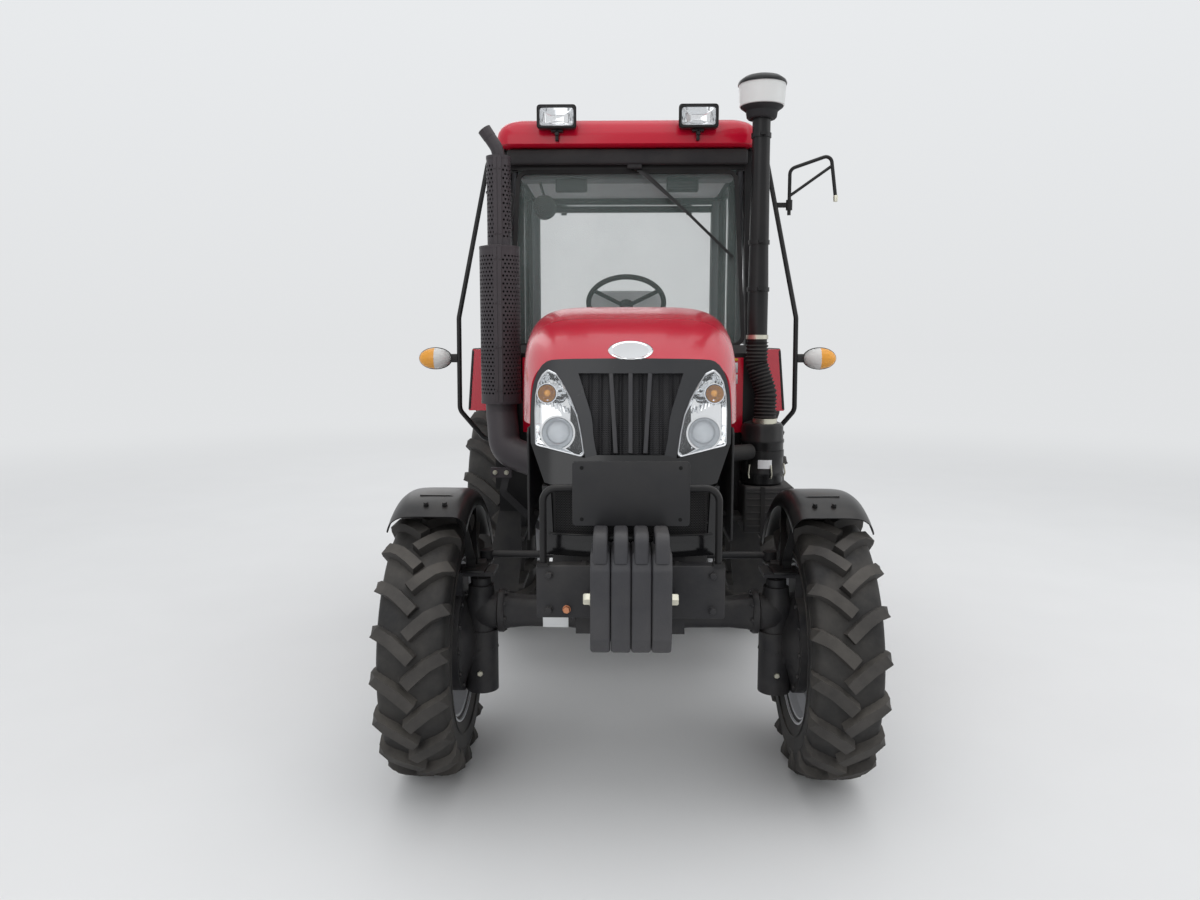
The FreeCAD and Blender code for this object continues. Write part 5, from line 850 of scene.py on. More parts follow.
# Lamp: rings drawn in from its outline. Ring point = centre + share * (outline - centre), with a
# depth behind the mask's face for each share.
def makeLamp(side):
    lampIn, lampOut = evenLine(maskLook["lampIn"], 20), evenLine(maskLook["lampOut"], 20)
    corners = np.concatenate([lampOut, lampIn[::-1]])
    outline = roundedOutline(corners[[0, 4, 8, 12, 15, 17, 19, 20, 22, 26, 30, 34, 39]], 0.012, 5)
    centre = np.array([0.252, 1.452])

    def rings(values):
        grid = []
        for share, depth in values:
            flat = centre + (outline - centre) * share
            grid.append(maskFace(flat[:, 0] * side, flat[:, 1], depth))
        return np.array(grid)

    rim = gridShape(rings([(0.995, 0.016), (0.995, -0.003), (0.975, -0.006), (0.945, -0.003),
                           (0.935, 0.012)]), wrapCols=True)
    bowl = gridShape(rings([(0.94, 0.004), (0.90, 0.014), (0.86, 0.038), (0.78, 0.056), (0.55, 0.064),
                            (0.25, 0.067), (0.02, 0.067)]), wrapCols=True, capLast=True)
    lens = gridShape(rings([(0.95, 0.004), (0.945, -0.004), (0.90, -0.008), (0.70, -0.013),
                            (0.40, -0.016), (0.15, -0.017), (0.02, -0.017)]), wrapCols=True, capLast=True)
    lowPlace = maskFace(np.array([0.240 * side]), np.array([1.408]))[0]
    highPlace = maskFace(np.array([0.278 * side]), np.array([1.535]))[0]
    cup = turnedShape([(0.062, 0.006), (0.050, 0.030), (0.026, 0.046), (0.012, 0.052), (0.008, 0.052),
                       (0.008, 0.058), (0.014, 0.058), (0.030, 0.050), (0.060, 0.030)],
                      lowPlace, "y", 40)
    eye = turnedShape([(0.052, 0.028), (0.036, 0.035), (0.026, 0.030), (0.018, 0.018), (0.015, 0.001)],
                      lowPlace, "y", 32)
    smallCup = turnedShape([(0.060, 0.006), (0.046, 0.020), (0.026, 0.029), (0.016, 0.031),
                            (0.016, 0.034), (0.030, 0.033), (0.060, 0.024)], highPlace, "y", 32)
    bulb = turnedShape([(0.056, 0.008), (0.040, 0.012), (0.028, 0.011), (0.020, 0.006), (0.018, 0.001)],
                       highPlace, "y", 20)
    # fluted strip between the two reflectors
    flutes = []
    for step in range(7):
        x, z = 0.222 + 0.013 * step, 1.470 + 0.006 * step
        centreLine = maskFace(np.array([x, x + 0.004]) * side, np.array([z, z + 0.018]), 0.045)
        flutes.append(tubeShape(centreLine, 0.0045, 8, flat=(0, 1, 0)))
    name = "headlamp_%s" % ("left" if side > 0 else "right")
    makePiece(name, [(rim, "lampSilver"), (bowl, "chrome"), (cup, "chrome"), (smallCup, "chrome"),
                     (joined(flutes), "chrome"), (eye, "lensEye"), (bulb, "amberLens")],
              "bonnet", ["headlamps"] if side > 0 else [], bevel=0)
    makePiece(name + "_lens", [(lens, "clearLens")], "bonnet", bevel=0)


makeHood()
makeMask()
print("bonnet made")


# Nose below the bonnet seam, the side screens, weights, their bracket and the number board.
noseLook = {"seam": 1.238, "foot": 1.006, "meshLow": 1.080, "meshHigh": 1.230, "meshHalf": 0.272,
            "halfTop": 0.290, "halfLow": 0.278, "cells": (64, 18), "screen": (0.338, 0.346)}
weightLook = {"count": 4, "width": 0.0625, "left": -0.1255, "front": -1.960, "back": -1.752,
              "foot": 0.756, "shoulder": 1.072, "top": 1.134, "handle": (0.022, 0.012)}


# Nose skin point: y = front + sweep * (|x| / 0.33) cubed, as the mask has at the seam.
def noseFace(x, z, inward=0.0):
    y = maskLook["front"] + maskLook["sweep"] * (np.abs(x) / 0.33) ** 3 + inward
    return np.stack(np.broadcast_arrays(x, y, z), -1)


def makeNose():
    look = noseLook
    heights = np.array([look["foot"], look["foot"] + 0.004, 1.040, look["meshLow"], look["meshHigh"],
                        look["seam"]])
    inward = np.array([0.016, 0.002, -0.006, 0.0, 0.0, 0.0])
    share = np.linspace(-1, 1, 41)
    half = np.interp(heights, [look["foot"], look["seam"]], [look["halfLow"], look["halfTop"]])
    face = noseFace(share[None] * half[:, None], heights[:, None], inward[:, None])
    back = face[:, [0]] * [1, 0, 1] + [0, -1.612, 0]
    backRight = face[:, [-1]] * [1, 0, 1] + [0, -1.612, 0]
    middle = (face[:, [0]] + back) / 2
    middleRight = (face[:, [-1]] + backRight) / 2
    grid = np.concatenate([back, middle, face, middleRight, backRight], 1)
    points, faces = gridShape(grid)
    columns = grid.shape[1] - 1
    keep = [not (number // columns == 3 and 4 <= number % columns < columns - 4)
            for number in range(len(faces))]
    shell = walledShape((points, [face for face, kept in zip(faces, keep) if kept]), 0.010)
    sheet, cells = holedSheet(*look["cells"], 0.66, 6, 1)
    x = (sheet[:, 0] / look["cells"][0] * 2 - 1) * look["meshHalf"]
    z = look["meshLow"] - 0.003 + sheet[:, 1] / look["cells"][1] * (look["meshHigh"] - look["meshLow"] + 0.006)
    mesh = (noseFace(x, z, 0.012), cells)
    # near-black sheet behind the nose mesh: painted shade for the dark space inside the nose
    dark = gridShape(noseFace(np.linspace(-0.25, 0.25, 9)[None], np.array([[1.07], [1.235]]), 0.060))
    line = noseFace(np.linspace(-1, 1, 41) * (look["meshHalf"] - 0.004), look["meshLow"] + 0.002, -0.003)
    rim = tubeShape(line, 0.0035, 8, flat=(0, 0, 1))
    screens = []
    for side in (1, -1):
        low, high = sorted((side * look["screen"][0], side * look["screen"][1]))
        outline = roundedOutline([(-1.61, 1.035), (-0.59, 1.093), (-0.232, 1.262), (-0.232, 1.390),
                                  (-1.592, 1.420), (-1.61, 1.400)], 0.010)
        screens.append(plateShape(outline, low, high, "yz", 0.003))
        for y in (-1.45, -0.79):
            screens.append(boxShape((side * 0.175, y - 0.020, 1.100), (side * 0.341, y + 0.020, 1.111)))
        screens.append(boxShape((side * 0.158, -1.470, 0.881), (side * 0.176, -1.430, 1.111)))
    floor = boxShape((-0.178, -1.712, 0.881), (0.178, -1.612, 1.012))
    grid = []
    for side in (1, -1):
        sheet, cells = holedSheet(90, 16, 0.60, 6, 1)
        y, z = -1.50 + sheet[:, 0] * 0.0105, 1.19 + sheet[:, 1] * 0.0105
        grid.append((np.stack([0 * y + side * 0.3475, y, z], -1), cells))
    makePiece("nose_shell", [(shell, "glossBlack"), (joined(screens), "texturedBlack"),
                             (floor, "texturedBlack"), (rim, "blackPaint"), (dark, "ductBlack")],
              "root", ["nose_panels"], bevel=0)
    makePiece("nose_mesh", [(mesh, "texturedBlack")], "root", bevel=0)
    makePiece("screen_mesh", [(joined(grid), "maskGrey")], "root", bevel=0)


def makeWeights():
    look = weightLook
    plates, handles = [], []
    front, back, foot = look["front"], look["back"], look["foot"]
    outline = roundedOutline([(back, foot + 0.05), (back - 0.03, foot), (front + 0.03, foot),
                              (front, foot + 0.05), (front, look["shoulder"] - 0.05),
                              (front + 0.03, look["shoulder"]), (back, look["shoulder"])], 0.022, 6)
    for number in range(look["count"]):
        low = look["left"] + number * look["width"] + 0.0008
        high = low + look["width"] - 0.0016
        plates.append(plateShape(outline, low, high, "yz", 0.009, 5))
        x = (low + high) / 2
        path = roundedPath([(x, front + 0.020, look["shoulder"] - 0.03), (x, front + 0.024, look["top"] - 0.012),
                            (x, back - 0.055, look["top"] - 0.012), (x, back - 0.040, look["shoulder"] - 0.03)],
                           0.025, 6)
        section = roundedOutline([(-look["handle"][0], -look["handle"][1]), (look["handle"][0], -look["handle"][1]),
                                  (look["handle"][0], look["handle"][1]), (-look["handle"][0], look["handle"][1])],
                                 0.009, 4)
        handles.append(sweptShape(path, section[:, ::-1], flat=(1, 0, 0)))
    clamp = tubeShape([(-0.150, -1.835, 0.900), (0.150, -1.835, 0.900)], 0.009, 16, flat=(0, 0, 1))
    nuts = [boltShape((side * 0.127, -1.835, 0.900), (side, 0, 0), 0.020) for side in (-1, 1)]
    hook = boxShape((-0.115, -1.80, 0.700 + 0.05), (0.115, -1.775, 0.765))
    tab = turnedShape([(-0.012, 0.001), (-0.012, 0.026), (0.012, 0.026), (0.012, 0.001)],
                      (0.010, -1.775, 0.745), "y", 24)
    makePiece("slab_weights", [(joined(plates), "weightPaint"), (joined(handles), "weightPaint"),
                               (clamp, "zinc"), (joined(nuts), "zinc"), (hook, "chassisPaint"),
                               (tab, "chassisPaint")], "root", ["front_weights"], bevel=0)


def makeBracket():
    outline = roundedOutline([(-0.302, 0.824), (0.302, 0.824), (0.302, 0.996), (-0.302, 0.996)], 0.008)
    front = plateShape(outline, -1.790, -1.776, "xz", 0.003)
    ribs = [boxShape((x - 0.008, -1.776, 0.826), (x + 0.008, -1.711, 0.994)) for x in (-0.29, -0.15, 0.15, 0.29)]
    shelf = boxShape((-0.296, -1.776, 0.976), (0.296, -1.711, 0.990))
    bolts = [boltShape((x, -1.790, z), (0, -1, 0), 0.012) for x, z in
             ((-0.262, 0.850), (0.262, 0.850), (-0.262, 0.965), (0.262, 0.965))]
    copper = boltShape((-0.205, -1.790, 0.852), (0, -1, 0), 0.012)
    makePiece("bracket_plate", [(front, "chassisPaint"), (joined(ribs), "chassisPaint"),
                                (shelf, "chassisPaint"), (joined(bolts), "chassisPaint"), (copper, "copperBolt")],
              "root", ["weight_bracket"], bevel=0.0015)


def makeBoard():
    path = roundedPath([(-0.280, -1.780, 0.998), (-0.280, -1.780, 1.246), (0.280, -1.780, 1.246),
                        (0.280, -1.780, 0.998)], 0.045, 8)
    hoop = tubeShape(path, 0.0115, 20, flat=(0, 1, 0))
    outline = roundedOutline([(-0.185, 1.129), (0.185, 1.129), (0.185, 1.335), (-0.185, 1.335)], 0.012)
    board = plateShape(outline, -1.8085, -1.8035, "xz", 0.0015)
    # the board's holes are near-black rings on its face: painted shade where open holes would be
    holes = [turnedShape([(-0.0012, 0.001), (-0.0012, 0.006), (0.002, 0.006), (0.002, 0.001)],
                         (x, -1.8085, z), "y", 16) for x in (-0.155, 0.155) for z in (1.150, 1.314)]
    clips = [boxShape((x - 0.018, -1.804, 1.222), (x + 0.018, -1.766, 1.262)) for x in (-0.12, 0.12)]
    feet = [boxShape((side * 0.262, -1.800, 0.994), (side * 0.300, -1.756, 1.004)) for side in (-1, 1)]
    makePiece("hoop_and_board", [(hoop, "blackPaint"), (board, "boardBlack"), (joined(holes), "ductBlack"),
                                 (joined(clips), "blackPaint"), (joined(feet), "blackPaint")],
              "root", ["number_board"], bevel=0)


makeNose()
makeWeights()
makeBracket()
makeBoard()
print("nose, weights and board made")


# Front fenders and axle details, rear fenders, door handles and engine side parts.
fenderLook = {"inner": 0.604, "outer": 0.905, "radius": 0.592, "start": -0.42, "end": 1.02, "skin": 0.004}


# Front fender: a profile across the tyre carried round the axle. Angle 0 is straight up, and the
# flat front part is a chord: radius * cos(start) / cos(angle) ahead of the top.
def makeFender(side):
    look = fenderLook
    axleY, axleZ = jointPlace["front_spin_left"][1], jointPlace["front_spin_left"][2]
    angle = np.linspace(look["start"], look["end"], 34)
    across = np.array([look["inner"], look["inner"], look["inner"] + 0.030, 0.700, 0.800, 0.848, 0.878, 0.893, 0.902, 0.902])
    drop = np.array([0.070, 0.036, 0.004, 0.0, 0.0, 0.006, 0.024, 0.044, 0.066, 0.074])
    line = smoothPath(np.stack([across, drop], 1), 4)
    radius = look["radius"] - 0.010 * np.clip(-angle / 0.42, 0, 1) ** 2 + 0.010
    far = radius[:, None] - line[None, :, 1]
    points = np.stack([side * line[None, :, 0] + 0 * far, axleY + far * np.sin(angle)[:, None],
                       axleZ + far * np.cos(angle)[:, None]], -1)
    skin = walledShape(gridShape(points), side * look["skin"])
    bolts, stays = [], []
    for x, turn in ((0.690, -0.30), (0.760, -0.30), (0.690, 0.55), (0.760, 0.55)):
        away = np.array([0, math.sin(turn), math.cos(turn)])
        bolts.append(boltShape(np.array([side * x, axleY, axleZ]) + away * (look["radius"] + 0.009), away, 0.009))
    for turn in (-0.16, 0.42):
        top = np.array([side * 0.660, axleY + 0.585 * math.sin(turn), axleZ + 0.585 * math.cos(turn)])
        foot = np.array([side * 0.622, axleY + 0.10 * math.sin(turn), 0.800])
        path = roundedPath([top + (side * 0.14, 0, 0.002), top, foot + (0, 0, 0.05), foot], 0.03, 5)
        stays.append(sweptShape(path, [(-0.018, -0.003), (0.018, -0.003), (0.018, 0.003), (-0.018, 0.003)],
                                flat=(0, 1, 0)))
    plate = softBox((side * 0.560, axleY - 0.075, 0.806), (side * 0.655, axleY + 0.075, 0.818), 0.004, 2)
    name = "left" if side > 0 else "right"
    makePiece("fender_" + name, [(skin, "blackPaint"), (joined(bolts), "blackPaint"), (joined(stays), "blackPaint"),
                                 (plate, "blackPaint")],
              "knuckle_body_" + name, ["front_fender_" + name], bevel=0)


# Knuckle: housing turned round the kingpin, arch bracket over it, final drive towards the hub.
def makeKnuckle(side):
    name = "left" if side > 0 else "right"
    axleY = jointPlace["front_spin_left"][1]
    x = side * 0.585
    stem = turnedShape([(0.318, 0.020), (0.318, 0.046), (0.324, 0.052), (0.352, 0.053), (0.360, 0.058), (0.470, 0.058),
                        (0.478, 0.062), (0.492, 0.062), (0.500, 0.056), (0.600, 0.056), (0.640, 0.062), (0.690, 0.062),
                        (0.700, 0.054), (0.745, 0.050), (0.748, 0.040), (0.775, 0.040), (0.782, 0.030), (0.782, 0.004)],
                       (x, axleY, 0), "z", 40)
    ring = [boltShape((x + 0.058 * math.cos(a), axleY + 0.058 * math.sin(a), 0.492), (0, 0, 1), 0.008)
            for a in np.arange(8) * math.pi / 4]
    cap = [boltShape((x + 0.030 * math.cos(a), axleY + 0.030 * math.sin(a), 0.775), (0, 0, 1), 0.006)
           for a in np.arange(6) * math.pi / 3 + 0.3]
    plug = boltShape((x, axleY - 0.057, 0.400), (0, -1, 0), 0.012)
    case = turnedShape(np.array([(0.600, 0.060), (0.628, 0.120), (0.648, 0.178), (0.660, 0.198), (0.684, 0.200), (0.690, 0.188),
                                 (0.700, 0.120), (0.706, 0.060)]) * (side, 1), (0, axleY, 0.525), "x", 56)
    rim = [boltShape((side * 0.650, axleY + 0.186 * math.cos(a), 0.525 + 0.186 * math.sin(a)), (-side, 0, 0), 0.009)
           for a in np.arange(12) * math.pi / 6]
    arm = sweptShape(roundedPath([(x, axleY + 0.02, 0.800), (side * 0.600, axleY + 0.09, 0.815), (side * 0.610, axleY + 0.165, 0.800)], 0.04, 6),
                     roundedOutline([(-0.024, -0.010), (0.024, -0.010), (0.024, 0.010), (-0.024, 0.010)], 0.005), flat=(0, 0, 1))
    makePiece("knuckle_cover_" + name, [(stem, "chassisPaint"), (joined(ring + cap + rim), "chassisPaint"), (plug, "zinc"),
                                        (case, "chassisPaint"), (arm, "chassisPaint")],
              "knuckle_body_" + name, bevel=0)


# Axle: cast beam with flanges, bolt rings, hub pivot, steering barrel with hoses, blank plate.
def makeAxle():
    axleY = jointPlace["front_spin_left"][1]
    parts, bolts = [], []
    half = np.array([0.0, 0.10, 0.16, 0.24, 0.40, 0.47, 0.500])
    tall = np.array([0.078, 0.076, 0.066, 0.058, 0.056, 0.062, 0.070])
    deep = np.array([0.070, 0.070, 0.062, 0.056, 0.054, 0.060, 0.068])
    xs = np.linspace(-0.5, 0.5, 61)
    ring = roundedOutline([(-1, -1), (1, -1), (1, 1), (-1, 1)], 0.55, 6)
    points = np.stack([xs[:, None] + 0 * ring[None, :, 0],
                       axleY - 0.002 + np.interp(np.abs(xs), half, deep)[:, None] * ring[None, :, 0],
                       0.640 + np.interp(np.abs(xs), half, tall)[:, None] * ring[None, :, 1]], -1)
    beam = gridShape(points, wrapCols=True, capFirst=True, capLast=True)
    for side in (-1, 1):
        parts.append(turnedShape(np.array([(0.488, 0.060), (0.488, 0.082), (0.494, 0.086), (0.512, 0.086), (0.516, 0.080),
                                           (0.520, 0.060)]) * (side, 1), (0, axleY, 0.640), "x", 40))
        parts.append(turnedShape(np.array([(0.516, 0.066), (0.540, 0.072), (0.575, 0.070), (0.600, 0.060), (0.622, 0.046)]) * (side, 1),
                                 (0, axleY, 0.640), "x", 40))
        for a in np.arange(8) * math.pi / 4 + 0.2:
            bolts.append(boltShape((side * 0.488, axleY + 0.074 * math.cos(a), 0.640 + 0.074 * math.sin(a)), (-side, 0, 0), 0.008))
    pivot = turnedShape([(-0.090, 0.030), (-0.090, 0.062), (-0.080, 0.070), (0.080, 0.070), (0.090, 0.062), (0.090, 0.030)],
                        (0, axleY, 0.735), "y", 36)
    saddle = softBox((-0.120, axleY - 0.085, 0.700), (0.120, axleY + 0.085, 0.744), 0.012, 3)
    plate = plateShape([(-0.335, 0.590), (-0.235, 0.590), (-0.235, 0.632), (-0.335, 0.632)], axleY - 0.0605, axleY - 0.050, "xz", 0.001)
    barrel = turnedShape([(-0.250, 0.016), (-0.250, 0.034), (-0.225, 0.036), (-0.220, 0.032), (0.220, 0.032), (0.225, 0.036),
                          (0.250, 0.034), (0.250, 0.016)], (0, -0.950, 0.830), "x", 32)
    hoses = []
    for x in (-0.20, 0.20):
        hoses.append(tubeShape(roundedPath([(x, -0.950, 0.860), (x, -0.950, 0.900), (x * 0.9, -0.880, 0.930), (x * 0.8, -0.60, 0.930)],
                                           0.03, 6), 0.008, 12))
    makePiece("axle_casting", [(beam, "chassisPaint"), (joined(parts), "chassisPaint"), (joined(bolts), "chassisPaint"),
                               (pivot, "chassisPaint"), (saddle, "chassisPaint"), (plate, "labelWhite")],
              "root", ["front_axle"], bevel=0)
    makePiece("steering_barrel", [(barrel, "chassisPaint"), (joined(hoses), "rubberSeal")], "root", bevel=0)


# Rear fender: outer skin with a rounded edge, its top following the CAD piece's reach.
def makeRearTrim():
    plates = []
    for side in (-1, 1):
        edge = [(side * 0.852, rearAxleY + along, z) for along, z in
                ((-0.712, 1.336), (-0.556, 1.657), (0.358, 1.657), (0.616, 1.418), (0.694, 1.126))]
        plates.append(tubeShape(roundedPath(edge, 0.03, 4), 0.008, 12, flat=(1, 0, 0)))
    labels = [gridShape(np.array([[(x, -0.1990, z) for x in (0.462, 0.538)] for z in zs]))
              for zs in ((1.500, 1.545), (1.552, 1.602), (1.610, 1.622))]
    # red panels of the cab beside the bonnet, on the face of the bulkhead
    panels = [plateShape([(side * 0.352, 1.262), (side * edge, 1.262), (side * edge, 1.626), (side * 0.352, 1.626)],
                         -0.1980, -0.1962, "xz", 0.0005) for side, edge in ((1, 0.565), (-1, 0.508))]
    makePiece("cab_front_panels", [(joined(panels), "redEnamel")], "root", bevel=0)
    makePiece("fender_beading", [(joined(plates), "rubberSeal")], "root", bevel=0)
    makePiece("warning_labels", [(joined(labels[:2]), "labelWhite"), (labels[2], "labelYellow")], "root", bevel=0, thickness=0.0006)
    for side in (-1, 1):
        name = "left" if side > 0 else "right"
        grip = tubeShape(roundedPath([(side * 0.690, 0.105, 1.36), (side * 0.722, 0.105, 1.36), (side * 0.722, 0.105, 1.50),
                                      (side * 0.690, 0.105, 1.50)], 0.014, 6), 0.008, 14, flat=(0, 1, 0))
        lock = softBox((side * 0.688, 0.080, 1.285), (side * 0.706, 0.130, 1.345), 0.006, 3)
        makePiece("door_handle_" + name, [(grip, "blackPaint"), (lock, "blackPaint")], "door_" + name, bevel=0)


def makeEngineSide():
    parts, pale, hoses = [], [], []
    for side in (-1, 1):
        x = side * 0.206
        for y in np.linspace(-1.08, -0.44, 4):
            parts.append(softBox((x, y - 0.065, 1.18), (x + side * 0.030, y + 0.065, 1.34), 0.010, 3))
            parts.append(tubeShape([(x, y, 1.12), (x + side * 0.060, y, 1.10), (x + side * 0.075, y, 1.04)], 0.018, 16))
        parts.append(tubeShape([(x + side * 0.068, -1.12, 1.04), (x + side * 0.068, -0.40, 1.04)], 0.026, 18, flat=(1, 0, 0)))
        parts.append(softBox((x, -1.20, 0.62), (x + side * 0.012, -0.36, 0.66), 0.004, 2))
        for y in np.linspace(-1.16, -0.40, 9):
            parts.append(boltShape((x + side * 0.012, y, 0.640), (side, 0, 0), 0.007))
        pale.append(turnedShape([(0.86, 0.012), (0.862, 0.038), (0.870, 0.044), (0.990, 0.044), (1.000, 0.036), (1.000, 0.010)],
                                (x + side * 0.052, -0.86 if side > 0 else -0.70, 0), "z", 28))
        hoses.append(tubeShape(roundedPath([(x, -0.62, 1.00), (x + side * 0.05, -0.62, 1.00), (x + side * 0.05, -0.38, 0.86),
                                            (x, -0.34, 0.80)], 0.03, 6), 0.009, 12))
    radiator = softBox((-0.270, -1.520, 0.900), (0.270, -1.440, 1.400), 0.010, 2)
    pulley = turnedShape([(-0.020, 0.010), (-0.020, 0.075), (-0.008, 0.066), (0.0, 0.066), (0.012, 0.075), (0.012, 0.010)],
                         (0, -1.255, 0.820), "y", 36)
    makePiece("engine_fittings", [(joined(parts), "chassisPaint"), (joined(pale), "boardBlack"), (joined(hoses), "rubberSeal"),
                                  (radiator, "texturedBlack"), (pulley, "bareSteel")], "root", bevel=0)


for fenderSide in (1, -1):
    makeFender(fenderSide)
    makeKnuckle(fenderSide)
makeAxle()
makeRearTrim()
makeEngineSide()
print("axle, fenders and engine side made")


# Exhaust and air intake, upright beside the cab's front corners.
exhaustLook = {"place": (-0.610, -0.220), "guards": [(0.0965, 1.412, 2.150, 32, 40), (0.057, 2.150, 2.568, 18, 22)],
               "pipe": 0.030, "hole": 0.60, "skin": 0.0025}
intakeLook = {"place": (0.625, -0.220), "pipe": (0.048, 0.042), "pipeFoot": 1.70, "pipeTop": 2.745,
              "clamps": (2.17, 1.98), "hose": 0.051}


# Perforated tube: a sheet of holed cells bent round an upright axis, x = r cos(a), y = r sin(a),
# with every other row of cells half a cell on.
def perforated(centre, radius, low, high, across, up, hole, skin, solidEnds=2):
    keep = lambda column, row: (row > solidEnds) & (row < up - solidEnds) & ((column > 1) & (column < across - 1))
    sheet, faces = holedSheet(across, up, hole, 8, 1, keep)
    row = np.arange(len(sheet)) // (len(sheet) // up)
    sheet[:, 0] += row % 2 / 2
    angle = -math.pi / 2 + sheet[:, 0] / across * 2 * math.pi
    z = low + sheet[:, 1] / up * (high - low)
    points = np.stack([centre[0] + radius * np.cos(angle), centre[1] + radius * np.sin(angle), z], 1)
    return walledShape((points, faces), skin)


def makeExhaust():
    look = exhaustLook
    x, y = look["place"]
    guards = [perforated((x, y), radius, low, high, across, up, look["hole"], look["skin"])
              for radius, low, high, across, up in look["guards"]]
    collar = turnedShape([(1.406, 0.030), (1.406, 0.0975), (1.420, 0.0980), (1.420, 0.094)], (x, y, 0), "z", 48)
    shoulder = turnedShape([(2.140, 0.0975), (2.152, 0.0975), (2.160, 0.057), (2.150, 0.052)], (x, y, 0), "z", 48)
    topRing = turnedShape([(2.556, 0.0585), (2.570, 0.0585), (2.572, 0.032), (2.560, 0.031)], (x, y, 0), "z", 40)
    seam = []
    for radius, low, high, across, up in look["guards"]:
        for z in np.linspace(low + 0.06, high - 0.06, 4 if radius > 0.08 else 2):
            for shift in (-0.011, 0.011):
                seam.append(boltShape((x + shift, y - radius, z), (0, -1, 0), 0.0055))
        seam.append(boxShape((x - 0.019, y - radius - 0.0025, low + 0.004), (x - 0.002, y - radius + 0.004, high - 0.004)))
        seam.append(boxShape((x + 0.002, y - radius - 0.0025, low + 0.004), (x + 0.019, y - radius + 0.004, high - 0.004)))
    path = roundedPath([(-0.21, -0.350, 1.130), (-0.42, -0.345, 1.130), (x + 0.02, y - 0.05, 1.18), (x, y, 1.36),
                        (x, y, 2.60), (x - 0.062, y, 2.690)], [0.06, 0.10, 0.10, 0.10], 8)
    pipe = tubeShape(path, look["pipe"], 24, caps=True)
    tip = np.array(path[-1]) - 0.04 * unit(path[-1] - path[-2])
    lip = turnedShape([(0.0, 0.031), (0.043, 0.0325), (0.046, 0.0325), (0.046, 0.027), (0.010, 0.026), (0.008, 0.002)],
                      tip, direction=path[-1] - path[-2], sides=32)
    # silencer inside the guard: a black pipe, its near-black colour also painted shade seen through the guard's holes
    silencer = turnedShape([(1.440, 0.034), (1.450, 0.070), (1.470, 0.082), (2.100, 0.082), (2.125, 0.070), (2.140, 0.044),
                            (2.535, 0.044), (2.550, 0.034)], (x, y, 0), "z", 40)
    # elbow guard round the lower bend, a plain tube
    elbow = path[(path[:, 2] > 1.128) & (path[:, 2] < 1.40)]
    guard = tubeShape(np.concatenate([elbow, [[x, y, 1.410]]]), 0.076, 28)
    bracket = boxShape((x - 0.045, y - 0.088, 1.052), (x + 0.055, y - 0.070, 1.100))
    bolts = [boltShape((x + shift, y - 0.088, 1.076), (0, -1, 0), 0.010) for shift in (-0.025, 0.030)]
    strut = sweptShape(roundedPath([(x + 0.03, y - 0.070, 1.075), (x + 0.01, y - 0.075, 0.98),
                                    (-0.43, y + 0.01, 0.79), (-0.21, y + 0.02, 0.78)], 0.03, 5),
                       [(-0.017, -0.003), (0.017, -0.003), (0.017, 0.003), (-0.017, 0.003)], flat=(0, 1, 0))
    makePiece("exhaust_shield", [(joined(guards), "guardPaint"), (joined([collar, shoulder, topRing]), "guardPaint"),
                                 (joined(seam), "guardPaint")],
              "root", ["exhaust_guard"], bevel=0)
    makePiece("exhaust_tube", [(pipe, "guardPaint"), (lip, "guardPaint"), (guard, "guardPaint"), (silencer, "ductBlack"),
                               (bracket, "guardPaint"), (joined(bolts), "zinc"), (strut, "chassisPaint")],
              "root", ["exhaust_pipe"], bevel=0)


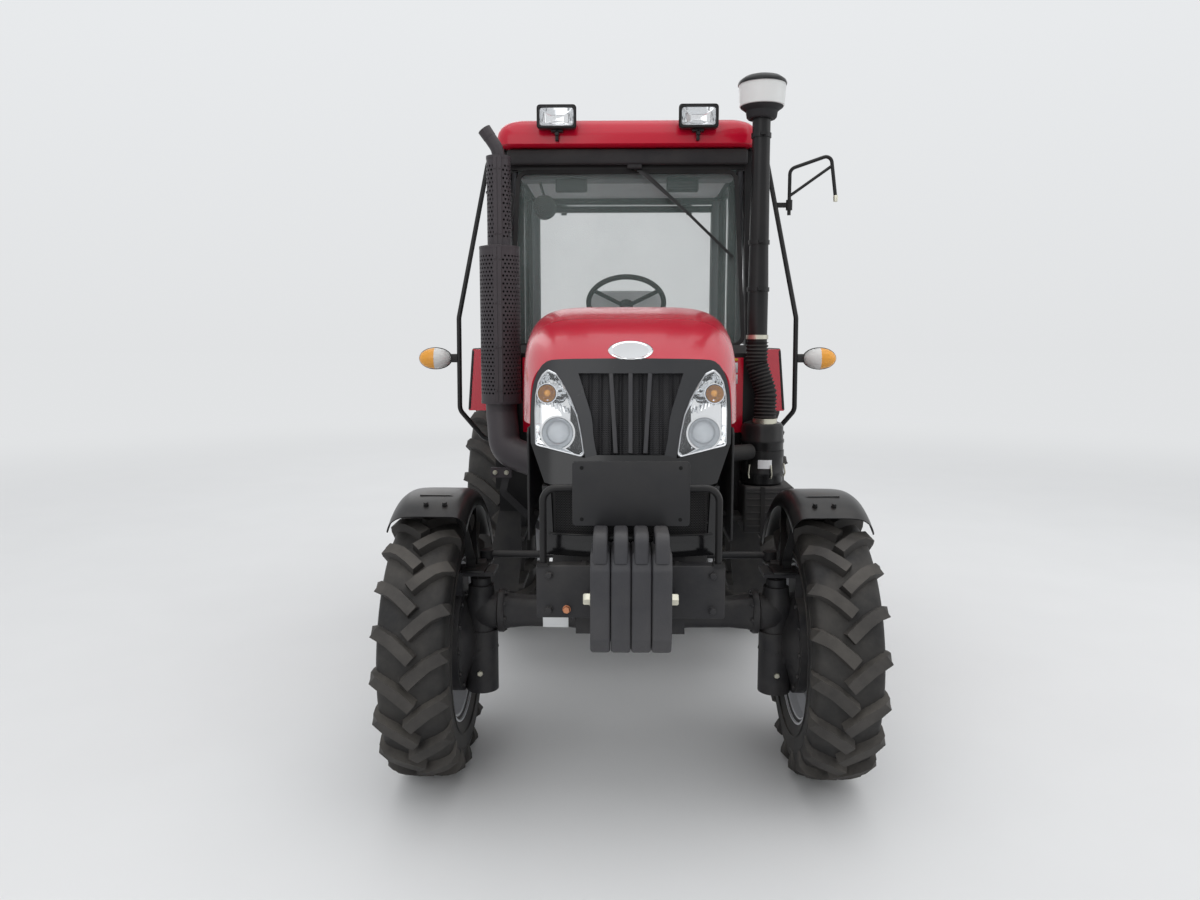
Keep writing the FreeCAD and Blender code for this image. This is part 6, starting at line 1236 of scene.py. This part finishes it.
def makeIntake():
    look = intakeLook
    x, y = look["place"]
    foot, top = look["pipe"]
    pipe = turnedShape([(1.66, foot - 0.004), (1.66, foot), (1.98, foot), (2.17, foot - 0.004), (2.19, top + 0.004),
                        (2.55, top), (look["pipeTop"], top), (look["pipeTop"], top - 0.004)], (x, y, 0), "z", 36)
    clampRings = []
    for z, radius in ((2.17, foot - 0.002), (1.95, foot + 0.001), (2.66, top + 0.001)):
        clampRings.append(turnedShape([(z - 0.010, radius - 0.002), (z - 0.010, radius + 0.004), (z + 0.010, radius + 0.004),
                                       (z + 0.010, radius - 0.002)], (x, y, 0), "z", 36))
        clampRings.append(boxShape((x - 0.012, y - radius - 0.022, z - 0.007), (x + 0.012, y - radius - 0.002, z + 0.007)))
    silver = turnedShape([(1.715, foot), (1.715, foot + 0.005), (1.735, foot + 0.005), (1.735, foot)], (x, y, 0), "z", 36)
    base = turnedShape([(2.735, 0.040), (2.735, 0.064), (2.742, 0.070), (2.768, 0.074), (2.776, 0.084), (2.786, 0.098),
                        (2.792, 0.100), (2.792, 0.060)], (x, y, 0), "z", 56)
    bowl = turnedShape([(2.788, 0.096), (2.792, 0.1035), (2.830, 0.1065), (2.893, 0.1100), (2.893, 0.105), (2.830, 0.102),
                        (2.795, 0.098), (2.790, 0.092)], (x, y, 0), "z", 56, True)
    vane = turnedShape([(2.790, 0.030), (2.800, 0.060), (2.870, 0.052), (2.892, 0.030)], (x, y, 0), "z", 40)
    lid = turnedShape([(2.888, 0.100), (2.886, 0.1125), (2.892, 0.1135), (2.904, 0.108), (2.920, 0.086), (2.930, 0.052),
                       (2.934, 0.020), (2.935, 0.003)], (x, y, 0), "z", 56)
    knob = turnedShape([(2.922, 0.014), (2.9352, 0.012), (2.9358, 0.002)], (x, y, 0), "z", 20)
    # ribbed hose: radius swells by 4 mm along its length once for each rib
    path = roundedPath([(x, y, 1.70), (x, y, 1.60), (x + 0.044, y - 0.020, 1.46), (x + 0.040, y - 0.030, 1.310)], [0.09, 0.12], 26)
    length = np.concatenate([[0], np.cumsum(np.linalg.norm(np.diff(path, axis=0), axis=1))])
    even = np.linspace(0, length[-1], 190)
    path = np.stack([np.interp(even, length, path[:, axis]) for axis in range(3)], 1)
    swell = look["hose"] + 0.0042 * np.cos(even / 0.0175 * 2 * math.pi)
    hose = tubeShape(path, swell, 28)
    end = turnedShape([(-0.012, 0.050), (-0.012, 0.058), (0.012, 0.058), (0.012, 0.050)], path[-8], "z", 36)
    makePiece("intake_column", [(pipe, "blackPaint"), (joined(clampRings), "blackPaint"), (silver, "zinc"),
                                (base, "texturedBlack"), (vane, "ductBlack"), (lid, "blackPaint"), (knob, "blackPaint"),
                                (hose, "rubberSeal"), (end, "zinc")],
              "root", ["intake_stack"], bevel=0)
    makePiece("intake_bowl", [(bowl, "bowlPlastic")], "root", bevel=0)


def makeCleaner():
    x, y = 0.660, -0.220
    body = turnedShape([(1.016, 0.020), (1.016, 0.092), (1.024, 0.100), (1.060, 0.102), (1.066, 0.106), (1.078, 0.106),
                        (1.084, 0.102), (1.215, 0.102), (1.220, 0.1055), (1.232, 0.1055), (1.238, 0.101), (1.296, 0.100),
                        (1.312, 0.090), (1.318, 0.070), (1.318, 0.010)], (x, y, 0), "z", 56)
    band = turnedShape([(1.150, 0.100), (1.150, 0.1055), (1.182, 0.1055), (1.182, 0.100)], (x, y, 0), "z", 56)
    latches = []
    for angle in (-2.3, -1.3, -0.3, 1.2):
        away = np.array([math.cos(angle), math.sin(angle), 0])
        place = np.array([x, y, 1.072]) + away * 0.106
        latches.append(tubeShape([place + (0, 0, -0.02), place + away * 0.008, place + (0, 0, 0.045)], 0.004, 8))
    angle = np.linspace(-1.9, -1.25, 12)
    label = np.stack([x + 0.1032 * np.cos(angle)[None] + 0 * np.zeros((2, 1)), y + 0.1032 * np.sin(angle)[None] + np.zeros((2, 1)),
                      np.array([[1.100], [1.142]]) + 0 * angle[None]], -1)
    duct = tubeShape(roundedPath([(0.208, -0.405, 1.180), (0.45, -0.405, 1.180), (0.590, -0.300, 1.180)], 0.08, 10), 0.038, 24)
    makePiece("air_filter", [(body, "blackPaint"), (band, "blackPaint"), (joined(latches), "zinc"),
                             (gridShape(label), "labelWhite"), (duct, "rubberSeal")],
              "root", ["air_cleaner"], bevel=0)
    low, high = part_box("battery_box")
    case = softBox((0.560, low[1], low[2]), (0.800, high[1], high[2]), 0.012, 4)
    arm = softBox((0.206, low[1] + 0.04, low[2] + 0.05), (0.565, high[1] - 0.03, low[2] + 0.075), 0.004, 2)
    ribs = [softBox((0.575, low[1] - 0.004, z), (0.785, low[1] + 0.004, z + 0.008), 0.002, 2)
            for z in np.linspace(low[2] + 0.03, high[2] - 0.03, 6)]
    strap = [boxShape((0.640, low[1] - 0.006, low[2] + 0.002), (0.660, high[1] - 0.001, high[2] - 0.0005))]
    makePiece("battery_case", [(case, "texturedBlack"), (arm, "texturedBlack"), (joined(ribs), "texturedBlack"),
                               (joined(strap), "rubberSeal")], "root", ["battery_box"], bevel=0)


makeExhaust()
makeIntake()
makeCleaner()
print("exhaust and intake made")


# Cab: roof, work lamps, wiper, seals, lining, seat, dash, and the hand-rail lamps.
cabLook = {"roof": ((-0.654, -0.015), (0.654, 1.400)), "roofLow": 2.661, "roofTop": 2.809, "roofCorner": 0.085,
           "lampX": 0.345, "lampSize": (0.097, 0.057), "lampHeight": 2.788, "lampFront": -0.074,
           "screenFoot": (-0.058, 1.672), "screenHead": (0.090, 2.563), "screenHalf": (0.580, 0.548)}


def makeRoof():
    look = cabLook
    (x0, y0), (x1, y1) = look["roof"]
    rings = []
    for shrink, z in ((0.060, 2.661), (0.010, 2.664), (0.0, 2.672), (0.0, 2.705), (0.006, 2.735), (0.018, 2.760),
                      (0.038, 2.780), (0.066, 2.793), (0.110, 2.801), (0.200, 2.806), (0.340, 2.808), (0.520, 2.809)):
        corners = [(x0 + shrink, y0 + shrink * 0.8), (x1 - shrink, y0 + shrink * 0.8),
                   (x1 - shrink, y1 - shrink), (x0 + shrink, y1 - shrink)]
        flat = roundedOutline(corners, max(look["roofCorner"] - shrink * 0.1, 0.02), 9)
        rings.append(np.concatenate([flat, np.full((len(flat), 1), z)], 1))
    shell = gridShape(np.array(rings), wrapCols=True, capFirst=True, capLast=True)
    ridges = [softBox((x - 0.055, 0.16, 2.800), (x + 0.055, 1.24, 2.8085 + 0.004), (0.02, 0.03, 0.006), 3)
              for x in (-0.30, 0.0, 0.30)]
    gutter = sweptShape(roundedPath([(-0.62, 0.06, 2.659), (-0.62, 1.33, 2.659), (0.62, 1.33, 2.659),
                                     (0.62, 0.06, 2.659)], 0.05, 5), circle(0.008, 10), flat=(0, 0, 1))
    makePiece("roof_shell", [(shell, "redEnamel"), (joined(ridges), "redEnamel"), (gutter, "rubberSeal")], "root",
              ["cab_roof"], bevel=0)


# Work lamp: rings of a rounded rectangle, (share of width, share of height, depth from the front).
def makeWorkLamps():
    look = cabLook
    wide, high = look["lampSize"]
    outline = roundedOutline([(-wide, -high), (wide, -high), (wide, high), (-wide, high)], 0.016, 5)
    lamps = {"case": [], "bowl": [], "lens": [], "frame": [], "foot": []}
    for side in (-1, 1):
        centre = np.array([side * look["lampX"], look["lampFront"], look["lampHeight"]])

        def rings(values):
            return np.array([np.stack([outline[:, 0] * wide_, 0 * outline[:, 0] + depth, outline[:, 1] * high_], 1)
                             + centre for wide_, high_, depth in values])

        lamps["case"].append(gridShape(rings([(0.93, 0.90, 0.006), (0.99, 0.99, 0.004), (1.0, 1.0, 0.012), (0.98, 0.98, 0.045),
                                              (0.90, 0.86, 0.078), (0.70, 0.60, 0.098), (0.30, 0.25, 0.104), (0.02, 0.02, 0.104)]),
                                       wrapCols=True, capLast=True))
        lamps["frame"].append(gridShape(rings([(0.96, 0.94, 0.008), (0.95, 0.92, 0.0), (0.86, 0.76, 0.0), (0.84, 0.72, 0.010)]),
                                        wrapCols=True))
        lamps["bowl"].append(gridShape(rings([(0.85, 0.73, 0.008), (0.74, 0.60, 0.030), (0.50, 0.38, 0.050), (0.20, 0.14, 0.058),
                                              (0.02, 0.02, 0.058)]), wrapCols=True, capLast=True))
        lamps["lens"].append(gridShape(rings([(0.86, 0.75, 0.006), (0.60, 0.50, 0.0), (0.30, 0.25, -0.002), (0.02, 0.02, -0.002)]),
                                       wrapCols=True, capLast=True))
        x, y, z = centre
        lamps["foot"].append(softBox((x - 0.030, y + 0.030, z - high - 0.010), (x + 0.030, y + 0.075, z - high + 0.006), 0.004, 2))
        lamps["foot"].append(softBox((x - 0.008, y + 0.030, 2.680), (x + 0.008, y + 0.075, z - high), 0.003, 2))
        lamps["foot"].append(boltShape((x, y + 0.030, z - high - 0.020), (0, -1, 0), 0.010))
    makePiece("work_lamps", [(joined(lamps["case"]), "blackPaint"), (joined(lamps["frame"]), "blackPaint"),
                             (joined(lamps["bowl"]), "chrome"), (joined(lamps["foot"]), "blackPaint")],
              "root", ["roof_lamps"], bevel=0)
    makePiece("work_lamp_lenses", [(joined(lamps["lens"]), "clearLens")], "root", bevel=0)


# Windscreen seal and wiper lie on the plane y = foot + (z - footZ) * lean.
def makeScreenTrim():
    (footY, footZ), (headY, headZ) = cabLook["screenFoot"], cabLook["screenHead"]
    low, high = cabLook["screenHalf"]

    def onScreen(x, z, off=0.0):
        return np.array([x, footY + (z - footZ) * (headY - footY) / (headZ - footZ) - off, z])

    loop = roundedOutline([(-low, footZ + 0.012), (low, footZ + 0.012), (high, headZ - 0.010), (-high, headZ - 0.010)], 0.05, 6)
    path = np.array([onScreen(x, z, 0.006) for x, z in loop])
    seal = sweptShape(path, [(-0.010, -0.006), (0.010, -0.006), (0.010, 0.004), (-0.010, 0.004)], closed=True,
                      flat=(0, 1, -0.17))
    header = softBox((-0.600, 0.028, 2.580), (0.600, 0.062, 2.656), 0.012, 3)
    motor = softBox((0.000, 0.036, 2.560), (0.075, 0.060, 2.600), 0.008, 3)
    pivot = onScreen(0.040, 2.570, 0.028)
    middle = onScreen(0.300, 2.345, 0.030)
    arm = sweptShape([pivot, onScreen(0.10, 2.52, 0.036), middle], [(-0.007, -0.003), (0.007, -0.003), (0.007, 0.003), (-0.007, 0.003)],
                     flat=(0, 1, 0))
    blade = sweptShape([onScreen(0.075, 2.560, 0.020), middle + (0, 0.006, 0), onScreen(0.530, 2.120, 0.020)],
                       [(-0.007, -0.004), (0.007, -0.004), (0.004, 0.008), (-0.004, 0.008)], flat=(0, 1, 0))
    hub = turnedShape([(-0.020, 0.004), (-0.020, 0.013), (0.012, 0.015), (0.016, 0.006)], pivot, "y", 20)
    makePiece("screen_trim", [(seal, "rubberSeal"), (header, "texturedBlack"), (motor, "texturedBlack")],
              "root", bevel=0)
    makePiece("wiper", [(joined([arm, hub]), "blackPaint"), (blade, "rubberSeal")], "root", bevel=0)
    seals = []
    for side in (-1, 1):
        loop = roundedOutline([(0.030, 1.070), (0.480, 1.070), (0.672, 1.690), (0.672, 2.535), (0.155, 2.535), (0.012, 1.640)], 0.03, 5)
        path = np.array([(side * 0.6605, y, z) for y, z in loop])
        seals.append(sweptShape(path, circle(0.006, 8), closed=True, flat=(1, 0, 0)))
        loop = roundedOutline([(0.815, 1.690), (1.245, 1.690), (1.245, 2.585), (0.815, 2.585)], 0.04, 5)
        path = np.array([(side * 0.624, y, z) for y, z in loop])
        seals.append(sweptShape(path, circle(0.009, 8), closed=True, flat=(1, 0, 0)))
    makePiece("side_window_seals", [(joined(seals[1::2]), "rubberSeal")], "root", bevel=0)


def makeLining():
    ceiling = softBox((-0.575, 0.140, 2.596), (0.575, 1.250, 2.640), (0.03, 0.03, 0.014), 3)
    console = softBox((-0.560, 0.130, 2.530), (0.560, 0.330, 2.604), (0.03, 0.04, 0.03), 4)
    louvres = []
    for x in (-0.30, 0.30):
        louvres.append(turnedShape([(2.532, 0.050), (2.524, 0.052), (2.522, 0.044), (2.530, 0.038), (2.530, 0.004)], (x, 0.225, 0), "z", 28))
        for step in (-0.024, -0.008, 0.008, 0.024):
            louvres.append(boxShape((x - 0.034, 0.222 + step, 2.521), (x + 0.034, 0.228 + step, 2.529)))
    shades = [softBox((x - 0.082, 0.135, 2.462), (x + 0.082, 0.190, 2.532), (0.012, 0.012, 0.012), 3) for x in (-0.285, 0.285)]
    shades += [boxShape((x - 0.066, 0.131, 2.478 + 0.014 * row), (x + 0.066, 0.136, 2.484 + 0.014 * row))
               for x in (-0.285, 0.285) for row in range(3)]
    fan = turnedShape([(-0.030, 0.004), (-0.034, 0.030), (-0.020, 0.058), (0.004, 0.064), (0.020, 0.052), (0.026, 0.004)],
                      (-0.430, 0.230, 2.400), "y", 28)
    fanStem = tubeShape([(-0.430, 0.240, 2.45), (-0.455, 0.245, 2.535)], 0.007, 10)
    posts = []
    for side in (-1, 1):
        posts.append(softBox((side * 0.588, 0.100, 1.10), (side * 0.560, 0.128, 2.56), 0.008, 2))
        posts.append(softBox((side * 0.588, 1.215, 1.70), (side * 0.545, 1.265, 2.58), 0.012, 2))
    mat = softBox((-0.520, -0.050, 0.931), (0.520, 0.560, 0.940), 0.003, 2)
    makePiece("ceiling_lining", [(ceiling, "cabLining"), (console, "cabTrim"), (joined(louvres), "blackPaint")],
              "root", bevel=0)
    makePiece("cab_fittings", [(joined(shades), "blackPaint"), (fan, "texturedBlack"), (fanStem, "blackPaint"),
                               (joined(posts), "cabTrim"), (mat, "rubberSeal")], "root", bevel=0)


# Cushion: a rounded box whose broad face is crowned by crown * (1 - u^2) (1 - v^2), with stitched
# furrows pressed in at given shares across.
def cushionShape(low, high, radius, crown, axis, furrows, depth):
    low, high = np.array(low, float), np.array(high, float)
    u = np.linspace(-1, 1, 41)
    ring = np.linspace(-1, 1, 33)
    other = [a for a in range(3) if a != axis]
    across, up = np.meshgrid(u, ring, indexing="ij")
    layers = []
    for level, inset in ((0.0, 0.9), (0.0, 0.3), (0.22, 0.0), (0.75, 0.0), (0.94, 0.22), (1.0, 0.6)):
        layers.append((level, inset))
    half = (high - low) / 2
    middle = (high + low) / 2
    angle = np.linspace(0, 2 * math.pi, 72, endpoint=False)
    power = 0.22
    ovalX, ovalY = (np.sign(f(angle)) * np.abs(f(angle)) ** power for f in (np.cos, np.sin))
    rings = []
    for level, inset in layers:
        rings.append((ovalX * (half[other[0]] - inset * radius), ovalY * (half[other[1]] - inset * radius),
                      0 * angle + low[axis] + level * (high[axis] - low[axis])))
    for share in (0.92, 0.8, 0.68, 0.56, 0.44, 0.32, 0.2, 0.08):
        a, b = ovalX * share, ovalY * share
        lift = crown * (1 - a ** 2) * (1 - b ** 2)
        for place in furrows:
            lift = lift - depth * np.exp(-((a - place) / 0.035) ** 2)
        rings.append((a * (half[other[0]] - 0.6 * radius), b * (half[other[1]] - 0.6 * radius), high[axis] + lift))
    points = np.zeros((len(rings), len(angle), 3))
    for row, (a, b, c) in enumerate(rings):
        points[row, :, other[0]] = middle[other[0]] + a
        points[row, :, other[1]] = middle[other[1]] + b
        points[row, :, axis] = c
    return gridShape(points, wrapCols=True, capFirst=True, capLast=True)


def makeSeat():
    low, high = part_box("seat")
    cushion = cushionShape((-0.245, low[1] + 0.004, 1.335), (0.245, low[1] + 0.475, 1.435), 0.05, 0.014, 2,
                           (-0.55, 0.55), 0.006)
    # the back is made lying on its rear side and stood up against its lean
    back = cushionShape((-0.235, 0.0, 0.0), (0.235, 0.580, 0.085), 0.05, 0.016, 2, (-0.5, 0.5), 0.006)
    lean = math.radians(78)
    x, y, z = back[0].T
    rear = low[1] + 0.540
    stood = np.stack([x, rear + y * math.cos(lean) - z * math.sin(lean), 1.440 + y * math.sin(lean) + z * math.cos(lean)], 1)
    cover = [(cushion, "seatCloth"), ((stood, back[1]), "seatCloth")]
    pad = makePiece("seat_cushions", cover, "root", ["seat"], bevel=0)
    frameParts = [softBox((-0.20, low[1] + 0.02, 1.235), (0.20, low[1] + 0.46, 1.335), (0.02, 0.02, 0.02), 3),
                  softBox((-0.24, low[1] + 0.01, 1.113), (0.24, low[1] + 0.48, 1.150), 0.012, 3)]
    for step in range(6):
        z = 1.150 + 0.014 * step
        inset = 0.010 if step % 2 else 0.0
        frameParts.append(softBox((-0.21 + inset, low[1] + 0.04 + inset, z), (0.21 - inset, low[1] + 0.45 - inset, z + 0.016), 0.008, 3))
    makePiece("seat_base", [(joined(frameParts), "texturedBlack")], "root", bevel=0)


def makeDash():
    low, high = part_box("dash_console")
    hood = softBox((-0.165, 0.020, 1.665), (0.165, 0.190, 1.735), (0.05, 0.03, 0.03), 5)
    dials = []
    for x, radius in ((-0.085, 0.030), (0.0, 0.042), (0.085, 0.030)):
        dials.append(turnedShape([(0.186, radius + 0.004), (0.195, radius + 0.004), (0.195, radius), (0.190, radius), (0.190, 0.002)],
                                 (x, 0, 1.700), "y", 30))
    levers = []
    for x, y, tall in ((0.330, 0.42, 0.30), (0.400, 0.55, 0.24), (-0.36, 0.50, 0.26)):
        foot = 1.11 if y > 0.45 else 0.94
        levers.append(tubeShape([(x, y, foot), (x, y - 0.02, foot + tall)], 0.007, 10))
        levers.append(turnedShape([(-0.024, 0.004), (-0.016, 0.018), (0.006, 0.022), (0.024, 0.012), (0.028, 0.002)],
                                  (x, y - 0.02, foot + tall), "z", 18))
    pedals = [softBox((x - 0.035, 0.045, 1.020), (x + 0.035, 0.060, 1.100), 0.005, 2) for x in (-0.26, 0.24, 0.34)]
    stems = [tubeShape([(x, 0.055, 1.05), (x, -0.02, 1.14), (x, -0.06, 1.22)], 0.008, 10) for x in (-0.26, 0.24, 0.34)]
    makePiece("dash_cluster", [(hood, "cabTrim"), (joined(dials), "glossBlack"), (joined(levers), "blackPaint"),
                               (joined(pedals), "rubberSeal"), (joined(stems), "blackPaint")], "root", bevel=0)


# Oval hand-rail lamps: rings of an ellipse with depth; the outer half is amber, the inner clear.
def makeSignals():
    outer, inner, cases = [], [], []
    for side in (-1, 1):
        centre = np.array([side * 0.955, -0.090, 1.620])
        for target, start in ((outer, -math.pi / 2), (inner, math.pi / 2)):
            angle = start + np.linspace(0, math.pi, 25)
            grid = []
            for share, depth in ((1.0, 0.0), (0.97, -0.018), (0.85, -0.034), (0.6, -0.046), (0.3, -0.052), (0.02, -0.054)):
                grid.append(np.stack([side * 0.080 * share * np.cos(angle), 0 * angle + depth, 0.052 * share * np.sin(angle)], 1) + centre)
            target.append(gridShape(np.array(grid)))
        angle = np.arange(40) * 2 * math.pi / 40
        grid = [np.stack([0.083 * share * np.cos(angle), 0 * angle + depth, 0.055 * share * np.sin(angle)], 1) + centre
                for share, depth in ((0.97, -0.004), (1.0, 0.0), (1.0, 0.012), (0.85, 0.030), (0.5, 0.044), (0.02, 0.048))]
        cases.append(gridShape(np.array(grid), wrapCols=True, capLast=True))
        cases.append(softBox((side * 0.830, -0.100, 1.600), (side * 0.885, -0.055, 1.642), 0.008, 3))
    tails = []
    low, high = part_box("signal_lamps")
    rear = high[1]
    tailCases = []
    for side in (-1, 1):
        for part, (inX, outX) in enumerate(((0.600, 0.690), (0.693, 0.790))):
            tails.append((part, softBox((side * inX, rear - 0.010, low[2] + 0.008), (side * outX, rear, low[2] + 0.082), 0.006, 3)))
        tailCases.append(softBox((side * 0.592, rear - 0.034, low[2] + 0.002), (side * 0.798, rear - 0.008, low[2] + 0.088), 0.006, 3))
    makePiece("rail_lamps", [(joined(cases), "texturedBlack"), (joined(outer), "amberLens"), (joined(inner), "clearSignal"),
                             (joined(tailCases), "texturedBlack"),
                             (joined([shape for part, shape in tails if part == 0]), "redLens"),
                             (joined([shape for part, shape in tails if part == 1]), "amberLens")],
              "root", ["signal_lamps"], bevel=0)
    arm = tubeShape(roundedPath([(-0.700, 0.010, 2.44), (-0.640, -0.020, 2.46), (-0.560, -0.030, 2.42), (-0.585, -0.030, 2.24)],
                                0.03, 6), 0.009, 14)
    grip = tubeShape([(-0.583, -0.030, 2.26), (-0.586, -0.030, 2.215)], 0.012, 14)
    makePiece("folded_arm", [(arm, "blackPaint"), (grip, "rubberSeal")], "root", bevel=0)


# Mirror arm: an upright tube that leans out and hangs down again, with a brace under it.
def makeMirrorArm():
    x, y = jointPlace["mirror_arm_turn"][0], jointPlace["mirror_arm_turn"][1]
    tube = tubeShape(roundedPath([(x, y, 2.331), (x, y, 2.555), (1.008, y - 0.015, 2.621), (1.035, y - 0.020, 2.412)],
                                 [0.035, 0.030], 7), 0.0090, 16, flat=(0, 1, 0))
    brace = tubeShape([(x, y, 2.424), (1.012, y - 0.016, 2.566)], 0.0075, 14, flat=(0, 1, 0))
    clip = turnedShape([(2.392, 0.004), (2.394, 0.0105), (2.420, 0.0115), (2.424, 0.009)], (1.035, y - 0.020, 0), "z", 20)
    makePiece("mirror_arm_tubes", [(tube, "blackPaint"), (brace, "blackPaint"), (clip, "zinc")],
              "mirror_arm_body", ["mirror_arm"], bevel=0)


makeRoof()
makeMirrorArm()
makeWorkLamps()
makeScreenTrim()
makeLining()
makeSeat()
makeDash()
makeSignals()
print("cab made")


# Camera, floor and light, as in a pale studio.
view = {"x": -0.040, "ahead": 3.489, "height": 1.711, "pitch": 6.96, "yaw": 1.18, "focal": 901.0}
scene = bpy.context.scene
camera = bpy.data.objects.new("camera", bpy.data.cameras.new("camera"))
scene.collection.objects.link(camera)
camera.location = (view["x"], frontAxleY - view["ahead"], view["height"])
camera.rotation_euler = (math.radians(90 - view["pitch"]), 0, math.radians(view["yaw"]))
camera.data.sensor_width = 36
camera.data.lens = view["focal"] / 1200 * 36
scene.camera = camera
scene.view_settings.view_transform = "Standard"


def makeStage():
    material = bpy.data.materials.new("stageFloor")
    material.use_nodes = True
    tree = material.node_tree
    shader = tree.nodes["Principled BSDF"]
    shader.inputs["Roughness"].default_value = 0.9
    shader.inputs["Specular IOR Level"].default_value = 0.2
    place = addNode(tree, "ShaderNodeTexCoord")
    noise = addNode(tree, "ShaderNodeTexNoise", {"Vector": place.outputs["Object"], "Scale": 1.5,
                                                 "Detail": 6.0})
    tone = addNode(tree, "ShaderNodeMix", {"Factor": noise.outputs["Fac"], "A": (0.70, 0.70, 0.70, 1),
                                           "B": (0.74, 0.74, 0.74, 1)}, data_type="RGBA")
    tree.links.new(tone.outputs["Result"], shader.inputs["Base Color"])
    # far from the tractor the floor fades into the colour of the sky at the horizon
    reach = addNode(tree, "ShaderNodeVectorMath", {0: place.outputs["Object"]}, operation="LENGTH")
    fade = addNode(tree, "ShaderNodeMapRange", {"Value": reach.outputs["Value"], "From Min": 3.5,
                                                "From Max": 16.0}, interpolation_type="SMOOTHERSTEP")
    haze = addNode(tree, "ShaderNodeEmission", {"Color": (0.757, 0.769, 0.780, 1)})
    mix = addNode(tree, "ShaderNodeMixShader", {"Fac": fade.outputs[0], 1: shader.outputs[0], 2: haze.outputs[0]})
    tree.links.new(mix.outputs[0], tree.nodes["Material Output"].inputs["Surface"])
    along = np.linspace(-30, 120, 3)
    rise = np.zeros(3)
    across = np.linspace(-90, 90, 3)
    points = np.stack(np.broadcast_arrays(across[None], along[:, None], rise[:, None]), -1)
    shape = gridShape(points)
    mesh = bpy.data.meshes.new("floor")
    mesh.from_pydata(shape[0].tolist(), [], shape[1])
    mesh.materials.append(material)
    mesh.shade_smooth()
    floor = bpy.data.objects.new("floor", mesh)
    scene.collection.objects.link(floor)


def makeLight(name, place, aim, size, power, color=(1, 1, 1)):
    lamp = bpy.data.lights.new(name, "AREA")
    lamp.energy, lamp.size, lamp.color = power, size, color
    item = bpy.data.objects.new(name, lamp)
    scene.collection.objects.link(item)
    item.location = place
    direction = np.array(aim, float) - np.array(place, float)
    item.rotation_euler = (math.acos(-direction[2] / np.linalg.norm(direction)), 0,
                           math.atan2(direction[0], -direction[1]) + math.pi)
    return item


makeStage()
makeLight("skyAbove", (0.5, -1.5, 8.0), (0, -0.3, 0.5), 9.0, 260)
makeLight("skyFront", (-3.5, -9.0, 5.0), (0, -0.5, 1.2), 6.0, 110)
makeLight("skyRight", (8.0, -1.0, 4.5), (0, 0, 1.2), 5.0, 60)
makeLight("skyBehind", (-2.0, 9.0, 6.0), (0, 0.5, 1.4), 6.0, 90)

world = bpy.data.worlds.new("paleSky")
scene.world = world
world.use_nodes = True
sky = world.node_tree
sky.nodes.clear()
skyOut = sky.nodes.new("ShaderNodeOutputWorld")
rays = sky.nodes.new("ShaderNodeLightPath")
skyPlace = sky.nodes.new("ShaderNodeTexCoord")
skyUp = addNode(sky, "ShaderNodeSeparateXYZ", {0: skyPlace.outputs["Generated"]})
skyBlend = addNode(sky, "ShaderNodeMapRange", {"Value": skyUp.outputs["Z"], "From Min": -0.1,
                                               "From Max": 0.6})
skyColor = addNode(sky, "ShaderNodeMix", {"Factor": skyBlend.outputs[0], "A": (0.74, 0.75, 0.76, 1),
                                          "B": (0.86, 0.88, 0.90, 1)}, data_type="RGBA")
dim = addNode(sky, "ShaderNodeBackground", {"Color": skyColor.outputs["Result"], "Strength": 0.90})
pale = addNode(sky, "ShaderNodeBackground", {"Color": skyColor.outputs["Result"], "Strength": 1.0})
seen = addNode(sky, "ShaderNodeMath", {0: rays.outputs["Is Camera Ray"],
                                       1: rays.outputs["Is Glossy Ray"]}, operation="ADD")
seenToo = addNode(sky, "ShaderNodeMath", {0: seen.outputs[0], 1: rays.outputs["Is Transmission Ray"]},
                  operation="ADD", use_clamp=True)
skyMix = addNode(sky, "ShaderNodeMixShader", {"Fac": seenToo.outputs[0], 1: dim.outputs[0],
                                              2: pale.outputs[0]})
sky.links.new(skyMix.outputs[0], skyOut.inputs["Surface"])
print("stage, light and camera set")
